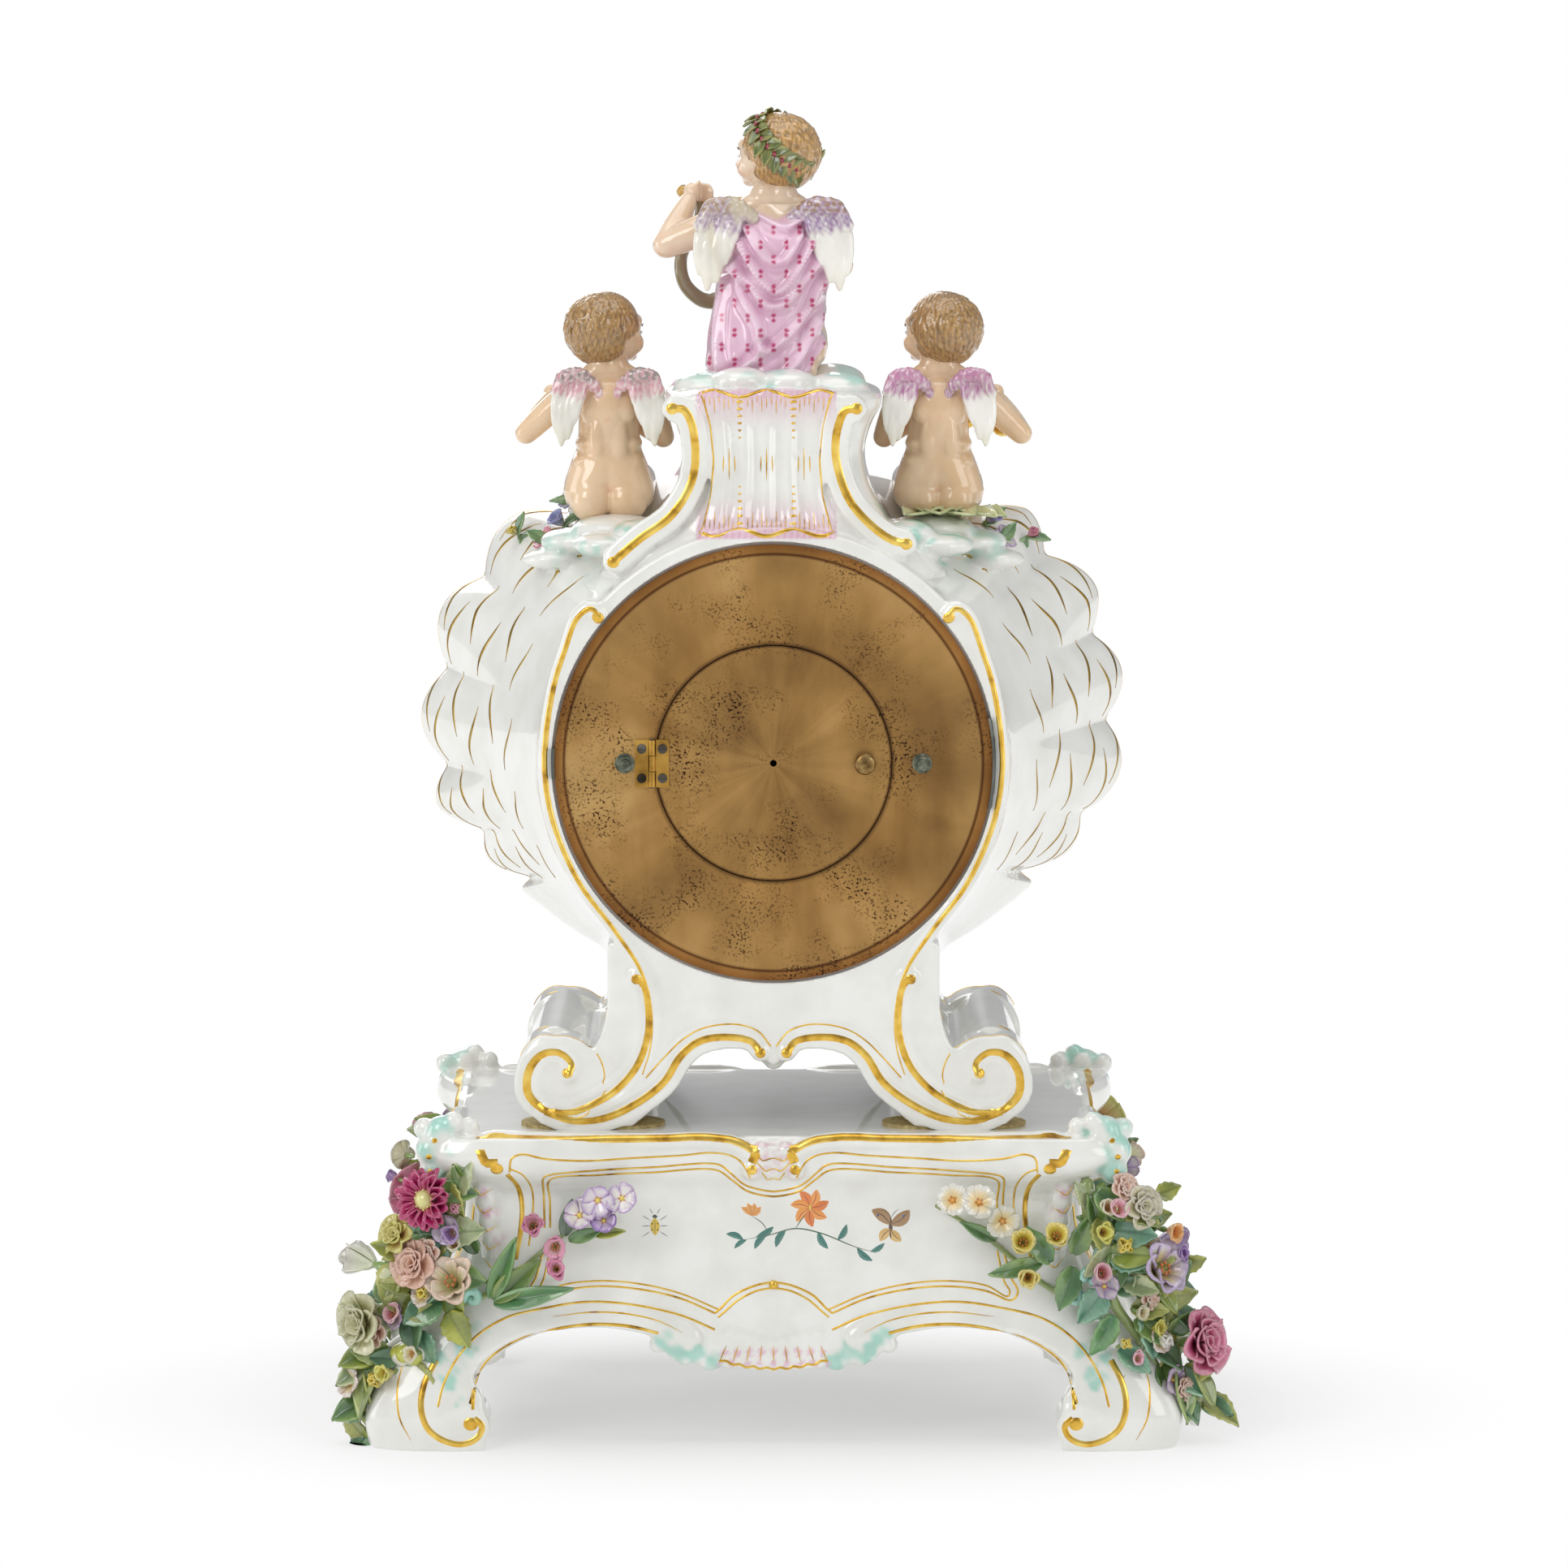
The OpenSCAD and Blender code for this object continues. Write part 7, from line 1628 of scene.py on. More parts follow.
# Limbs: start, its radius, end, its radius
TRUNK = [
    ((0, 0.02, 0.53), 0.125, (0, -0.01, 0.30), 0.135), ((0, -0.01, 0.30), 0.135, (0.08, 0.02, 0.13), 0.125),
    ((0, -0.01, 0.30), 0.135, (-0.08, 0.02, 0.13), 0.125),
    ((-0.15, 0.02, 0.60), 0.058, (0.15, 0.02, 0.60), 0.058),
    ((0, 0.01, 0.58), 0.072, (0, -0.01, 0.74), 0.060), ((0.08, 0, 0.12), 0.115, (0.13, -0.46, 0.14), 0.080),
    ((-0.08, 0, 0.12), 0.115, (-0.12, -0.46, 0.15), 0.080),
    ((0.13, -0.46, 0.14), 0.070, (0.12, -0.53, -0.17), 0.040),
    ((-0.12, -0.46, 0.15), 0.070, (-0.10, -0.54, -0.14), 0.040),
    ((0.12, -0.52, -0.19), 0.038, (0.13, -0.62, -0.22), 0.030),
    ((-0.10, -0.53, -0.16), 0.038, (-0.10, -0.63, -0.18), 0.030)]
TOP_ARMS = [
    ((0.16, 0.01, 0.60), 0.056, (0.40, 0, 0.50), 0.052), ((0.40, 0, 0.50), 0.052, (0.32, -0.12, 0.66), 0.034),
    ((-0.17, 0.01, 0.59), 0.056, (-0.25, -0.12, 0.42), 0.050),
    ((-0.25, -0.12, 0.42), 0.048, (-0.02, -0.30, 0.46), 0.034)]
SIDE_ARMS = [
    ((0.16, 0.01, 0.58), 0.056, (0.37, -0.02, 0.38), 0.050),
    ((0.37, -0.02, 0.38), 0.048, (0.28, -0.22, 0.52), 0.034),
    ((-0.16, 0.01, 0.58), 0.056, (-0.24, -0.12, 0.36), 0.050),
    ((-0.24, -0.12, 0.36), 0.048, (0.02, -0.30, 0.50), 0.034)]
# Muscles and fat of one half, and the forms of the head: centre, then radii
BODY_BALLS = [
    (0.078, 0.098, 0.50, 0.050, 0.040, 0.070), (0.048, 0.105, 0.36, 0.042, 0.040, 0.120),
    (0.078, 0.070, 0.09, 0.098, 0.095, 0.100), (0.115, 0.02, 0.26, 0.050, 0.100, 0.040),
    (0.105, 0.02, 0.34, 0.045, 0.095, 0.035), (0.125, -0.50, 0.00, 0.052, 0.058, 0.090),
    (0.07, -0.11, 0.50, 0.060, 0.040, 0.055), (0.060, 0.025, 0.645, 0.075, 0.055, 0.050),
    (0.030, 0.020, 0.685, 0.060, 0.060, 0.060)]
HEAD_BALLS = [
    (0, 0, 0, 0.112, 0.122, 0.122), (0, 0.045, -0.035, 0.086, 0.085, 0.086),
    (0.045, 0.078, -0.045, 0.042, 0.040, 0.042), (-0.045, 0.078, -0.045, 0.042, 0.040, 0.042),
    (0, 0.098, -0.092, 0.026, 0.024, 0.022), (0, 0.088, 0.035, 0.072, 0.040, 0.038),
    (0.112, 0.0, -0.02, 0.014, 0.020, 0.030), (-0.112, 0.0, -0.02, 0.014, 0.020, 0.030),
    (0, 0.118, -0.066, 0.020, 0.012, 0.008), (0, 0.116, -0.078, 0.016, 0.012, 0.007)]
# Skin that is a little redder: place, radius, strength
RED_SKIN = [((0.4, 0, 0.5), 0.06, 0.5), ((-0.25, -0.12, 0.42), 0.06, 0.5), ((0, 0.13, 0.45), 0.03, 0.35),
            ((0, 0.12, 0.33), 0.03, 0.35), ((0, 0.14, 0.14), 0.035, 0.45), ((0.13, -0.46, 0.14), 0.09, 0.5),
            ((-0.12, -0.46, 0.15), 0.09, 0.5)]
# Wings: top edge, and feathers by their root in x, their tip in x and z, and their radius
WING_EDGE = [(0.035, 0.115, 0.545), (0.085, 0.145, 0.610), (0.155, 0.165, 0.650), (0.235, 0.175, 0.635),
             (0.27, 0.18, 0.575)]
FEATHERS = [(0.125, 0.150, 0.510, 0.026), (0.150, 0.180, 0.440, 0.033), (0.190, 0.212, 0.375, 0.034),
            (0.230, 0.245, 0.345, 0.032), (0.262, 0.275, 0.400, 0.024)]
# The cloth's rings: height, half width, half depth, shift in x and in y
DRAPE_SHARES = np.array([
    [-0.02, 0.19, 0.17, 0.0, 0.04], [0.02, 0.225, 0.20, 0.01, 0.05], [0.12, 0.225, 0.20, 0.02, 0.05],
    [0.26, 0.205, 0.19, 0.02, 0.04], [0.40, 0.205, 0.18, -0.01, 0.04], [0.53, 0.20, 0.17, -0.02, 0.04],
    [0.60, 0.19, 0.13, -0.02, 0.03], [0.655, 0.13, 0.09, -0.02, 0.03]])
# Folds over the back, (x, z)
DRAPE_FOLDS = [
    [(0.17, 0.60), (0.11, 0.47), (0.03, 0.35), (-0.02, 0.33), (-0.06, 0.36), (-0.12, 0.46), (-0.17, 0.56)],
    [(0.11, 0.57), (0.06, 0.49), (0.00, 0.44), (-0.04, 0.45), (-0.10, 0.54)],
    [(0.16, 0.42), (0.09, 0.36), (0.02, 0.28), (-0.04, 0.29), (-0.12, 0.38), (-0.19, 0.46)],
    [(-0.20, 0.38), (-0.13, 0.26), (-0.03, 0.15), (0.09, 0.06), (0.16, 0.02)],
    [(-0.20, 0.31), (-0.15, 0.18), (-0.09, 0.08), (-0.02, 0.00)],
    [(0.16, 0.44), (0.12, 0.31), (0.06, 0.21), (0.05, 0.12)],
    [(0.19, 0.38), (0.21, 0.24), (0.21, 0.10), (0.19, 0.01)],
    [(0.04, 0.12), (0.12, 0.05), (0.19, 0.00)],
    [(0.07, 0.63), (-0.04, 0.575), (-0.10, 0.60)]]
# Outline of the lyre's horn, (x, z)
LYRE_HORN = [(0.06, 0.06), (0.12, 0.07), (0.185, 0.13), (0.20, 0.22), (0.155, 0.32), (0.125, 0.40),
             (0.15, 0.47), (0.19, 0.48)]


class Figure:
    """Places on a seated figure and on its head, which is turned by an angle."""

    def __init__(self, seat, h, out, turn, size):
        self.seat, self.h, self.out, self.head_h = np.asarray(seat, float), h, out, h * size
        t = math.radians(turn)
        self.front = np.array((out * math.sin(t), -math.cos(t), 0))
        self.side = np.array((-self.front[1], self.front[0], 0))
        self.centre = self.at(0, -0.03, 0.835)
        self.heading = math.degrees(math.atan2(self.front[1], self.front[0])) - 90

    def at(self, x, y, z):
        return self.seat + self.h * np.array((self.out * x, y, z))

    def head(self, x, y, z):
        return self.centre + self.head_h * (x * self.side + y * self.front + z * np.array((0, 0, 1.0)))


def limb(fig, a, ra, b, rb):
    t = np.linspace(0, 1, 9)
    path = walk([fig.at(*a), fig.at(*b)], 9)
    return tube(path, fig.h * (ra + (rb - ra) * t + 0.006 * np.sin(math.pi * t)), 20)


def trunk_solids(fig):
    """Muscles, fat and toes of both halves, and the belly."""
    h = fig.h
    solids = []
    for sx in (1, -1):
        solids += [ball(fig.at(sx * x, y, z), (rx * h, ry * h, rz * h)) for x, y, z, rx, ry, rz in BODY_BALLS]
        toe_z = -0.215 if sx > 0 else -0.18
        for k in range(5):
            toe = fig.at(sx * (0.115 + 0.012 * (k - 2)), -0.655 + 0.004 * abs(k - 1), toe_z)
            solids.append(ball(toe, 0.013 * h, 0, 10))
    solids.append(ball(fig.at(0, -0.10, 0.30), (0.11 * h, 0.08 * h, 0.12 * h)))
    return solids


def hand_solids(fig, wrist):
    """Palm, four curled fingers and a thumb."""
    h = fig.h
    inward = -1 if wrist[0] > 0.1 else 1
    palm = np.array(wrist) + (0.012 * inward, -0.035, 0.030)
    solids = [ball(fig.at(*palm), (0.034 * h, 0.030 * h, 0.040 * h))]
    for k in range(4):
        root = palm + (0.010 * inward, -0.016, 0.030 - 0.018 * k)
        tip = root + (0.055 * inward, -0.022, -0.006)
        end = tip + (0.012 * inward, 0.014, -0.020)
        finger = curve([fig.at(*root), fig.at(*tip), fig.at(*end)], 10)
        solids.append(tube(finger, np.linspace(0.0115, 0.0085, 10) * h, 10))
    thumb = [fig.at(*palm), fig.at(*(palm + (0.030 * inward, 0.012, 0.042)))]
    solids.append(tube(thumb, [0.013 * h, 0.009 * h], 10))
    return solids


def head_solids(fig):
    solids = [ball(fig.head(x, y, z), np.array((rx, ry, rz)) * fig.head_h, fig.heading)
              for x, y, z, rx, ry, rz in HEAD_BALLS]
    nose = [fig.head(0, 0.118, 0.004), fig.head(0, 0.142, -0.036)]
    solids.append(tube(nose, [0.009 * fig.h, 0.015 * fig.h], 12))
    return solids


def paint_skin(body, fig, skin, seed):
    h = fig.h
    skin = np.asarray(skin)
    paint = Paint(body, skin)
    paint.wash(0.25 + 0.25 * wave_noise(paint.p, 26, seed), skin * (0.93, 0.88, 0.80))
    for place, r, strength in RED_SKIN:
        paint.stroke([fig.at(*place)], r * h, skin * (0.97, 0.78, 0.72), strength, 1.0, 0.3, seed)
    for sx in (1, -1):
        paint.stroke([fig.head(sx * 0.055, 0.10, -0.045)], 0.045 * h, BLUSH, 0.65, 1.0, 0.2, seed + 1)
        paint.stroke([fig.head(sx * 0.11, 0, -0.02)], 0.030 * h, BLUSH, 0.45, 1.0, 0.2, seed + 2)
    lips = [fig.head(-0.014, 0.128, -0.069), fig.head(0.014, 0.128, -0.069)]
    paint.stroke(lips, 0.011 * h, (0.74, 0.30, 0.28), 0.85, 0.7, 0.1, seed)
    paint.put()


def make_eyes(name, fig):
    """Eyeballs, pupils and brows."""
    h, heading = fig.h, fig.heading
    eyes = Bunch()
    for sx in (1, -1):
        white = ball(fig.head(sx * 0.040, 0.112, -0.006), (0.013 * h, 0.008 * h, 0.008 * h), heading, 14)
        eyes.add(white, (0.95, 0.94, 0.92))
        pupil = ball(fig.head(sx * 0.040, 0.118, -0.006), (0.0055 * h, 0.0045 * h, 0.006 * h), heading, 12)
        eyes.add(pupil, (0.20, 0.14, 0.12))
        brow = [fig.head(sx * x, y, z) for x, y, z in ((0.022, 0.126, 0.018), (0.040, 0.124, 0.026),
                                                       (0.060, 0.108, 0.018))]
        eyes.add(tube(curve(brow, 8), 0.0028 * h, 6), (0.48, 0.34, 0.24))
    finish_piece(eyes.made(name), "bisque_figure", FIGURE)


def hair_solids(fig, seed):
    """Cap of hair with curls spread evenly over the scalp behind the hairline."""
    rng = np.random.default_rng(seed)
    h, head = fig.head_h, fig.head
    solids = [ball(head(0, -0.022, 0.028), (0.131 * h, 0.129 * h, 0.120 * h), fig.heading, 40),
              ball(head(0, -0.045, -0.030), (0.120 * h, 0.104 * h, 0.098 * h), fig.heading, 36)]
    count = 84
    for k in range(count):
        z = 1 - 1.78 * (k + 0.5) / count
        turn = 2.39996 * k
        level = math.sqrt(max(0, 1 - z * z))
        d = np.array((level * math.cos(turn), level * math.sin(turn), z))
        if d[1] > 0.50 and z < 0.55 or d[1] > 0.15 and z < -0.25:
            continue
        base = np.array((0, -0.03, 0.01)) + d * (0.120, 0.120, 0.112)
        a, b, n = axes_of(d)
        size = (0.034 if z < -0.05 or d[1] > 0.25 else 0.028) * rng.uniform(0.8, 1.2)
        way = rng.choice((-1, 1))
        u = np.linspace(0, 1, 16)
        angles = rng.uniform(0, 6.28) + way * u * 7.0
        curl = [head(*(base + n * (0.006 + 0.012 * q) + (a * math.cos(w) + b * math.sin(w)) * r))
                for q, w, r in zip(u, angles, size * (1 - 0.72 * u))]
        solids.append(tube(curl, np.linspace(0.014, 0.008, 16) * h, 8))
        solids.append(ball(head(*(base + n * 0.004)), 0.62 * size * h, 0, 12))
    return solids


def make_hair(name, fig, colour, seed):
    obj = as_object(name, hair_solids(fig, seed))
    fuse(obj, FINE_VOXEL, 2)
    colour = np.asarray(colour)
    paint = Paint(obj, colour)
    p = paint.p
    local = p - fig.head(0, -0.03, 0.0)
    angle = np.arctan2(local[:, 1], local[:, 0])
    wave = np.sin(angle * 34 + 0.30 * local[:, 2] + 2.2 * wave_noise(p, 9, seed))
    swell(obj, 0.16 * wave)
    streak = wave_noise(p * (1.0, 1.0, 0.28), 1.5, seed + 3)
    paint.wash(np.clip(0.5 + 0.8 * streak, 0, 1) * 0.65, colour * (1.38, 1.42, 1.52))
    # Painted shade in the grooves between the strands, patchy at random
    shade = -0.25 - wave * 0.5 - 0.6 * wave_noise(p, 5, seed + 4)
    paint.wash(np.clip(shade, 0, 1) * 0.6, colour * 0.62)
    paint.put()
    finish_piece(obj, "bisque_figure", FIGURE)


def make_putto(node, fig, arms, skin, hair, seed):
    """Seated putto, its back to the photograph."""
    name = node + "_figure"
    solids = [limb(fig, *row) for row in TRUNK + arms] + trunk_solids(fig)
    solids += hand_solids(fig, arms[1][2]) + hand_solids(fig, arms[3][2]) + head_solids(fig)
    body = as_object(name, solids)
    fuse(body, BODY_VOXEL, 7)
    paint_skin(body, fig, skin, seed)
    finish_piece(body, "bisque_figure", FIGURE, node)
    make_eyes(name + "_eyes", fig)
    make_hair(name + "_hair", fig, hair, seed)


def wing_solids(seat, h, wide, sx):
    def at(x, y, z):
        return seat + h * np.array((sx * wide * x, y, z))

    edge_r = np.array([0.022, 0.030, 0.034, 0.034, 0.028])[np.minimum(4, np.arange(30) // 6)]
    solids = [tube(curve([at(*q) for q in WING_EDGE], 30), h * edge_r, 16, 0.8, ALONG_Y)]
    u = np.linspace(0, 1, 18)
    for root_x, tip_x, tip_z, r in FEATHERS:
        middle = at((root_x + tip_x) / 2 + 0.006, 0.172, (0.615 + tip_z) / 2)
        path = curve([at(root_x, 0.155, 0.615), middle, at(tip_x, 0.178, tip_z)], 18)
        solids.append(tube(path, h * r * (0.75 + 0.4 * np.sin(u * 2.4) - 0.62 * u ** 3), 14, 0.62, ALONG_Y))
    return solids


def make_wings(place, seat, h, wide, tint, top_tint, seed):
    """Pair of wings; the top figure's left one is greyer than its right one."""
    seat = np.asarray(seat, float)
    obj = as_object(place + "_wings", wing_solids(seat, h, wide, 1) + wing_solids(seat, h, wide, -1))
    fuse(obj, FINE_VOXEL, 3)
    paint = Paint(obj, WHITE)
    p = paint.p
    z = (p[:, 2] - seat[2]) / h
    x = np.abs(p[:, 0] - seat[0]) / h / wide
    feather = np.sin((x * 1.0 + 0.25 * z) * 190 + 2 * wave_noise(p, 7, seed))
    rows = np.sin(z * 120 + 3 * x * 30)
    upper = np.clip((z - 0.53 - 0.05 * (x - 0.15) * 4 - 0.010 * feather) / 0.03, 0, 1)
    swell(obj, 0.14 * feather * (0.4 + 0.6 * upper) + 0.10 * rows * upper)
    streak = 0.5 + 0.5 * wave_noise(p * (1, 1, 0.35), 1.3, seed)
    paint.wash(upper * (0.35 + 0.65 * streak), tint)
    patches = wave_noise(p, 2.4, seed + 5) > 0.05
    paint.wash(np.clip((z - 0.605) / 0.03, 0, 1) * (0.2 + 0.7 * patches), top_tint)
    paint.wash(np.clip((0.45 - z) / 0.1, 0, 1) * 0.25, CREAM)
    if place == "top":
        grey = np.clip(0.5 + wave_noise(p, 12, seed + 2), 0.25, 1) * 0.75
        paint.wash((p[:, 0] > seat[0]) * grey, (0.84, 0.80, 0.68))
    paint.put()
    finish_piece(obj, "painted_wings", FIGURE, place + "_putto_wings")


def drape_grid():
    """Rings of the cloth, how far each point is pushed out, and where the skin shows."""
    a = circle(300)
    s = np.linspace(DRAPE_SHARES[0, 0], DRAPE_SHARES[-1, 0], 190)
    rows = hermite(DRAPE_SHARES[:, 0], DRAPE_SHARES[:, 1:], s)
    x = rows[:, 2:3] + rows[:, 0:1] * np.cos(a)
    y = rows[:, 3:4] + rows[:, 1:2] * np.sign(np.sin(a)) * np.abs(np.sin(a)) ** 0.8
    z = np.broadcast_to(s[:, None], x.shape)
    push = 0.006 * np.cos(9 * a + 4 * z) * (1 - z)
    plane = np.stack([x, z], axis=-1).reshape(-1, 2)
    for fold in DRAPE_FOLDS:
        d = near(plane, curve(fold, 40)).reshape(x.shape)
        push = push + (0.017 * hump(d, 0, 0.013) - 0.009 * hump(d, 0.030, 0.014)) * (y > 0.02)
    # The shoulder line opens in a V over the back, and one hip stays bare
    bare_neck = np.clip((z - 0.592 - 0.40 * np.abs(x + 0.01)) / 0.012, 0, 1) * (y > 0.05)
    low_side = (z < 0.32) * np.clip((0.36 - z) / 0.05, 0, 1)
    bare_hip = np.clip((-x - 0.115 - 0.55 * z) / 0.02, 0, 1) * low_side
    push = push - 0.030 * bare_neck - 0.055 * bare_hip
    out = np.stack(np.broadcast_arrays(np.cos(a), np.sin(a), np.zeros_like(x)), axis=-1)
    rings = np.stack([x, y, z], axis=-1) + out * push[..., None]
    return rings, push.reshape(-1), bare_neck.reshape(-1), bare_hip.reshape(-1)


def make_drapery(seat, h):
    """Pink cloth over the top figure's back with folds, painted light and shade on the folds, and pairs of
    dots.
    """
    rings, push, bare_neck, bare_hip = drape_grid()
    obj = smooth(as_object("top_putto_cloth", [loft(np.asarray(seat, float) + h * rings)]))
    paint = Paint(obj, (0.90, 0.755, 0.83))
    push = np.clip(push / 0.02, -1, 1)
    # Painted light on the crests of the folds and painted shade in their hollows
    paint.wash(np.clip(push, 0, 1) * 0.55, (0.95, 0.85, 0.91))
    paint.wash(np.clip(-push, 0, 1) * 0.5, (0.80, 0.54, 0.70))
    paint.wash(np.clip(wave_noise(paint.p * (1, 1, 0.4), 5, 8), 0, 1) * 0.3, (0.86, 0.64, 0.77))
    depths = np.linspace(seat[1] + 0.05 * h, seat[1] + 0.27 * h, 40)
    for row in range(11):
        z = seat[2] + h * (0.02 + 0.054 * row)
        for k in range(-3, 4):
            x = seat[0] + (k + 0.5 * (row % 2)) * 11.5
            for dz in (-1.1, 1.1):
                paint.stroke([(x, y, z + dz) for y in depths], 1.35, MAGENTA, 1.0, 0.6, 0.15, row)
    paint.wash(bare_neck, TOP_SKIN)
    paint.wash(bare_hip, TOP_SKIN)
    paint.put()
    finish_piece(obj, "painted_cloth", CLOTH, "top_putto_drapery")


def make_lyre(seat, h):
    bunch = Bunch()
    c, s = math.cos(math.radians(20)), math.sin(math.radians(20))
    origin = np.asarray(seat, float) + h * np.array((0.16, -0.24, 0.22))

    def at(x, y, z):
        return origin + h * np.array((x * c - y * s, x * s + y * c, z))

    olive = (0.56, 0.50, 0.38)
    radii = np.interp(np.linspace(0, 1, 50), [0, 0.4, 0.9, 1], [0.030, 0.024, 0.016, 0.022]) * h
    for sx in (1, -1):
        bunch.add(tube(curve([at(sx * x, 0, z) for x, z in LYRE_HORN], 50), radii, 14), olive)
        bunch.add(ball(at(sx * 0.19, 0, 0.475), 0.026 * h, 0, 14), GILT)
    bunch.add(tube([at(-0.15, 0, 0.44), at(0.15, 0, 0.44)], 0.013 * h, 12), GILT)
    bunch.add(ball(at(0, 0, 0.065), (0.11 * h, 0.035 * h, 0.042 * h), 20), olive)
    for k in range(5):
        x = -0.05 + 0.025 * k
        bunch.add(tube([at(x, 0.004, 0.06), at(x, 0.004, 0.44)], 0.0028 * h, 6), (0.85, 0.74, 0.45))
    finish_piece(bunch.made("lyre"), "painted_attribute", FIGURE, "top_putto_lyre")


def make_flute(seat, h):
    bunch = Bunch()
    ends = np.asarray(seat, float) + h * np.array([(-0.10, -0.20, 0.76), (0.30, -0.26, 0.44)])
    path = walk(ends, 40)
    u = np.linspace(0, 1, 40)
    collars = 0.006 * hump(u, 0.08, 0.03) + 0.006 * hump(u, 0.5, 0.03) + 0.010 * hump(u, 1.0, 0.05)
    bunch.add(tube(path, h * (0.016 + 0.005 * u + collars), 16), (0.60, 0.42, 0.24))
    for k in range(6):
        bunch.add(ball(path[10 + 3 * k] + (0, 0, 0.019 * h), 0.005 * h, 0, 8), (0.20, 0.14, 0.10))
    finish_piece(bunch.made("flute"), "painted_attribute", FIGURE, "left_putto_flute")


def make_horn(seat, h):
    """Coiled horn with three rings and a bell."""
    origin = np.asarray(seat, float) + h * np.array((-0.10, -0.26, 0.50))
    w = np.radians(np.linspace(0, 360, 70))
    u = np.linspace(0, 1, 70)
    path = origin + h * np.stack([-0.10 * np.cos(w), -0.144 * u, 0.10 * np.sin(w)], axis=1)
    bell = origin + h * np.array([(-0.11, -0.146, -0.03), (-0.15, -0.15, -0.065), (-0.20, -0.15, -0.10)])
    solids = [tube(path, h * (0.012 + 0.016 * u), 16),
              tube(curve(bell, 20), h * np.linspace(0.027, 0.056, 20), 24)]
    solids += [tube(path[k:k + 3], h * (0.020 + 0.016 * u[k]), 16) for k in (12, 30, 48)]
    finish_piece(smooth(as_object("horn", solids)), "painted_attribute", GOLD, "right_putto_horn")


def make_wreath(fig):
    """Leaves and berries on a ring that leans back from the forehead to the nape."""
    bunch = Bunch()
    rng = np.random.default_rng(40)
    for k in range(40):
        w = math.radians(-155 + 310 * k / 39)
        c, s = math.cos(w), math.sin(w)
        d = unit((s * 0.95, c * 0.62 - 0.32, 0.66 * c + 0.02))
        onward = unit((c * 0.95, -s * 0.62, -0.62 * s))
        place = np.array((0, -0.022, 0.015)) + d * (0.136, 0.134, 0.126)
        world = fig.head(*place)
        out = unit(fig.head(*(place + d)) - world)
        along = unit(fig.head(*(place + onward)) - world)
        side = np.cross(out, along) * (1 if k % 2 else -1)
        leaf(bunch, world, along * 0.7 + side * 0.8 + out * 0.25, out, rng.uniform(7.5, 10.0),
             rng.uniform(4.4, 5.6), (0.30, 0.36, 0.16), (0.66, 0.66, 0.36), 3, 0.1, 60 + k)
        if k % 2 == 0:
            bunch.add(ball(world + out * 1.4, 1.25, 0, 10), (0.62, 0.10, 0.26))
    finish_piece(bunch.made("wreath"), "bisque_figure", FLOWERS)


def make_hip_cloth(seat, h):
    """Yellow-green cloth and leaves round the right figure's hips."""
    bunch = Bunch()
    for k in range(9):
        w = math.radians(200 + 20 * k if k < 5 else -60 + 25 * k)
        base = np.asarray(seat, float) + h * np.array((0.15 * math.cos(w), 0.10 + 0.06 * math.sin(w), 0.02))
        leaf(bunch, base, (math.cos(w), 0.9, 0.35), (0, 0.3, 1), 20, 14, (0.62, 0.66, 0.42),
             (0.86, 0.88, 0.68), 0, 0.25, 80 + k)
    finish_piece(bunch.made("hip_cloth"), "painted_cloth", CLOTH)


# Pictures painted on the stand

class Brush(Gilder):
    """Paints coloured strokes on a surface."""

    def __init__(self, obj):
        super().__init__(obj)
        self.bunch = Bunch()

    def put(self, x, z, scale, y):
        """Later strokes are drawn about this place at this scale, on the side of y."""
        self.origin, self.scale, self.y = np.array((x, z)), scale, y

    def stroke(self, points, width, colour, taper=True, lift=0.10):
        points = curve(points, 24) * self.scale + self.origin
        inward = (0, -math.copysign(1, self.y), 0)
        self.line(on_plane(points, self.y), max(0.35, width * self.scale), inward, lift, taper)
        self.bunch.add(self.solids.pop(), colour)

    def leaf(self, x, z, angle, long, wide, colour, vein):
        a = math.radians(angle)
        d = np.array((math.cos(a), math.sin(a)))
        base = np.array((x, z))
        middle = base + d * long * 0.5 + np.array((-d[1], d[0])) * long * 0.10
        self.stroke([base, middle, base + d * long], wide, colour)
        self.stroke([base, middle, base + d * long * 0.92], wide * 0.12, vein, lift=0.16)


DARK = (0.26, 0.30, 0.26)
# Stems of the sprig: points, width
SPRIG_STEMS = [([(38, 88), (22, 91), (6, 95), (-10, 92), (-30, 84), (-44, 80)], 1.0),
               ([(6, 95), (2, 101), (-2, 106)], 0.9), ([(22, 91), (26, 98), (33, 103)], 0.7)]
# Leaves of the sprig: x, z, angle, length
SPRIG_LEAVES = [(30, 90, 150, 12), (24, 91, -50, 11), (12, 94, -60, 12), (-8, 93, -120, 12),
                (-20, 88, 120, 11), (-32, 83, -140, 12), (-40, 81, 150, 10), (38, 88, 20, 11),
                (36, 88, -35, 9)]


def paint_sprig(b):
    for points, width in SPRIG_STEMS:
        b.stroke(points, width, (0.34, 0.46, 0.34))
    for x, z, angle, long in SPRIG_LEAVES:
        b.leaf(x, z, angle, long, long * 0.42, (0.30, 0.52, 0.48), (0.16, 0.34, 0.32))
    for k in range(7):
        orange = (0.88, 0.50, 0.22) if k % 2 else (0.93, 0.62, 0.30)
        b.leaf(-3, 108, 51 * k + 8, 12.0, 7.2, orange, (0.66, 0.26, 0.10))
    b.stroke([(-3.6, 108), (-2.4, 108)], 4.6, (0.90, 0.80, 0.36), False, 0.2)
    for k in range(4):
        b.leaf(33, 103, 40 + 32 * k, 8.0, 4.6, (0.92, 0.66, 0.36), (0.70, 0.32, 0.14))


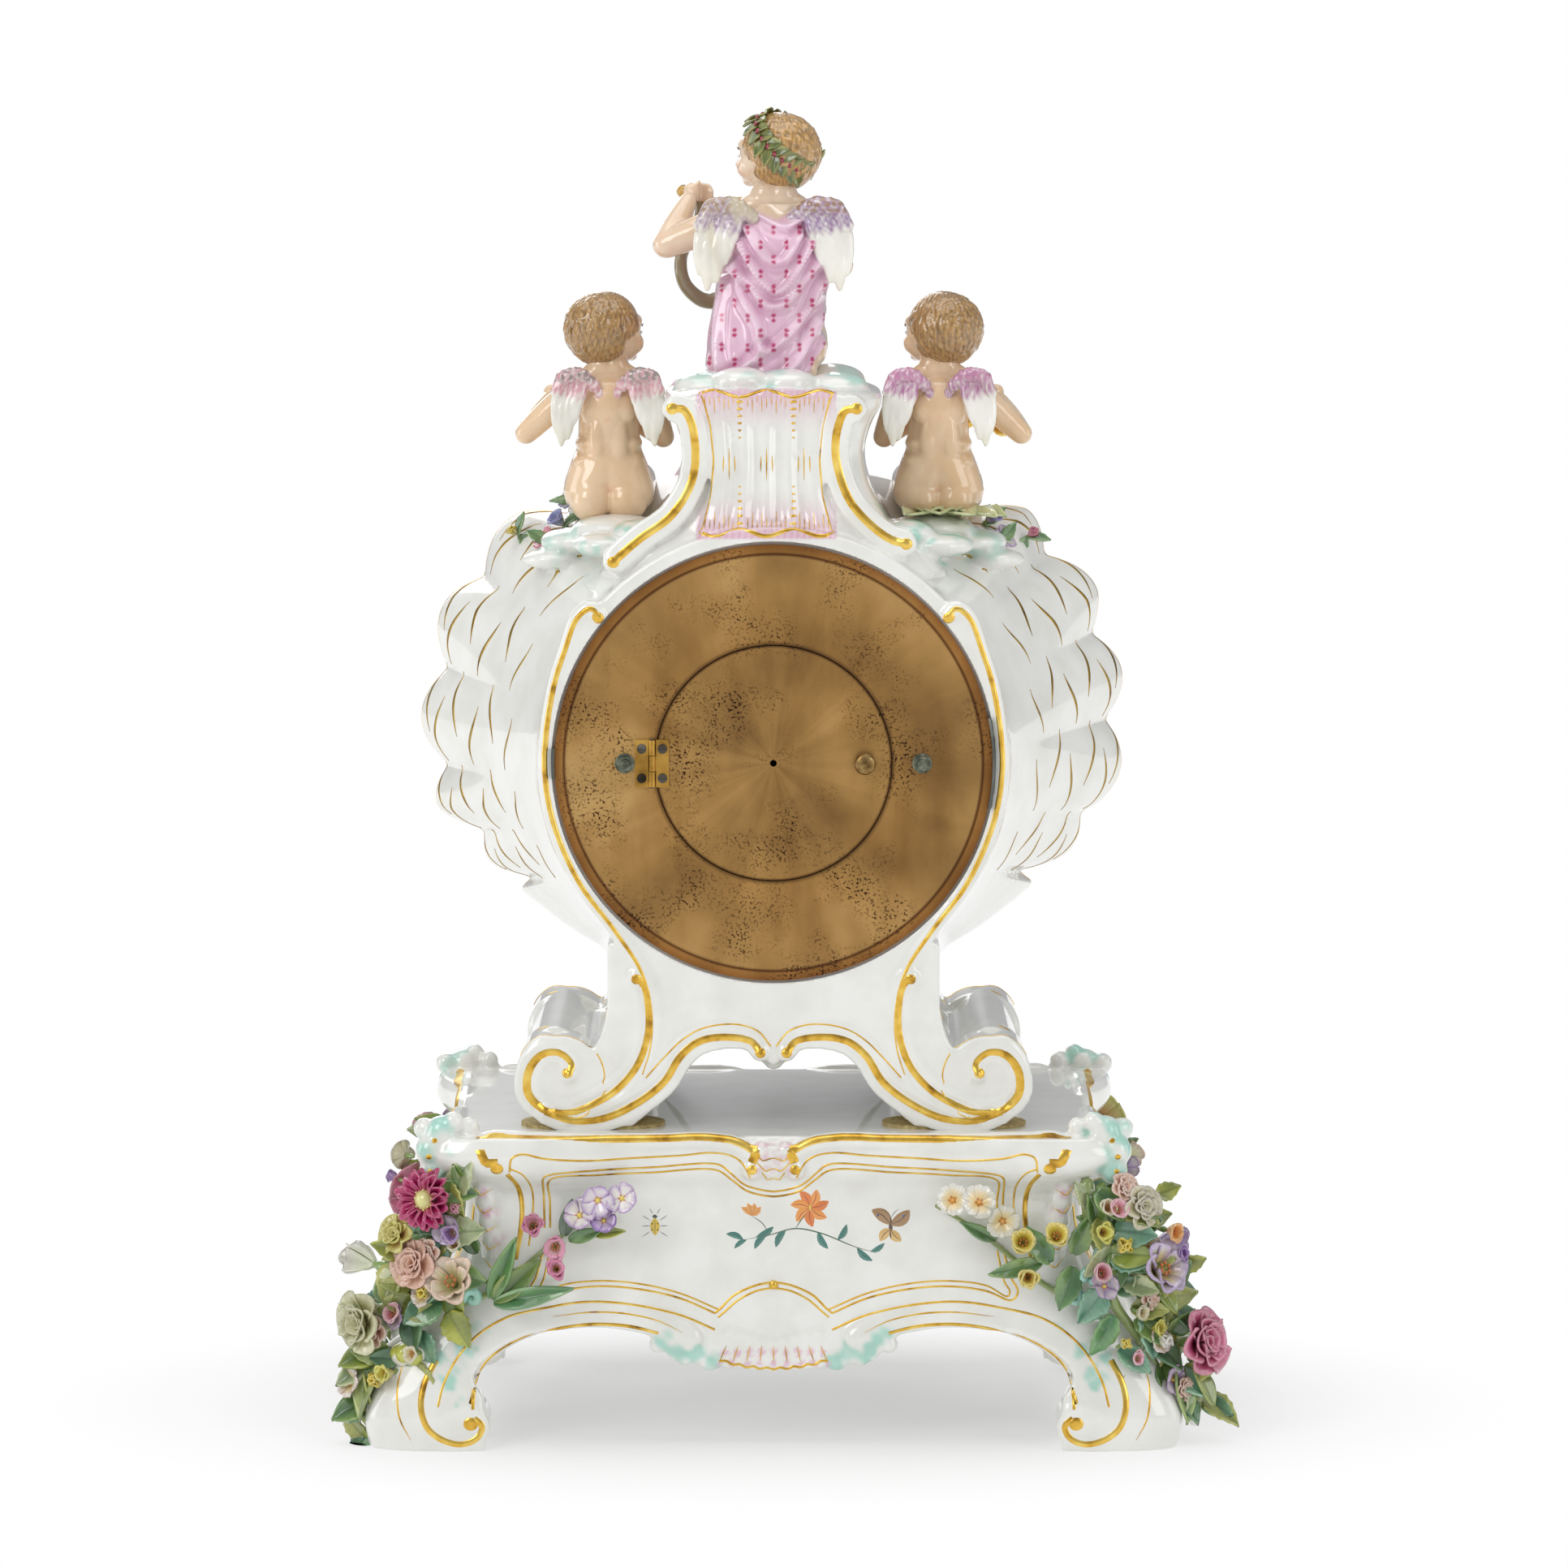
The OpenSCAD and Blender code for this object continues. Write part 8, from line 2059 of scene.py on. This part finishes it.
def paint_moth(b):
    for sx in (1, -1):
        b.leaf(66, 104, 90 - sx * 52, 15, 9.5, (0.66, 0.52, 0.36), (0.36, 0.24, 0.16))
        b.leaf(66, 101, -90 + sx * 42, 10, 7.5, (0.86, 0.72, 0.46), (0.46, 0.30, 0.20))
        b.stroke([(66, 108), (66 + sx * 2.5, 112), (66 + sx * 5.5, 114)], 0.4, DARK)
        b.stroke([(66 + sx * 7.5, 109.5), (66 + sx * 8.6, 110.2)], 1.8, (0.26, 0.36, 0.52), False, 0.18)
    b.stroke([(66, 109), (66, 103), (66, 95)], 2.8, (0.36, 0.26, 0.20))


def paint_beetle(b):
    b.stroke([(-66, 108), (-66, 101), (-66, 95)], 8.4, (0.88, 0.76, 0.26))
    b.stroke([(-66, 110.5), (-66, 107.5)], 4.6, DARK)
    b.stroke([(-66, 107), (-66, 96)], 0.5, DARK, lift=0.2)
    for sx in (1, -1):
        for z, rise in ((106, 4), (102, 0), (98, -4)):
            leg = [(-66 + sx * 3.5, z), (-66 + sx * 7, z + rise * 0.6), (-66 + sx * 9.5, z + rise)]
            b.stroke(leg, 0.5, DARK)
        b.stroke([(-66 + sx * 1.5, 111), (-66 + sx * 4, 115)], 0.4, DARK)
        for z in (104, 99.5):
            b.stroke([(-66 + sx * 1.8, z), (-66 + sx * 2.4, z - 0.6)], 1.3, (0.36, 0.24, 0.14), False, 0.2)


def paint_motifs(body):
    """Sprig, moth and beetle on each long panel of the stand."""
    b = Brush(body)
    for y in (FAR_Y, -FAR_Y):
        b.put(-14, 28.5, 0.72, y)
        paint_sprig(b)
        b.put(-98, 26, 0.70, y)
        paint_moth(b)
        b.put(92, 37, 0.60, y)
        paint_beetle(b)
    finish_piece(b.bunch.made("stand_motifs"), "porcelain", FIGURE)


# Dial

NUMERALS = ("XII", "I", "II", "III", "IIII", "V", "VI", "VII", "VIII", "IX", "X", "XI")
NUMERAL_H = 8.6
NUMERAL_R = 41.5
# Width of each letter, then its strokes: start and end in shares of width and height, stroke width
LETTERS = {"I": (0.34, [((0.5, 0), (0.5, 1), 1.0)]),
           "V": (0.80, [((0.1, 1), (0.5, 0), 1.0), ((0.5, 0), (0.9, 1), 0.4)]),
           "X": (0.80, [((0.1, 1), (0.9, 0), 1.0), ((0.1, 0), (0.9, 1), 0.4)])}
MINUTE_R = (48.2, 51.2)
INK = (0.10, 0.10, 0.16)
DIAL_CENTRE = np.array((0, DRUM_Z))
DIAL_Y = box_mm("dial")[0][1] - 0.02


def direction(degrees):
    a = math.radians(degrees)
    return np.array((math.cos(a), math.sin(a)))


def dial_bar(bunch, p, q, width, colour=INK):
    bunch.add(tube(walk(on_plane([p, q], DIAL_Y), 4), width / 2, 8, 0.12, ALONG_Y), colour)


def write_hour(bunch, hour, word):
    """One numeral. Seen from the front, +X is on the right hand of a viewer at -Y."""
    out = direction(90 - 30 * hour)
    level = np.array((out[1], -out[0]))
    unit_w = NUMERAL_H * 0.62
    x = -sum(LETTERS[c][0] for c in word) * unit_w / 2
    for c in word:
        share, strokes = LETTERS[c]
        w = share * unit_w

        def at(u, v):
            return DIAL_CENTRE + out * NUMERAL_R + level * (x + u * w) + out * (v - 0.5) * NUMERAL_H

        for start, end, thick in strokes:
            dial_bar(bunch, at(*start), at(*end), 1.1 * thick)
        for v in (0, 1):
            dial_bar(bunch, at(0.12, v), at(0.88, v), 0.35)
        x += w


def minute_ring(bunch):
    for r, w in ((MINUTE_R[0], 0.35), (MINUTE_R[1], 0.35), (33.2, 0.25)):
        bunch.add(tube(around(r, np.linspace(0, 360, 180), DIAL_Y), w / 2, 6, 0.3, ALONG_Y), INK)
    for k in range(60):
        inner, outer = (DIAL_CENTRE + direction(6 * k) * r for r in MINUTE_R)
        dial_bar(bunch, inner, outer, 0.9 if k % 5 == 0 else 0.35)


def dial_sprays(bunch):
    """Ring of small flowers with two leaves each."""
    for k in range(12):
        d = direction(30 * k + 15)
        p = DIAL_CENTRE + d * 26
        for j in range(5):
            colour = (0.80, 0.42, 0.55) if k % 2 else (0.45, 0.52, 0.76)
            dial_bar(bunch, p, p + 1.5 * direction(72 * j), 1.5, colour)
        s = np.array((-d[1], d[0]))
        for side in (-1, 1):
            dial_bar(bunch, p + s * side * 2.2, p + s * side * 5.2 + d * 0.8, 1.2, (0.40, 0.56, 0.38))


def make_dial_marks():
    """Fired numerals, minute ring and flower sprays on the enamel."""
    bunch = Bunch()
    for hour, word in enumerate(NUMERALS):
        write_hour(bunch, hour, word)
    minute_ring(bunch)
    dial_sprays(bunch)
    finish_piece(bunch.made("dial_marks"), "enamel", FIGURE)


# The pieces, in their places on the case

# Seats and sitting heights of the figures
TOP_SEAT, TOP_H = (0, 14.8, 468.4), 120
LEFT_SEAT, SIDE_H = (74, 8.2, 405.2), 101
RIGHT_SEAT = (-LEFT_SEAT[0], *LEFT_SEAT[1:])


def make_top_group():
    fig = Figure(TOP_SEAT, TOP_H, 1, 60, 1.06)
    make_putto("top_putto", fig, TOP_ARMS, TOP_SKIN, TOP_HAIR, 11)
    make_wreath(fig)
    make_drapery(TOP_SEAT, TOP_H)
    make_lyre(TOP_SEAT, TOP_H)
    make_wings("top", TOP_SEAT, TOP_H, 1.0, (0.62, 0.48, 0.66), (0.60, 0.46, 0.36), 21)


def make_side_groups():
    for node, seat, out, seed in (("left_putto", LEFT_SEAT, 1, 12), ("right_putto", RIGHT_SEAT, -1, 13)):
        fig = Figure(seat, SIDE_H, out, -55, 1.2)
        make_putto(node, fig, SIDE_ARMS, SIDE_SKIN, SIDE_HAIR, seed)
    make_wings("left", LEFT_SEAT, SIDE_H, 0.84, (0.86, 0.60, 0.66), (0.55, 0.52, 0.50), 22)
    make_wings("right", RIGHT_SEAT, SIDE_H, 0.84, (0.70, 0.44, 0.62), (0.78, 0.52, 0.66), 23)
    make_flute(LEFT_SEAT, SIDE_H)
    make_horn(RIGHT_SEAT, SIDE_H)
    make_hip_cloth(RIGHT_SEAT, SIDE_H)


stand = make_stand()
paint_stand(stand)
finish_piece(stand, "porcelain", PORCELAIN, "stand")
gild_stand(stand)
case = make_case()
paint_case(case)
finish_piece(case, "porcelain", PORCELAIN, "case_body")
gild_case(case)
paint_motifs(stand)
make_top_group()
make_side_groups()
make_garlands()
shoulder_flowers()
make_dial_marks()

# Materials of the CAD nodes that stay shown, by node and by slot
NODE_MATERIALS = {
    "tie_rods": metal("verdigris_metal", (0.22, 0.24, 0.20), (0.42, 0.44, 0.38), (0.60, 0.60, 0.52), 0.42,
                      300.0, 0.8),
    "door_knob": metal("worn_knob", (0.34, 0.26, 0.15), (0.56, 0.45, 0.28), (0.72, 0.62, 0.42), 0.36, 260.0),
}
SLOT_MATERIALS = {
    "aged_brass": BRASS,
    "clean_brass": metal("clean_brass", (0.52, 0.38, 0.16), (0.74, 0.57, 0.27), (0.84, 0.68, 0.36), 0.30),
    "gilt_brass": metal("gilt_brass", (0.70, 0.50, 0.18), (0.86, 0.66, 0.28), (0.92, 0.76, 0.40), 0.20),
    "steel": metal("steel", (0.20, 0.17, 0.14), (0.38, 0.36, 0.33), (0.55, 0.54, 0.52), 0.38),
    "grey_shim": metal("grey_shim", (0.28, 0.29, 0.27), (0.42, 0.43, 0.41), (0.52, 0.53, 0.50), 0.55,
                       metallic=0.6),
    "bell_metal": metal("bell_metal", (0.60, 0.52, 0.34), (0.76, 0.69, 0.50), (0.84, 0.78, 0.62), 0.22),
    "hand_gilt": metal("hand_gilt", (0.62, 0.44, 0.16), (0.80, 0.60, 0.24), (0.88, 0.70, 0.34), 0.25),
    "enamel": enamel(),
    "crystal": glass(),
    "wax_bed": wax(),
}


def dress_nodes():
    """Gives CAD nodes the material of their slot. A node whose slot isn't listed has a piece in its place."""
    for row in frame["record"]["subparts"]:
        material = NODE_MATERIALS.get(row["node"], SLOT_MATERIALS.get(row["material_slot"]))
        if material is not None:
            obj = frame["nodes"][row["node"]]
            obj.data.materials.clear()
            obj.data.materials.append(material)


dress_nodes()

# Studio, in metres

# Lamps: place, size, watts
LAMPS = {
    "key": ((1.3, 1.7, 1.5), (0.9, 1.2), 16),
    "fill": ((-1.6, 1.5, 0.9), (0.7, 1.4), 8),
    "top": ((0, 0.2, 1.9), (1.6, 1.2), 10),
    "front": ((0.6, -2.0, 1.3), (1.4, 1.4), 12),
    "left": ((2.2, 0.3, 0.5), (0.8, 1.4), 9),
    "right": ((-2.2, 0.3, 0.5), (0.8, 1.4), 5),
}
LAMP_AIM = (0, 0, 0.28)
PLAIN_WHITE = (1, 1, 1, 1)
# The photograph's camera
CAMERA_PLACE = (-0.00465, 3.0, 0.6108)
CAMERA_DIP = 6.21
CAMERA_LENS = 152.9


def floor_material():
    """Pale grey under the clock that turns into plain white away from it. It glows white, a little under the
    clock, which lightens the clock's shadow, and fully away from it.
    """
    m = Material("floor")
    m.feed(m.shader, {"Base Color": (0.88, 0.88, 0.88, 1), "Roughness": 0.9, "Specular IOR Level": 0.0})
    reach = m.node("VectorMath", {0: m.place((1.0, 1.5, 1.0))}, "Value", operation="LENGTH")
    # Glow that lightens the clock's shadow near it and turns to plain white further out
    fade = m.node("MapRange", {"Value": reach, "From Min": 0.13, "From Max": 0.36, "To Min": 0.38}, "Result",
                  interpolation_type="SMOOTHSTEP")
    white = m.node("Emission", {"Color": PLAIN_WHITE}, "Emission")
    surface = m.node("MixShader", {"Fac": fade, 1: m.shader.outputs["BSDF"], 2: white}, "Shader")
    m.feed(m.nodes["Material Output"], {"Surface": surface})
    return m.material


def make_floor():
    bpy.ops.mesh.primitive_plane_add(size=12, location=(0, 0, 0))
    floor = bpy.context.object
    floor.name = "floor"
    floor.data.materials.append(floor_material())


def make_world():
    """Soft grey light all round, seen by the camera as white."""
    world = bpy.data.worlds.new("studio")
    bpy.context.scene.world = world
    world.use_nodes = True
    nodes, links = world.node_tree.nodes, world.node_tree.links
    grey = nodes["Background"]
    grey.inputs["Color"].default_value = (0.80, 0.81, 0.83, 1)
    grey.inputs["Strength"].default_value = 0.46
    white = nodes.new("ShaderNodeBackground")
    white.inputs["Color"].default_value = PLAIN_WHITE
    path = nodes.new("ShaderNodeLightPath")
    pick = nodes.new("ShaderNodeMixShader")
    links.new(path.outputs["Is Camera Ray"], pick.inputs["Fac"])
    links.new(grey.outputs["Background"], pick.inputs[1])
    links.new(white.outputs["Background"], pick.inputs[2])
    links.new(pick.outputs["Shader"], nodes["World Output"].inputs["Surface"])


def make_lamp(name, place, size, watts):
    data = bpy.data.lights.new(name, "AREA")
    data.shape = "RECTANGLE"
    data.size, data.size_y = size
    data.energy = watts
    lamp = bpy.data.objects.new(name, data)
    lamp.location = place
    lamp.rotation_mode = "QUATERNION"
    lamp.rotation_quaternion = (Vector(LAMP_AIM) - Vector(place)).to_track_quat("-Z", "Y")
    bpy.context.scene.collection.objects.link(lamp)


def make_camera():
    scene = bpy.context.scene
    data = bpy.data.cameras.new("camera")
    data.sensor_width = 36
    data.lens = CAMERA_LENS
    data.clip_end = 50
    camera = bpy.data.objects.new("camera", data)
    camera.location = CAMERA_PLACE
    camera.rotation_euler = (math.radians(90 - CAMERA_DIP), 0, math.radians(180))
    scene.collection.objects.link(camera)
    scene.camera = camera
    scene.view_settings.view_transform = "Standard"


make_floor()
make_world()
for lamp_name, settings in LAMPS.items():
    make_lamp(lamp_name, *settings)
make_camera()
